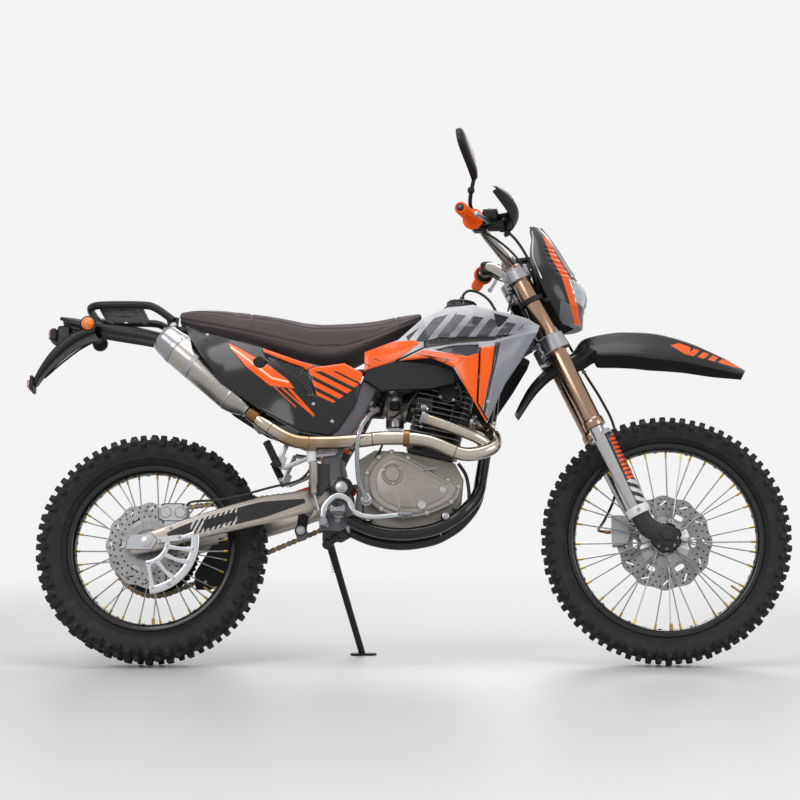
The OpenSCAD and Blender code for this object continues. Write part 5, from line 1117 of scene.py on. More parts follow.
class BIKE_OT_mask(bpy.types.Operator):
    """Headlight mask with a ridge and louvres, its lens and reflector, and two short stalks at its sides."""
    bl_idname = "bike.mask"
    bl_label = "Mask and headlight"

    RINGS = ((1262, 350, 380, 22), (1220, 356, 412, 60), (1150, 352, 452, 104), (1090, 372, 486, 122), (1020, 404, 500, 112),
             (962, 440, 498, 70))

    def ring(self, z, angles, inset=0.0):
        """An elliptic rib at a height: x from rear towards front by cosine, y by sine, with a ridge at its middle."""
        rows = curve(np.array(self.RINGS, float), 8)[::-1]
        rear, front, half = (np.interp(z, rows[:, 0], rows[:, k]) for k in (1, 2, 3))
        ridge = 7.0 * np.exp(-(angles / 0.2) ** 2) * eased(z, 1095, 1125) + 3.0 * np.exp(-((np.abs(angles) - 1.1) / 0.12) ** 2)
        x = rear + (front - rear - inset + ridge) * np.cos(angles)
        return np.stack([x, (half - inset) * np.sin(angles), np.full(len(angles), z)], -1)

    def execute(self, context):
        shape = Shape()
        a = np.linspace(-math.pi / 2, math.pi / 2, 61)
        heights = np.linspace(1262, 962, 64)
        outer = np.array([self.ring(z, a) for z in heights])
        inner = np.array([self.ring(z, a, 5.0) for z in heights])
        z, turn = outer[..., 2], np.abs(a)[None, :]
        louvre = eased(np.cos((z - 1120) / 17 * 2 * math.pi), -0.2, 0.5) * (z > 1100) * (z < 1190) * (turn > 0.55) * (turn < 1.05)
        frame_edge = np.exp(-((z - 1098) / 5.0) ** 2) + np.exp(-((z - 1012) / 5.0) ** 2)
        outer[..., 0] += -6.0 * louvre + 4.0 * frame_edge * (turn < 0.95)
        shape.sheet(outer, inner, 0, 1)
        for side in BOTH:
            shape.spin([(36, -6), (36, 6), (28, 6), (28, -6)], on_head(1008, CLAMP_OFFSET, side * FORK_Y), STEER_UP, 1, 32, ends="joined")
            shape.rod((392, side * 106, 1022), (411, side * 109, 1020), 7, 1, 12)
            edge = [self.ring(h, np.array([side * 1.5]))[0] + (1, side * 1.5, 0) for h in np.linspace(1240, 1080, 9)]
            shape.tube(edge, 2.6, 2, 8, 1)
        make_piece("headlight_mask", shape, steered, "steering", [LOOKS[n] for n in ("mask_graphics", "matt_plastic", "silver")],
                   ["headlight_mask"], 40)
        lens = Shape()
        b = np.linspace(-0.68, 0.68, 33)
        rows = np.linspace(1090, 1020, 22)
        swell = np.sin(np.linspace(0, math.pi, 22))[:, None] ** 0.5 * np.cos(b / 0.68 * math.pi / 2)[None] ** 0.5
        base = np.array([self.ring(z, b) for z in rows])
        lens.sheet(base + X_WAY * (3 + 13 * swell)[..., None], base + X_WAY * (1 + 11 * swell)[..., None], 0)
        lens.sheet(base + X_WAY * 1.2, base - X_WAY * (0.5 + 3 * swell)[..., None], 1)
        lens.spin([(24, 0), (22, 3), (14, 5), (6, 9)], self.ring(1056, np.array([0.0]))[0] + X_WAY * 0.6, X_WAY, 1, 32)
        make_piece("headlight", lens, steered, "steering", [LOOKS["clear_lens"], LOOKS["reflector"]], ["headlight"], 50)
        return {"FINISHED"}


class BIKE_OT_fork(bpy.types.Operator):
    """Clamps with pinch bolts, fork tubes, sliders with cast feet, guards, axle, caliper and hose."""
    bl_idname = "bike.fork"
    bl_label = "Fork"

    HOSE = ((258, -250, 1203), (302, -214, 1184), (334, -178, 1150), (361, -134, 1104), (380, -88, 1056), (404, -30, 1000),
            (458, 70, 930), (500, 116, 860), (548, 128, 780), (584, 140, 700), (592, 148, 600), (582, 146, 500), (552, 128, 430),
            (532, 92, 396), (545, 66, 386), (566.7, 62, 384))

    def execute(self, context):
        self.clamps()
        tubes, legs, guards = Shape(), Shape(), Shape()
        axle_z = FRONT_CENTRE[2]
        for side in BOTH:
            top = on_head(1084, CLAMP_OFFSET, side * FORK_Y)
            tubes.spin([(24, -484), (30, -484.5), (31, -482), (31, -466), (29, -461), (27.4, -459), (27, -455), (27, -262), (26.3, -260),
                        (26.3, -230), (27, -228), (27, 20), (25.5, 25), (22, 26)], top, STEER_UP, 0, 56)
            tubes.spin([(21, 25), (21, 29), (18, 31), (6, 31)], top, STEER_UP, 1, 8)
            tubes.rod(top + STEER_UP * 30, top + STEER_UP * 37, 7, 2, 16)
            foot = on_head(axle_z, CLAMP_OFFSET, side * FORK_Y)
            legs.rod(on_head(646, CLAMP_OFFSET, side * FORK_Y, -0.5), foot + STEER_UP * 30, 21, 1, 40)
            wheel = FRONT_CENTRE + Y_WAY * side * 98
            legs.add(carried(curve([foot + STEER_UP * 70, foot + STEER_UP * 34, foot + STEER_AHEAD * 8 + STEER_UP * 6, wheel], 5),
                             rounded(2, 2, 3.0, 28), up=Y_WAY, grow=read_off([(24, 23), (26, 23), (27, 21), (25, 20)], np.linspace(0, 1, 16))), 0)
            legs.spin([(10.5, -20), (25, -20), (27, -18), (27, 18), (25, 20), (10.5, 20)], wheel, Y_WAY, 0, 40, ends="joined")
            legs.bolts([foot + STEER_AHEAD * 6 + STEER_UP * h - Y_WAY * side * 4 - STEER_AHEAD * 30 for h in (-2, 22)], -STEER_AHEAD, 9, 1, 6)
            base = foot + STEER_UP * 58
            h, a = np.linspace(0, 1, 40)[:, None], np.linspace(-130, 50, 41)[None] * math.pi / 180 * (1 if side < 0 else -1)
            lift = 250 * h - 26 * h * np.abs(np.sin((a - a.mean()) * 0.9)) ** 2
            rib = 1.6 * np.exp(-((h - 0.5) / 0.03) ** 2) + 1.6 * np.exp(-((h - 0.92) / 0.02) ** 2) + 1.2 * (np.cos(a * 6) > 0.6) * (h > 0.1)
            shell = [base + STEER_AHEAD * ((r + 4 * h) * np.cos(a))[..., None] + Y_WAY * ((r + 4 * h) * np.sin(a))[..., None]
                     + STEER_UP * lift[..., None] for r in (30.5 + rib, 26.0)]
            guards.sheet(shell[0], shell[1], 0, 1)
            guards.spin([(21.3, -4), (31, -4), (33, 0), (33, 16), (31, 20), (21.3, 20)], base, STEER_UP, 2, 48, ends="joined")
            guards.bolts([base + STEER_UP * 8 + Y_WAY * side * 32], Y_WAY * side, 8, 3, 4)
        make_piece("fork_tubes", tubes, steered, "steering", [LOOKS[n] for n in ("bronze_tube", "machined", "orange_plastic")],
                   ["fork_tubes"])
        make_piece("fork_legs", legs, steered, "steering", [LOOKS[n] for n in ("cast_dark", "bright_silver")], ["fork_legs"])
        make_piece("fork_guards", guards, steered, "steering",
                   [LOOKS[n] for n in ("guard_graphics", "matt_plastic", "white_plastic", "silver")], ["fork_guards"])
        axle = Shape().rod(FRONT_CENTRE - Y_WAY * 129, FRONT_CENTRE + Y_WAY * 129, 10, 1, 24)
        for side in BOTH:
            axle.bolts([FRONT_CENTRE + Y_WAY * side * 118.3], Y_WAY * side, 30, 0, 12.5, 1.25)
        make_piece("front_axle", axle, steered, "steering", [LOOKS["cast_dark"], LOOKS["bright_silver"]], ["front_axle"])
        grip = Shape()
        cast = [(569, -10), (600, -10), (616, 0), (620, 20), (616, 34), (620, 48), (616, 68), (600, 78), (569, 78)]
        cast = [(x, axle_z + z) for x, z in cast]
        grip.slab(cast, 42, 58, 0, 4)
        grip.slab(cast, 67, 77, 0, 4)
        grip.block((577, 60, axle_z + 34), (18, 34, 80), 0, chamfer=5)
        for z in (12, 56):
            grip.spin([(18, 0), (18, 3), (15.5, 5), (13, 3), (4, 3)], (599, 76.6, axle_z + z), Y_WAY, 1, 32)
        grip.bolts([(576, 77, axle_z + z) for z in (-2, 34, 70)], Y_WAY, 9, 1, 4)
        grip.tube([(566, 62, 384), (556, 62, 384), (548, 64, 386)], 5.5, 1, 12)
        make_piece("front_caliper", grip, steered, "steering", [LOOKS["silver"], LOOKS["bronze_clamp"]], ["front_caliper"])
        hose = Shape().tube(self.HOSE, 4, 0, 12)
        for point in (self.HOSE[7], self.HOSE[10]):
            hose.spin([(6, -5), (7, -4), (7, 4), (6, 5)], point, (0.1, 0.05, -1), 1, 16)
        make_piece("brake_hose", hose, steered, "steering", [LOOKS["hose_rubber"], LOOKS["silver"]], ["brake_hose"])
        return {"FINISHED"}

    def clamps(self):
        shape = Shape()
        for z, h in ((885, 46), (1084, 34)):
            shape.spin([(12, -h / 2), (28, -h / 2), (30, 3 - h / 2), (30, h / 2 - 3), (28, h / 2), (12, h / 2)], on_head(z), STEER_UP, 0, 48)
            for side in BOTH:
                at = on_head(z, CLAMP_OFFSET, side * FORK_Y)
                shape.spin([(27.3, -h / 2), (36, -h / 2), (38, 2 - h / 2), (38, h / 2 - 2), (36, h / 2), (27.3, h / 2)], at, STEER_UP, 0, 56,
                           ends="joined")
                arm = [on_head(z, 8, side * 6), on_head(z, 14, side * 40), on_head(z, 22, side * 72)]
                shape.add(carried(curve(arm, 4), rounded(2, 2, 5.0, 24), up=STEER_UP, grow=read_off([(31, h / 2), (24, h / 2 - 4), (26, h / 2 - 2)],
                                                                                                 np.linspace(0, 1, 9))), 0)
                shape.block(on_head(z, CLAMP_OFFSET - 36, side * (FORK_Y - 6)), (18, 28, h - 6), 0, x=STEER_AHEAD, y=Y_WAY, chamfer=3)
                shape.bolts([on_head(z, CLAMP_OFFSET - 37, side * (FORK_Y + 8), up) for up in ((-12, 12) if h > 40 else (0,))],
                            Y_WAY * side, 9, 1, 7)
        shape.rod(on_head(885), on_head(1084), 15, 1)
        shape.bolts([on_head(1084, 0, 0, 17)], STEER_UP, 30, 1, 12)
        for side in BOTH:
            shape.rod(on_head(1084, 18, side * 46, 14), on_head(1084, 18, side * 46, 44), 16, 0, 32)
            shape.spin([(14.3, -17), (22, -17), (24, -15), (24, 15), (22, 17), (14.3, 17)], (293, side * 46, 1138), Y_WAY, 1, 40, ends="joined")
            shape.bolts([(293 + dx, side * 46 + dy, 1160) for dx in (-9, 9) for dy in (-9, 9)], Z_WAY, 8, 1, 5)
        make_piece("triple_clamps", shape, steered, "steering", [LOOKS["silver"], LOOKS["machined"]], ["triple_clamps"])


class BIKE_OT_bars(bpy.types.Operator):
    """Handlebar, ribbed grips, perches, levers, reservoir, switches, instrument, hand guards, cables and mirror."""
    bl_idname = "bike.bars"
    bl_label = "Bar set"

    END, KNEE = (175.0, 410.0, 1204.0), (218.0, 222.0, 1209.0)
    FOOT = np.array([201.0, -313.0, 1312.0])
    OUTLINE = ((-4, 0), (-6, 58), (20, 78), (120, 72), (150, 56), (152, 24), (130, 8), (40, 2))

    def on_bar(self, side, t, ahead=0.0, up=0.0):
        a, b = on_side(self.END, side), on_side(self.KNEE, side)
        return a + unit(b - a) * t + X_WAY * ahead + Z_WAY * up

    def execute(self, context):
        bar = Shape()
        half = [self.END, self.on_bar(1, 90), self.KNEE, (232, 170, 1198), (266, 118, 1166), (293, 74, 1138), (293, 0, 1138)]
        path = [np.array(p, float) for p in half] + [flipped(p) for p in half[-2::-1]]
        bar.tube(path, (11, 11, 11.5, 13, 14, 14, 14, 14, 14, 13, 11.5, 11, 11), 0, 24, 6)
        for t in (-20, 20):
            bar.tube([(293, t - 6, 1138), (293, t + 6, 1138)], 14.6, 1, 32, 1)
        make_piece("handlebar", bar, steered, "steering", [LOOKS["champagne"], LOOKS["machined"]], ["handlebar"])
        grips, controls = Shape(), Shape()
        for side in BOTH:
            way = unit(self.on_bar(side, 100) - self.on_bar(side, 0))
            rows = [(11, -3), (14, -3), (16, 0)]
            for k in range(18):
                rows += [(17, 3 + k * 6), (17, 6.4 + k * 6), (15.6, 7.4 + k * 6), (15.6, 8.4 + k * 6)]
            rows += [(18, 113), (27, 117), (29, 119), (29, 123), (27, 125), (11.3, 125)]
            grips.spin(rows, self.on_bar(side, 0), way, 0, 48)
            grips.spin([(8, -6), (10, -5), (10.6, -2), (10.6, 2)], self.on_bar(side, 0), way, 1, 24)
            self.perch(controls, side, way)
        make_piece("grips", grips, steered, "steering", [LOOKS["orange_rubber"], LOOKS["gloss_black"]], ["grips"])
        self.cockpit(controls)
        make_piece("controls", controls, steered, "steering",
                   [LOOKS[n] for n in ("satin_black", "silver", "orange_plastic", "amber_lens", "hose_rubber", "mirror_glass", "guard_edge")],
                   ["controls"])
        self.mirror()
        return {"FINISHED"}

    def perch(self, shape, side, way):
        """A clamp ring, a flat curved lever with a ball end, a switch box and a crescent guard."""
        shape.spin([(11.4, 131), (24, 131), (25, 133), (25, 136), (13, 138), (11.4, 138)], self.on_bar(side, 0), way, 0, 40, ends="joined")
        shape.spin([(11.4, 142), (17, 142), (18, 144), (18, 164), (17, 166), (11.4, 166)], self.on_bar(side, 0), way, 0, 32, ends="joined")
        lever = curve([self.on_bar(side, 160, 14, -2), self.on_bar(side, 138, 38, -6), self.on_bar(side, 80, 43, -12), self.on_bar(side, 14, 40, -16)], 8)
        shape.add(carried(lever, rounded(2, 2, 3, 16), up=Z_WAY, grow=read_off([(8, 6), (6, 5), (5, 5), (4.5, 5), (5.5, 5.5)], np.linspace(0, 1, len(lever)))), 1)
        shape.spin([(1, -8), (5, -7), (7.5, -3), (7.5, 3), (5, 7), (1, 8)], self.on_bar(side, 12, 40, -16), way, 1, 20)
        shape.block(self.on_bar(side, 152, 22, -1), (30, 24, 18), 0, chamfer=4)
        shape.bolts([self.on_bar(side, 152, 24, 8)], Z_WAY, 9, 1, 4)
        shape.block(self.on_bar(side, 186), (40, 34, 42), 0, chamfer=7)
        shape.spin([(7, 0), (6.5, 4), (4, 5)], self.on_bar(side, 190, -19, 4), -X_WAY, 2, 20)
        shape.spin([(4.5, 0), (4, 4), (2, 5)], self.on_bar(side, 180, -19, -10), -X_WAY, 3, 16)
        t, q = np.linspace(0, 1, 34)[:, None], np.linspace(0, 1, 17)[None]
        wide = 46 * np.sin(math.pi * (0.1 + 0.86 * t)) ** 0.8 + 3
        centre = self.on_bar(side, 0)[None, None] + way * (205 - 175 * t)[..., None] + X_WAY * (34 + 80 * np.sin(math.pi * (0.08 + 0.72 * t)))[..., None]
        outer = centre + Z_WAY * (-4 + 62 * t ** 2.2 + wide * (1.3 * q - 0.6))[..., None] + X_WAY * (14 * np.sin(math.pi * q) + 0 * t)[..., None]
        shape.sheet(outer, outer - X_WAY * 3.5, 0)
        rim = outer[:, -1] + Z_WAY * 0.5
        shape.tube(rim[1:-1], 3.2, 6, 8, 1)
        shape.rod(self.on_bar(side, 200), self.on_bar(side, 200, 36, 4), 7, 0, 12)
        shape.block(self.on_bar(side, 166, 52, -6), (58, 30, 34), 0, chamfer=9)
        shape.tube([self.on_bar(side, 158, 30, 10), self.on_bar(side, 150, 66, 14), self.on_bar(side, 120, 96, 10)], 7, 0, 14)
        shape.tube([self.on_bar(side, 168, 60, -18), self.on_bar(side, 176, 84, -26), self.on_bar(side, 180, 70, -34)], 6, 0, 14)
        shape.bolts([self.on_bar(side, 160, 52 + d, 10) for d in (-14, 12)], Z_WAY, 10, 1, 4)

    def cockpit(self, shape):
        """Brake reservoir with its lid, the instrument on its post, and the cables that pass the head."""
        shape.block(self.on_bar(-1, 150, 40, 16), (44, 36, 26), 0, chamfer=5)
        shape.block(self.on_bar(-1, 150, 40, 30), (40, 32, 4), 1, chamfer=1.5)
        shape.bolts([self.on_bar(-1, 150 + d, 40, 32) for d in (-11, 11)], Z_WAY, 6, 0, 2)
        shape.rod(self.on_bar(-1, 150, 12, 8), self.on_bar(-1, 150, 26, 12), 8, 0, 14)
        post = on_head(1084, 42, 0, 17.3)
        shape.rod(post, post + STEER_UP * 40, 6, 0, 16)
        tilt = math.radians(20)
        ahead, up = turned(STEER_AHEAD, Y_WAY, tilt), turned(STEER_UP, Y_WAY, tilt)
        dial = on_head(1084, 37, 0, 55) + ahead * 31
        shape.block(dial + up * 7, (62, 84, 16), 0, x=ahead, y=Y_WAY, chamfer=5)
        shape.block(dial + up * 15.3, (44, 64, 2), 5, x=ahead, y=Y_WAY, chamfer=0.8)
        shape.block((318, -26, 1106), (34, 60, 24), 0, chamfer=4)
        for path, r in (([(214, -225, 1196), (262, -196, 1176), (318, -150, 1132), (352, -96, 1070), (356, -58, 1010), (330, -34, 960)], 3.4),
                        ([(214, 225, 1196), (266, 196, 1172), (322, 150, 1126), (356, 96, 1062), (352, 58, 1000), (324, 34, 952)], 3.4),
                        ([(224, -215, 1186), (270, -166, 1150), (312, -96, 1124), (322, -40, 1104), (300, -30, 1062), (286, -34, 1010)], 2.8),
                        ([(224, 215, 1186), (276, 156, 1146), (322, 80, 1122), (330, 30, 1102), (304, 26, 1050), (290, 34, 1000)], 2.8)):
            shape.tube(path, r, 4, 10)

    def mirror(self):
        """Mirror head: its outline smoothed and carried forwards, with the glass set in at the back, on its stem."""
        out = unit(np.array([-0.204, -0.909, 0.364]))
        up = np.array([-0.116, 0.391, 0.913])
        up = unit(up - out * (up @ out))
        ahead = np.cross(up, out)
        outline = curve(np.array(self.OUTLINE, float), 5, closed=True)
        middle = np.array([72.0, 36.0])
        rings = [self.FOOT + out * q[:, :1] + up * q[:, 1:] + ahead * d for d, s in
                 ((2.4, 0.9), (0.4, 0.93), (0.0, 0.97), (1.0, 1.0), (12, 1.0), (17, 0.93), (21, 0.76), (22, 0.4))
                 for q in [middle + (outline - middle) * s]]
        shape = Shape().add(rings, 0)
        q = middle + (outline - middle) * 0.895
        shape.add([self.FOOT + out * q[:, :1] + up * q[:, 1:] + ahead * d for d in (1.0, 3.2)], 1)
        stem = [self.on_bar(-1, 150) + (0, -4, 21.5), self.FOOT + (-6, 36, -65), self.FOOT + (-4, 16, -35), self.FOOT + up * 8 + ahead * 8]
        shape.tube(stem, 5.6, 0, 16)
        shape.bolts([self.on_bar(-1, 150) + (0, -4, 18)], Z_WAY, 14, 2, 10, 1.2)
        shape.spin([(6, -8), (9, -5), (10, 0), (9, 6), (6, 9)], self.FOOT + (-3, 12, -26), unit(self.FOOT - stem[1]), 0, 20)
        make_piece("mirror", shape, steered, "steering", [LOOKS[n] for n in ("satin_black", "mirror_glass", "silver")], ["mirror"], 40)


def on_cylinder(points):
    """Points drawn about the cylinder's foot with its axis along Z, leaned forwards with it."""
    return turned(points, Y_WAY, math.radians(13)) + (58.0, 0.0, 575.0)


CYLINDER_UP, CYLINDER_AHEAD = turned(Z_WAY, Y_WAY, math.radians(13)), turned(X_WAY, Y_WAY, math.radians(13))


class BIKE_OT_engine(bpy.types.Operator):
    """Crankcases with layered covers, ribs and bolts, the finned cylinder and head, and the carburettor."""
    bl_idname = "bike.engine"
    bl_label = "Engine"

    CASE = ((-138, 412), (-150, 440), (-146, 470), (-140, 520), (-140, 568), (-95, 596), (-18, 592.5), (128, 559), (152, 512),
            (146, 448), (112, 406), (60, 380), (-60, 380), (-118, 392))
    COVER = ((-121, 524), (-88, 570), (-51, 586), (-4, 568), (60, 535), (112, 503), (142, 484), (120, 440), (50, 408), (-18, 400),
             (-80, 420), (-118, 460))

    def execute(self, context):
        self.cases()
        self.cylinder()
        self.carburettor()
        return {"FINISHED"}

    def cases(self):
        shape = Shape()
        shape.slab(self.CASE, -63, 69, 0, 4)
        outline = curve(np.array(self.COVER, float), 5, closed=True)
        middle = np.array([8.0, 488.0])

        def shrunk(share):
            return middle + (outline - middle) * share

        shape.slab(shrunk(1.0), -62, -70, 0, 1.5)
        shape.slab(shrunk(0.965), -70, -96, 0, 2)
        shape.slab(shrunk(1.0), -96, -104, 0, 1.5)
        shape.slab(shrunk(0.9), -104, -112, 0, 4)
        shape.slab(shrunk(0.74), -111, -116.5, 0, 4)
        rim = shrunk(0.952)[::5]
        for x, z in rim:
            shape.spin([(8, 0), (8, 7), (6.5, 8.5)], (x, -98, z), -Y_WAY, 0, 20)
        shape.bolts([(x, -105.5, z) for x, z in rim], -Y_WAY, 8, 1, 4)
        boss = np.array([-46.0, 0, 517])
        shape.spin([(31, 0), (30, 5), (27, 7), (26, 7), (25, 4.5), (22, 4.5), (20, 8), (8, 8)], boss - Y_WAY * 113, -Y_WAY, 0, 48)
        shape.bolts([boss + (26 * math.cos(a), -119, 26 * math.sin(a)) for a in (0.6, 2.7, 4.8)], -Y_WAY, 6, 1, 3)
        for a in np.radians([-78, -54, -32, -12, 8]):
            way = np.array([math.cos(a), 0, math.sin(a)])
            start, end = boss + way * 40, boss + way * (92 + 34 * math.cos(a))
            shape.add(carried([start - Y_WAY * 115, end - Y_WAY * 114.5], rounded(6, 5, 3, 12), up=Y_WAY), 0)
        for at, r in (((-118, 447), 17), ((34, 432), 13), ((92, 476), 11)):
            shape.spin([(r, 0), (r, 4), (r - 2, 6), (r - 5, 6), (r - 6, 4), (3, 4)], (at[0], -107 if r == 17 else -113, at[1]), -Y_WAY, 1, 32)
        shape.spin([(68, 0), (68, 18), (64, 26), (56, 28), (54, 35), (48, 38), (20, 39)], (60, 68, 478), Y_WAY, 0, 64)
        shape.bolts([(60 + 62 * math.cos(a), 94, 478 + 62 * math.sin(a)) for a in np.radians(np.arange(20, 380, 45))], Y_WAY, 8, 1, 5)
        shape.slab([(-140, 450), (-60, 430), (-40, 560), (-120, 566), (-142, 520)], 68, 84, 0, 5)
        shape.rod((-110, 60, 424), (-110, 116, 424), 13, 1, 24)
        for x in np.linspace(-80, 90, 8):
            shape.add(carried([(x, -60, 381), (x, 66, 381)], rounded(6, 10, 3, 12), up=Z_WAY), 0)
        shape.bolts([(10, 0, 376)], -Z_WAY, 18, 1, 8)
        shape.tube([(118, -88, 424), (150, -84, 420), (166, -70, 452), (160, -58, 520), (138, -50, 560)], 5, 2, 10)
        make_piece("engine_cases", shape, parked, "frame", [LOOKS[n] for n in ("cast_grey", "bright_silver", "hose_rubber")],
                   ["engine_cases"])

    def cylinder(self):
        shape = Shape()
        shape.spin([(58, 8), (58, 214)], (58, 0, 575), CYLINDER_UP, 1, 48)
        shape.block(on_cylinder((0, 0, 9)), (130, 122, 17), 1, x=CYLINDER_AHEAD, y=Y_WAY, chamfer=3)
        for k in range(12):
            cut = 18 if k < 6 else 0
            z = 30 + k * 184 / 12
            c = rounded(168 - cut, 176 - cut, 7.0, 64)
            wave = 1 - 0.012 * (np.cos(np.arange(64) * 2 * math.pi / 64 * 8) > 0.6)
            rings = [on_cylinder(np.column_stack([c * s * wave[:, None], np.full(64, z + h)])) for h, s in ((0, 0.97), (0.4, 0.996), (1.5, 1), (2.6, 0.996), (3, 0.97))]
            shape.add(rings, 0)
        for x in (-62, -34, 34, 62):
            for y in (-70, 70):
                shape.rod(on_cylinder((x, y, 112)), on_cylinder((x, y, 200)), 5.5, 1, 12)
        shape.block(on_cylinder((0, 0, 216)), (120, 122, 18), 1, x=CYLINDER_AHEAD, y=Y_WAY, chamfer=4)
        for x in (-38, 38):
            shape.rod(on_cylinder((x, -46, 222)), on_cylinder((x, 46, 222)), 19, 1, 28, 4)
            shape.bolts([on_cylinder((x, y, 236)) for y in (-38, 38)], CYLINDER_UP, 9, 2, 5)
        shape.bolts([on_cylinder((x, y, 224)) for x in (-54, 54) for y in (-54, 54)], CYLINDER_UP, 11, 2, 6)
        shape.spin([(30, -4), (30, 2), (24, 3), (22, 1), (12, 1)], on_cylinder((10, -86, 188)), -Y_WAY, 1, 36)
        shape.bolts([on_cylinder((10 + 26 * math.cos(a), -88, 188 + 26 * math.sin(a))) for a in (0.8, 2.35, 3.9, 5.5)], -Y_WAY, 7, 2, 4)
        shape.rod(on_cylinder((-90, 14, 125)), on_cylinder((-30, 14, 125)), 23, 1, 32)
        shape.rod(on_cylinder((30, -44, 125)), on_cylinder((90, -44, 125)), 26, 1, 32)
        plug = on_cylinder((40, -78, 150))
        shape.rod(plug, plug + (10, -30, 8), 8, 3, 16)
        shape.tube([plug + (10, -30, 8), plug + (14, -42, 30), plug + (-4, -46, 66), (60, -80, 800), (20, -70, 826)], 3.6, 3, 10)
        make_piece("cylinder", shape, parked, "frame", [LOOKS[n] for n in ("fins", "cast_dark", "silver", "hose_rubber")], ["cylinder"])

    def carburettor(self):
        shape = Shape()
        a, b = on_cylinder((-90.5, 14, 125)), on_cylinder((-160, 14, 125))
        way = unit(b - a)
        shape.spin([(26, 0), (28, 2), (28, 12), (24, 15), (24, 24), (30, 27), (30, 52), (24, 56), (24, 66), (27, 70)], a, way, 0, 40)
        shape.block(a + way * 40 + (0, 0, 2), (48, 54, 70), 0, chamfer=6)
        shape.spin([(22, -54), (26, -50), (26, -26), (20, -20)], a + way * 38, Z_WAY, 1, 32)
        shape.spin([(26, 20), (29, 26), (29, 58), (24, 66), (10, 68)], a + way * 38, Z_WAY, 1, 32)
        shape.bolts([a + way * 38 + (22 * math.cos(t), 22 * math.sin(t), 66) for t in (0.8, 2.3, 3.9, 5.5)], Z_WAY, 6, 2, 3)
        shape.block(a + way * 38 + (0, -38, 6), (30, 16, 26), 2, chamfer=4)
        shape.tube([(-70, 20, 731), (-112, 32, 736), (-148, 46, 740), (-230, 46, 745), (-305, 34, 748)], (26, 27, 24, 24, 26), 3, 24)
        for k in range(5):
            shape.spin([(27.5, -2), (28.5, 0), (27.5, 2)], (-150 - k * 16, 46, 740.5 + k * 1.0), X_WAY, 3, 32)
        shape.block((-370, 0, 738), (140, 132, 140), 3, chamfer=12)
        shape.tube([(-52, -22, 700), (-40, -70, 690), (0, -96, 720), (40, -92, 790), (60, -70, 840)], 3.4, 3, 10)
        shape.tube([(-66, -14, 660), (-76, -50, 610), (-96, -84, 560), (-124, -92, 470), (-126, -92, 400)], 3.2, 3, 10)
        make_piece("carburettor", shape, parked, "frame", [LOOKS[n] for n in ("cast_grey", "silver", "cast_dark", "hose_rubber")],
                   ["carburettor"])


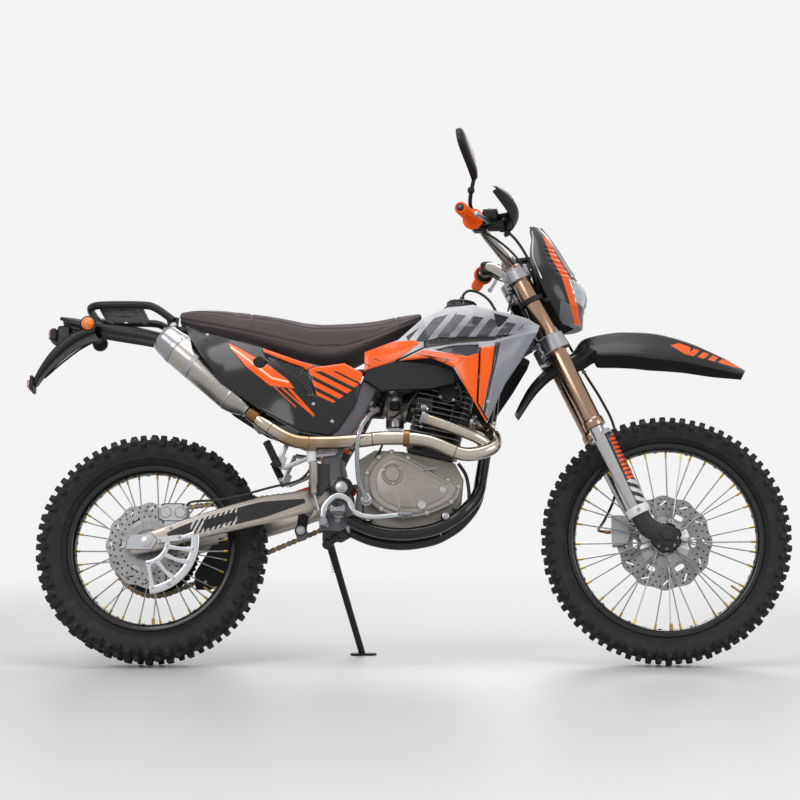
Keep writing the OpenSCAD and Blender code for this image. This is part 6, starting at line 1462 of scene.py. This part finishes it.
class BIKE_OT_exhaust(bpy.types.Operator):
    """Header with its capped branch, welds and clamp, and the silencer with bands, rivets and end cap."""
    bl_idname = "bike.exhaust"
    bl_label = "Exhaust"

    FRONT, REAR = np.array([-440.0, -146.0, 691.0]), np.array([-685.0, -150.0, 901.0])

    def execute(self, context):
        way = unit(self.REAR - self.FRONT)
        out = on_cylinder((93, -44, 125))
        header = [out, on_cylinder((112, -47, 125)), (219, -76, 652), (236, -112, 618), (224, -138, 584), (150, -150, 566), (49, -150, 604),
                  (-60, -146, 612), (-140, -146, 604), (-230, -150, 598), (-318, -152, 604), (-396, -152, 648), self.FRONT - way * 24,
                  self.FRONT - way * 2]
        shape = Shape().tube(header, 19, 0, 32, 8)
        smooth = curve(header, 8)
        for k in (20, 42, 60, 76, 86):
            shape.spin([(19.2, -1.6), (20.0, -0.6), (20.0, 0.6), (19.2, 1.6)], smooth[k], smooth[k + 1] - smooth[k - 1], 1, 36)
        shape.tube([(38, -154, 668), (110, -154, 642), (180, -146, 616), (224, -124, 594)], 16, 0, 28, 8)
        cap = unit(np.array([-72.0, 0, 26]))
        shape.spin([(17, -14), (17.5, -3), (20, -2), (20, 5), (16, 8), (6, 9)], np.array([38, -154, 668.0]), cap, 2, 32)
        shape.bolts([np.array([44, -154, 666.0]) + (9 * k, -1, 24 * k) for k in (-1, 1)], cap, 8, 3, 5)
        flange = unit(np.array(header[1]) - out)
        shape.spin([(30, -4), (32, -2), (32, 4), (30, 6), (20, 6)], out + flange * 2, flange, 2, 40, 1 + 0.16 * np.cos(2 * np.linspace(0, 2 * math.pi, 40, endpoint=False)))
        shape.spin([(21, -14), (24, -12), (24, 12), (21, 14)], self.FRONT - way * 20, way, 4, 36)
        shape.spin([(21, -9), (23.5, -8), (23.5, 8), (21, 9)], smooth[52], smooth[53] - smooth[51], 4, 36)
        make_piece("exhaust_header", shape, parked, "frame",
                   [LOOKS[n] for n in ("header_steel", "bronze_clamp", "machined", "bright_silver", "bronze_clamp")], ["exhaust_header"], 50)
        can = Shape()
        n = float(np.linalg.norm(self.REAR - self.FRONT))
        flats = 1 + 0.035 * np.cos(4 * np.linspace(0, 2 * math.pi, 64, endpoint=False) + 0.9)
        can.spin([(19, 0), (24, 1), (24, 9), (29, 15), (38, 34), (43, 52), (44.6, 64), (44.6, n - 62), (44.2, n - 60)], self.FRONT, way, 0, 64, flats)
        can.spin([(44.4, 58), (45.2, 59), (45.2, 65), (44.4, 66)], self.FRONT, way, 0, 64, flats)
        can.spin([(44.6, n - 62), (45.6, n - 61), (45.6, n - 49), (44, n - 46), (40, n - 12), (36, n - 2), (33, n), (26, n), (23, n - 3),
                  (20, n - 12), (17, n - 14)], self.FRONT, way, 1, 64, flats)
        u, v, _ = square_to(way)
        for station in (n - 55,):
            spots = [self.FRONT + way * station + (u * math.cos(a) + v * math.sin(a)) * 45.3 for a in np.arange(10) * 2 * math.pi / 10]
            can.bars(spots, [p + unit(p - self.FRONT - way * station) * 1.6 for p in spots], 2.4, 2, 10)
        seam = [self.FRONT + way * t + (-u * 0.35 - v * 0.94) * 45.0 for t in (84, n - 62)]
        can.add(carried(seam, rounded(4, 1.6, 3, 8)), 0)
        grip = self.FRONT + (self.REAR - self.FRONT) * 0.62
        can.spin([(44.8, -8), (46.4, -7), (46.4, 7), (44.8, 8)], grip, way, 2, 64)
        make_piece("silencer", can, parked, "frame", [LOOKS[n] for n in ("brushed_steel", "machined", "silver")], ["silencer"], 40)
        return {"FINISHED"}


class BIKE_OT_frame(bpy.types.Operator):
    """Twin spars, cradle, plates and pivots, the subframe with its tabs, and the grab rail with its rack plate."""
    bl_idname = "bike.frame"
    bl_label = "Frame"

    SPAR = ((262, 46, 878), (200, 64, 844), (60, 87, 832), (-80, 105, 802), (-150, 105, 690), (-205, 105, 590), (-212, 105, 520),
            (-185, 105, 470), (-168, 99.8, 400))
    CRADLE = ((262, 0, 850), (232, 0, 700), (205, 34, 540), (190, 64, 470), (152, 88, 420), (110, 88, 388), (60, 88, 366), (-20, 88, 355),
              (-100, 88, 366), (-168, 95, 395))
    PLATE = ((-222, 560), (-180, 560), (-150, 430), (-150, 385), (-190, 362), (-246, 366), (-246, 392), (-214, 430))
    SUB_TOP = ((-93, 81.7, 816), (-150, 81.7, 813), (-250, 88, 815), (-400, 90, 862), (-560, 86, 918), (-668, 76, 944))
    SUB_LOW = ((-204, 81.7, 596), (-250, 81.7, 640), (-330, 88, 712), (-470, 88, 834), (-560, 86, 916))
    RAIL = ((-662, 96, 962), (-712, 94, 998), (-752, 92, 1008), (-860, 92, 1008), (-895, 74, 1008), (-905, 40, 1008), (-906, 0, 1008))

    def execute(self, context):
        shape = Shape()
        shape.spin([(15.5, 0), (30, 0), (32, 3), (32, 14), (30, 17), (30, 126), (32, 129), (32, 140), (30, 143.8), (15.5, 143.8)],
                   on_head(915), STEER_UP, 0, 56, ends="joined")
        heads = ((on_head(930) + (-22, 0, -5)) * (1, 0, 1) + (0, 30, 0), (on_head(935) + (-18, 0, -10)) * (1, 0, 1))
        grow = read_off([(21, 12), (23, 13), (23, 13), (23, 13), (24, 13), (25, 13), (25, 13), (26, 13), (24, 13), (20, 12)], np.linspace(0, 1, 73))
        for side in BOTH:
            spar = on_side([heads[0], *self.SPAR], side)
            shape.add(carried(curve(spar, 8), rounded(2, 2, 4.5, 28), up=Y_WAY, grow=grow), 3)
            shape.tube(on_side([heads[1], *self.CRADLE], side), 17, 0, 28, 8)
            pivot = np.array([-185, side * 90, 480.0])
            shape.spin([(31, 0), (31, 26), (29, 30), (24, 31), (22, 28), (14, 28)], pivot, Y_WAY * side, 0, 48)
            shape.bolts([pivot + Y_WAY * side * 28], Y_WAY * side, 24, 1, 9)
            shape.slab(self.PLATE, side * 93, side * 103, 3, 2)
            shape.bolts([(x, side * 103, z) for x, z in ((-200, 540), (-196, 392), (-228, 378))], Y_WAY * side, 10, 1, 6)
            for x, z in ((100, 402), (-112, 398)):
                shape.rod((x, side * 88, z), (x, -63.3 if side < 0 else 69.3, z), 13, 0, 24)
                shape.bolts([(x, side * 104, z)], Y_WAY * side, 14, 1, 8)
            shape.slab([(-128, 776), (-60, 786), (-40, 800), (-60, 812), (-120, 806)], side * 116, side * 122, 3, 1.5)
            for x, z in ((30, 832), (60, 830), (150, 838)):
                shape.bolts([(x, side * 94, z - 22)], -Z_WAY, 11, 1, 5)
            shape.slab([(20, 700), (64, 700), (74, 800), (10, 806)], side * 76, side * 82, 0, 1.5)
            shape.bolts([(42, side * 82, 716), (36, side * 82, 790)], Y_WAY * side, 12, 1, 6)
        for a, b, r in (((-172, -98, 396), (-172, 98, 396), 14), ((-98, -98, 792), (-98, 98, 792), 11)):
            shape.rod(a, b, r, 0, 28)
        stand = StandPlace()
        shape.rod(stand.pivot - stand.axis * 34, stand.pivot - stand.axis * 12.3, 15, 0, 28)
        shape.rod(stand.pivot - stand.axis * 30, (-200, 88, 378), 10, 0, 20)
        make_piece("main_frame", shape, parked, "frame", [LOOKS[n] for n in ("gloss_black", "silver", "brass", "spar_grey")],
                   ["main_frame"], 40)
        self.subframe()
        self.rail()
        return {"FINISHED"}

    def subframe(self):
        shape = Shape()
        way = unit(BIKE_OT_exhaust.REAR - BIKE_OT_exhaust.FRONT)
        out = np.array([0.3, 0.9, 0.6])
        out = unit(out - way * (out @ way))
        grip = BIKE_OT_exhaust.FRONT + (BIKE_OT_exhaust.REAR - BIKE_OT_exhaust.FRONT) * 0.62 + out * 45.3
        for side in BOTH:
            shape.tube(on_side(self.SUB_TOP, side), 10, 0, 20)
            shape.tube(on_side(self.SUB_LOW, side), 10, 0, 20)
            shape.rod((-420, side * 86, 869), (-420, side * 126, 869), 8, 0, 16)
            shape.rod((-352, side * 86, 732), (-352, side * 121, 732), 7, 0, 16)
            shape.slab([(-110, 800), (-84, 806), (-84, 826), (-112, 830)], side * 84, side * 92, 0, 1.5)
            shape.slab([(-222, 584), (-196, 584), (-190, 612), (-216, 616)], side * 84, side * 92, 0, 1.5)
        shape.rod((-400, -88, 873.3), (-400, 88, 873.3), 10, 0, 20)
        shape.rod((-640, -78, 940), (-640, 78, 940), 10, 0, 20)
        shape.rod(grip, grip + out * 24, 8, 0, 16)
        shape.rod(grip + out * 16, (-560, -86, 917), 7, 0, 16)
        make_piece("subframe", shape, parked, "frame", [LOOKS["satin_black"]], ["subframe"])

    def rail(self):
        """Rail tubes, and a rack plate of four tiles, each run round its own mounting hole."""
        shape = Shape()
        path = [np.array(p, float) for p in self.RAIL]
        shape.tube(path + [flipped(p) for p in path[-2::-1]], 11, 0, 24)
        c = circle(64, math.pi / 64)
        for sx in BOTH:
            for sy in BOTH:
                centre = np.array([-815 + sx * 38.9, sy * 38.9])
                middle = np.array([-815 + sx * 31, sy * 28.0])
                reach = np.where(c > 0, middle + (31, 28) - centre, centre - middle + (31, 28))
                square = centre + c * np.min(reach / np.maximum(np.abs(c), 1e-9), axis=1, keepdims=True)
                hole = centre + c * 3.5
                inner = centre + (square - centre) * 0.97
                shape.add([np.column_stack([q, np.full(64, z)]) for q, z in
                           ((square, 1003.8), (square, 1010.2), (inner, 1011), (hole, 1011), (hole, 1003), (inner, 1003))], 0, "joined")
        for x in (-48, 48):
            shape.block((-815 + x, 0, 1005), (16, 186, 6), 0, chamfer=1.5)
        for k in (-36, -12, 12, 36):
            shape.add(carried([(-872, k, 1011.6), (-758, k, 1011.6)], rounded(5, 3, 3, 12), up=Z_WAY), 1)
        for side in BOTH:
            shape.slab([(-676, 936), (-650, 936), (-646, 970), (-684, 978)], side * 89, side * 97, 0, 1.5)
            shape.bolts([(-662, side * 97, 948)], Y_WAY * side, 13, 2, 7)
        make_piece("grab_rail", shape, parked, "frame", [LOOKS[n] for n in ("satin_black", "matt_plastic", "silver")], ["grab_rail"])


class StandPlace:
    """Where the side stand's hinge, foot and axis lie on the upright bike."""

    def __init__(self):
        self.pivot = np.array([-228.0, 122.0, 370.0])
        high = 268.0 * math.tan(LEAN)
        self.foot = np.array([self.pivot[0] + math.sqrt(356.0 ** 2 - (268.0 - 122.0) ** 2 - (370.0 - high) ** 2), 268.0, high])
        self.axis = unit(np.cross(unit(self.foot - self.pivot), unit(np.array([-1, 0.1, 0.03]))))


class BIKE_OT_rear_end(bpy.types.Operator):
    """Swingarm with inset plates and adjusters, axle, chain of links, guide, shock and spring, and the rear brake."""
    bl_idname = "bike.rear_end"
    bl_label = "Rear end"

    def execute(self, context):
        self.swingarm()
        self.chain()
        self.shock()
        self.brake()
        return {"FINISHED"}

    def swingarm(self):
        z = REAR_Z
        path = np.array([(-760, 112, z - 12), (-685, 112, z + 8), (-600, 112, z + 36), (-430, 108, 410), (-300, 92, 442), (-212, 76, 464)])
        heights = np.array([46, 58, 62, 74, 64, 48.0])
        shape = Shape()
        line, high = curve(path, 8), curve(heights[:, None], 8)
        flat = np.linspace(0, 1, len(line))
        for side in BOTH:
            shape.add(carried(on_side(line, side), rounded(2, 2, 4.5, 32), up=Z_WAY, grow=np.column_stack([np.full(len(line), 12.0), high / 2])), 0)
            outer = on_side(line + Y_WAY * 11.6, side)
            shape.add(carried(outer[11:34], rounded(2, 2, 8, 24), up=Z_WAY, grow=np.column_stack([np.full(23, 1.1), high[11:34, 0] * read_off([[0.14], [0.3], [0.3], [0.1]], np.linspace(0, 1, 23))[:, 0]])), 1)
            shape.slab([(-560, z + 34), (-474, z + 62), (-474, z + 84), (-560, z + 60)], side * 124, side * 125.6, 3, 0.4)
            for shift in (-1, 1):
                weld = outer + Z_WAY * (high * 0.5 - 7) * shift - Y_WAY * side * 1.2
                shape.tube(weld[10:36], 1.6, 0, 8, 1)
            shape.slab([(-772, z - 20), (-700, z - 22), (-684, z + 4), (-700, z + 26), (-764, z + 16)], side * 123, side * 129, 2, 2)
            shape.rod((-786, side * 112, z - 14), (-752, side * 112, z - 8), 5, 2, 12)
            shape.bolts([(-772, side * 112, z - 11)], -X_WAY, 13, 2, 6)
            shape.bolts([(x, side * 125, h) for x, h in ((-545, z + 24), (-500, z + 40), (-650, z + 40))], Y_WAY * side, 8, 2, 4)
        shape.rod((-185, -89.7, 480), (-185, 89.7, 480), 21, 0, 36)
        shape.block((-205, 0, 464), (34, 160, 36), 0, chamfer=5)
        shape.add(carried(curve([(-330, 78, 494), (-250, 78, 520), (-190, 78, 522), (-150, 78, 500)], 6), rounded(20, 6, 4, 16), up=Y_WAY), 4)
        make_piece("swingarm", shape, parked, "frame",
                   [LOOKS[n] for n in ("champagne", "arm_inset", "silver", "matt_plastic", "slider_red")], ["swingarm"], 40)
        axle = Shape().rod(REAR_CENTRE - Y_WAY * 134, REAR_CENTRE + Y_WAY * 134, 10, 0, 28)
        for side in BOTH:
            axle.bolts([REAR_CENTRE + Y_WAY * side * 129.3], Y_WAY * side, 28, 0, 9, 1.25)
        make_piece("rear_axle", axle, parked, "frame", [LOOKS["bright_silver"]], ["rear_axle"])

    def chain(self):
        """Plates and rollers set out link by link round both sprockets at the chain's pitch."""
        pitch, y = 15.875, 78.0
        rear_r, front_r = pitch / 2 / math.sin(math.pi / 48), pitch / 2 / math.sin(math.pi / 13)
        rear, front = np.array([-HALF_BASE, REAR_Z]), np.array([-104.0, 492.0])
        span = np.linalg.norm(front - rear)
        slope, wrap = math.atan2(*(front - rear)[::-1]), math.asin((rear_r - front_r) / span)
        run = span * math.cos(wrap)
        arcs = rear_r * (math.pi + 2 * wrap), front_r * (math.pi - 2 * wrap)
        total = 2 * run + sum(arcs)
        count = round(total / pitch / 2) * 2
        up, low = slope + math.pi / 2 - wrap, slope - math.pi / 2 + wrap

        def at(s):
            s = np.asarray(s) % total
            ray = lambda a: np.stack([np.cos(a), np.sin(a)], -1)
            first = rear + ray(up) * rear_r + ray(up - math.pi / 2) * s[:, None]
            second = front + ray(up - (s - run) / front_r) * front_r
            third = front + ray(low) * front_r + ray(low - math.pi / 2) * (s - run - arcs[1])[:, None]
            fourth = rear + ray(low - (s - 2 * run - arcs[1]) / rear_r) * rear_r
            return np.select([(s < run)[:, None], (s < run + arcs[1])[:, None], (s < 2 * run + arcs[1])[:, None]], [first, second, third], fourth)

        pins = at(np.arange(count) * total / count)
        nexts = np.roll(pins, -1, 0)
        bone = np.array([(-11.6, -4.0), (-8, -7), (-4, -6), (0, -4.6), (4, -6), (8, -7), (11.6, -4.0), (11.6, 4.0), (8, 7), (4, 6), (0, 4.6),
                         (-4, 6), (-8, 7), (-11.6, 4.0)])
        shape = Shape()
        places = lambda which: facing(np.insert((pins + nexts)[which] / 2, 1, y, axis=1), np.insert((nexts - pins)[which], 1, 0, axis=1), Z_WAY)
        for which, width, mark in ((slice(0, None, 2), 7.6, 0), (slice(1, None, 2), 5.2, 1)):
            link = Shape()
            for side in BOTH:
                link.slab(bone, side * (width - 1.8), side * width, mark, 0.4)
            shape.copies(link, places(which))
        roller = Shape().rod((-pitch / 2, -8.2, 0), (-pitch / 2, 8.2, 0), 2.4, 1, 8).rod((-pitch / 2, -3.3, 0), (-pitch / 2, 3.3, 0), 5, 0, 10)
        shape.copies(roller, places(slice(None)))
        make_piece("chain", shape, parked, "frame", [LOOKS["chain_steel"], LOOKS["brass"]], ["chain"])
        guide = Shape()
        outline = [(-600, 225), (-560, 225), (-486, 262), (-478, 350), (-500, 356), (-556, 350), (-604, 268)]
        for side in BOTH:
            guide.slab(outline, y + side * 9.6, y + side * 13, 0, 1)
            guide.bolts([(x, y + side * 13, z) for x, z in ((-572, 244), (-500, 278), (-496, 340))], Y_WAY * side, 8, 2, 4)
        for z in (238, 336):
            guide.block((-548 + (z - 238) * 0.3, y, z), (44, 19, 12), 1, chamfer=2)
        guide.block((-525, y + 10, 358), (30, 20, 28), 0, chamfer=3)
        make_piece("chain_guide", guide, parked, "frame", [LOOKS[n] for n in ("matt_plastic", "slider_red", "silver")], ["chain_guide"])

    def shock(self):
        shape = Shape()
        eye, low = np.array([-98, -20, 792.0]), np.array([-292, -20, 420.0])
        way = unit(low - eye)
        reach = float(np.linalg.norm(low - eye))
        top = eye + way * 11.3
        shape.spin([(20, 0), (24, 6), (24, 30), (34, 36), (34, 50), (28, 56), (18, 60), (18, 190), (9, 196), (9, reach - 70), (24, reach - 66),
                    (35, reach - 58), (35, reach - 48), (18, reach - 40), (18, reach - 12)], top, way, 1, 40)
        u, v, _ = square_to(way)
        t = np.linspace(0, 1, 281)[:, None]
        turn = t * 2 * math.pi * 8
        shape.tube(top + way * (56 + t * (reach - 128)) + (u * np.cos(turn) + v * np.sin(turn)) * 28.5, 5.6, 0, 10, 1)
        shape.rod(eye + (20, 42, 10), eye + (-36, 42, -96), 21, 2, 32, 5)
        shape.block(eye + (0, 12, -16), (30, 44, 26), 1, chamfer=4)
        shape.rod((-292, -20, 428), (-300, -20, 376), 15, 2, 24)
        shape.rod((-300, -50, 372), (-300, 30, 372), 17, 2, 24)
        shape.bolts([(-300, -50, 372)], -Y_WAY, 18, 1, 8)
        make_piece("shock_absorber", shape, parked, "frame", [LOOKS[n] for n in ("shock_orange", "silver", "cast_dark")], ["shock_absorber"])

    def brake(self):
        shape = Shape()
        cast = [(-690, 398), (-676, 388), (-622, 388), (-606, 400), (-606, 424), (-622, 440), (-672, 440), (-690, 428)]
        shape.slab(cast, -80, -99, 1, 5)
        shape.slab(cast, -54, -62, 1, 3)
        shape.block((-648, -76, 434), (70, 30, 12), 1, chamfer=3)
        for x in (-668, -628):
            shape.spin([(17, 0), (17, 1.4), (14, 2.4), (13, 1), (3, 1)], (x, -97.6, 414), -Y_WAY, 0, 32)
        shape.bolts([(x, -99, 430) for x in (-684, -612)], -Y_WAY, 9, 4, 1.4, 1.2)
        shape.slab([(-672, 392), (-616, 392), (-612, 366), (-626, 350), (-664, 350), (-676, 366)], -88, -96, 1, 3)
        shape.bolts([(x, -96, 364) for x in (-660, -630)], -Y_WAY, 11, 4, 3, 1.2)
        ray = lambda a, r: REAR_CENTRE + (r * math.cos(math.radians(a)), -135.5, r * math.sin(math.radians(a)))
        arc = lambda low, high, r, w: shape.add(carried([ray(a, r) for a in np.linspace(low, high, 26)], rounded(w, 5, 4, 16), up=Y_WAY), 4)
        arc(-84, 8, 134, 22)
        arc(-88, 6, 60, 14)
        for a, b in ((-82, -80), (-60, -52), (-36, -26), (-14, -10), (4, 8)):
            shape.add(carried([ray(a, 60), ray((a + b) / 2, 98), ray(b, 132)], rounded(2, 5, 4, 16), up=Y_WAY, grow=[[7, 1], [5, 1], [9, 1]]), 4)
        shape.slab([(-684, 322), (-616, 330), (-616, 346), (-684, 338)], -124.3, -138, 4, 1)
        shape.bolts([(-676, -138, 330), (-624, -138, 338), tuple(ray(-60, 134) - Y_WAY * 2.5)], -Y_WAY, 8, 1, 4)
        shape.slab([(-275, 548), (-220, 544), (-220, 484), (-240, 455), (-275, 460)], -119, -124, 2, 1)
        shape.spin([(10, 0), (12, 3), (12, 60), (9, 66), (9, 88), (5, 93)], (-262, -134, 548), unit(np.array([2, 0, -93.0])), 0, 28)
        shape.rod((-260, -134, 458), (-247, -131, 412), 4, 1, 12)
        shape.block((-268, -134, 562), (26, 26, 34), 3, chamfer=5)
        shape.block((-268, -134, 581), (28, 28, 6), 0, chamfer=2)
        shape.tube([(-264, -130, 540), (-300, -122, 500), (-380, -124.5, 478), (-500, -127, 446), (-590, -118, 440), (-610, -100, 432)], 3.4, 2, 10)
        make_piece("rear_brake", shape, parked, "frame", [LOOKS[n] for n in ("cast_grey", "silver", "hose_rubber", "white_plastic", "guard_edge")],
                   ["rear_brake"])


class BIKE_OT_feet(bpy.types.Operator):
    """Toothed footpegs, passenger pegs on their brackets, pedal, gear lever, kick starter and side stand."""
    bl_idname = "bike.feet"
    bl_label = "Foot parts"

    def execute(self, context):
        self.pegs()
        self.levers()
        stand = StandPlace()
        shape = Shape().rod(stand.pivot - stand.axis * 12, stand.pivot + stand.axis * 12, 15, 0, 32)
        shape.bolts([stand.pivot + stand.axis * 12], stand.axis, 16, 1, 7)
        way = unit(stand.foot + (0, 0, 6) - stand.pivot)
        shape.tube([stand.pivot, stand.pivot + way * 110, stand.pivot + way * 230, stand.foot + (0, 0, 6)], (12, 10, 9.5, 9.5), 0, 24)
        tilt = turned(Z_WAY, X_WAY, LEAN)
        across = turned(Y_WAY, X_WAY, LEAN)
        c = circle(40)
        pad = [stand.foot + X_WAY * (c[:, :1] * (1 - e) * 22 + 4 + 16 * np.sign(c[:, :1])) + across * c[:, 1:] * (19 - 4 * (c[:, :1] > 0)) * (1 - e)
               + tilt * h for h, e in ((0, 0.06), (1, 0), (5, 0), (6, 0.06))]
        shape.add(pad, 0)
        spring = np.linspace(0, 1, 161)[:, None]
        a, b = stand.pivot + (-4, -16, 20), stand.pivot + way * 96 + stand.axis * 2 + (-12, 0, 0)
        u, v, _ = square_to(b - a)
        shape.tube(a + (b - a) * spring + (u * np.cos(spring * 88) + v * np.sin(spring * 88)) * 5, 1.5, 1, 6, 1)
        make_piece("side_stand", shape, parked, "side_stand", [LOOKS["satin_black"], LOOKS["silver"]], ["side_stand"])
        return {"FINISHED"}

    def pegs(self):
        shape = Shape()
        for side in BOTH:
            for y in (-16, 16):
                shape.block((-193 + y, side * 169, 404), (8, 82, 16), 0, chamfer=1.5)
            for k in range(5):
                shape.block((-193, side * (132 + k * 18.6), 403), (40, 6, 12), 0, chamfer=1)
            for k in range(7):
                for x in (-209, -177):
                    shape.spin([(4, 0), (1.4, 5)], (x, side * (134 + k * 11.6), 411.6), Z_WAY, 0, 4)
            inner = 128 if side < 0 else 115
            shape.block((-193, side * (inner + (103.3 if side < 0 else 115)) / 2 if side < 0 else side * 121.5, 404), (28, 25 if side < 0 else 13, 18), 1, chamfer=3)
            shape.rod((-193, side * 118, 392), (-193, side * 118, 418), 6, 1, 16)
            arm = [(-330, 622), (-196, 602), (-196, 574), (-262, 566), (-350, 528), (-366, 540)]
            hole = [(-318, 606), (-252, 594), (-280, 574), (-344, 548)]
            for a, b in ((0, 1), (1, 2), (2, 3), (3, 4), (4, 5), (5, 0)):
                p, q = np.array(arm[a], float), np.array(arm[b], float)
                middle = np.array([-290.0, 580.0])
                shape.add(carried([(p[0] + (middle - p)[0] * 0.07, side * 122.6, p[1] + (middle - p)[1] * 0.07),
                                   (q[0] + (middle - q)[0] * 0.07, side * 122.6, q[1] + (middle - q)[1] * 0.07)], rounded(13, 8.6, 4, 16), up=Y_WAY), 1)
            shape.slab([(-252, 594), (-196, 600), (-196, 576), (-276, 572)], side * 118.5, side * 127, 1, 2)
            shape.slab([(-366, 538), (-346, 530), (-336, 560), (-352, 572)], side * 118.5, side * 127, 1, 2)
            shape.bolts([(-210, side * 127, 588), (-248, side * 127, 583)], Y_WAY * side, 12, 1, 6)
            rings = [(9, 0), (11, 2)] + [r for k in range(8) for r in ((11, 6 + k * 8), (9.6, 8 + k * 8), (9.6, 9 + k * 8), (11, 11 + k * 8))] + [(11, 74), (9, 78)]
            shape.spin(rings, (-392, side * 138, 604), unit(np.array([34, 0, -70.0])), 2, 24)
            shape.block((-365, side * 129, 548), (18, 16, 16), 1, chamfer=3)
        make_piece("footpegs", shape, parked, "frame", [LOOKS[n] for n in ("machined", "silver", "rubber")], ["footpegs"])

    def levers(self):
        shape = Shape()
        shape.spin([(12, 0), (13, 2), (13, 30), (10, 33)], (-234, -103.3, 384), -Y_WAY, 0, 28)
        pedal = curve([(-234, -128, 384), (-230, -128, 424), (-200, -128, 453), (-166, -129, 442), (-148, -132, 408), (-100, -136, 394), (-20, -142, 400)], 8)
        shape.add(carried(pedal, rounded(2, 2, 3, 20), up=Y_WAY, grow=read_off([(10, 6), (9, 6), (9, 6), (7, 6), (6.5, 7)], np.linspace(0, 1, len(pedal)))), 1)
        shape.block((-12, -146, 400), (38, 40, 10), 0, chamfer=2)
        for k in range(4):
            shape.block((-24 + k * 8, -146, 406), (3, 36, 5), 0, chamfer=0.8)
        gear = np.array([-110.0, 107.3, 424])
        shape.spin([(9, 0), (12, 2), (12, 22), (9, 24)], gear, Y_WAY, 0, 28)
        shape.tube([(-110, 121, 424), (-80, 126, 412), (-30, 130, 404), (0, 132, 410)], (8, 7, 6.5, 6.5), 1, 16)
        shape.spin([(6, 0), (8, 2), (8, 36), (6, 40)], (0, 128, 410), Y_WAY, 2, 24)
        kick = np.array([-118.0, -115.3, 447])
        shape.spin([(10, 0), (13, 2), (13, 20), (10, 22)], kick, -Y_WAY, 1, 32)
        shape.bolts([kick - Y_WAY * 22], -Y_WAY, 12, 0, 5)
        arm = curve([(-118, -129, 447), (-136, -150, 490), (-142, -176, 560), (-138, -184, 610), (-128, -180, 640), (-108, -184, 668), (-84, -206, 680)], 8)
        shape.add(carried(arm, rounded(2, 2, 3, 20), up=X_WAY, grow=read_off([(8, 9), (7, 7), (6, 6), (6, 6), (6, 6), (6, 6)], np.linspace(0, 1, len(arm)))), 0)
        make_piece("foot_controls", shape, parked, "frame", [LOOKS[n] for n in ("machined", "bright_silver", "hose_rubber")], ["foot_controls"])


OPERATORS = (BIKE_OT_finishes, BIKE_OT_front_wheel, BIKE_OT_rear_wheel, BIKE_OT_shrouds, BIKE_OT_side_panels, BIKE_OT_seat, BIKE_OT_fenders, BIKE_OT_mask,
             BIKE_OT_fork, BIKE_OT_bars, BIKE_OT_engine, BIKE_OT_exhaust, BIKE_OT_frame,
             BIKE_OT_rear_end, BIKE_OT_feet, BIKE_OT_stage)


class BIKE_PT_panel(bpy.types.Panel):
    """Lists the bike's pieces in the 3D view's sidebar."""
    bl_label = "Bike"
    bl_idname = "BIKE_PT_panel"
    bl_space_type = "VIEW_3D"
    bl_region_type = "UI"
    bl_category = "Bike"

    def draw(self, context):
        for name in BIKE_PG_look.__annotations__:
            self.layout.prop(context.scene.bike_look, name)
        for operator in OPERATORS:
            self.layout.operator(operator.bl_idname)


CLASSES = (BIKE_PG_look, *OPERATORS, BIKE_PT_panel)


def register():
    for cls in CLASSES:
        bpy.utils.register_class(cls)
    bpy.types.Scene.bike_look = PointerProperty(type=BIKE_PG_look)


def unregister():
    del bpy.types.Scene.bike_look
    for cls in reversed(CLASSES):
        bpy.utils.unregister_class(cls)


def main():
    register()
    for operator in OPERATORS:
        group, name = operator.bl_idname.split(".")
        getattr(getattr(bpy.ops, group), name)()


if __name__ == "__main__":
    main()
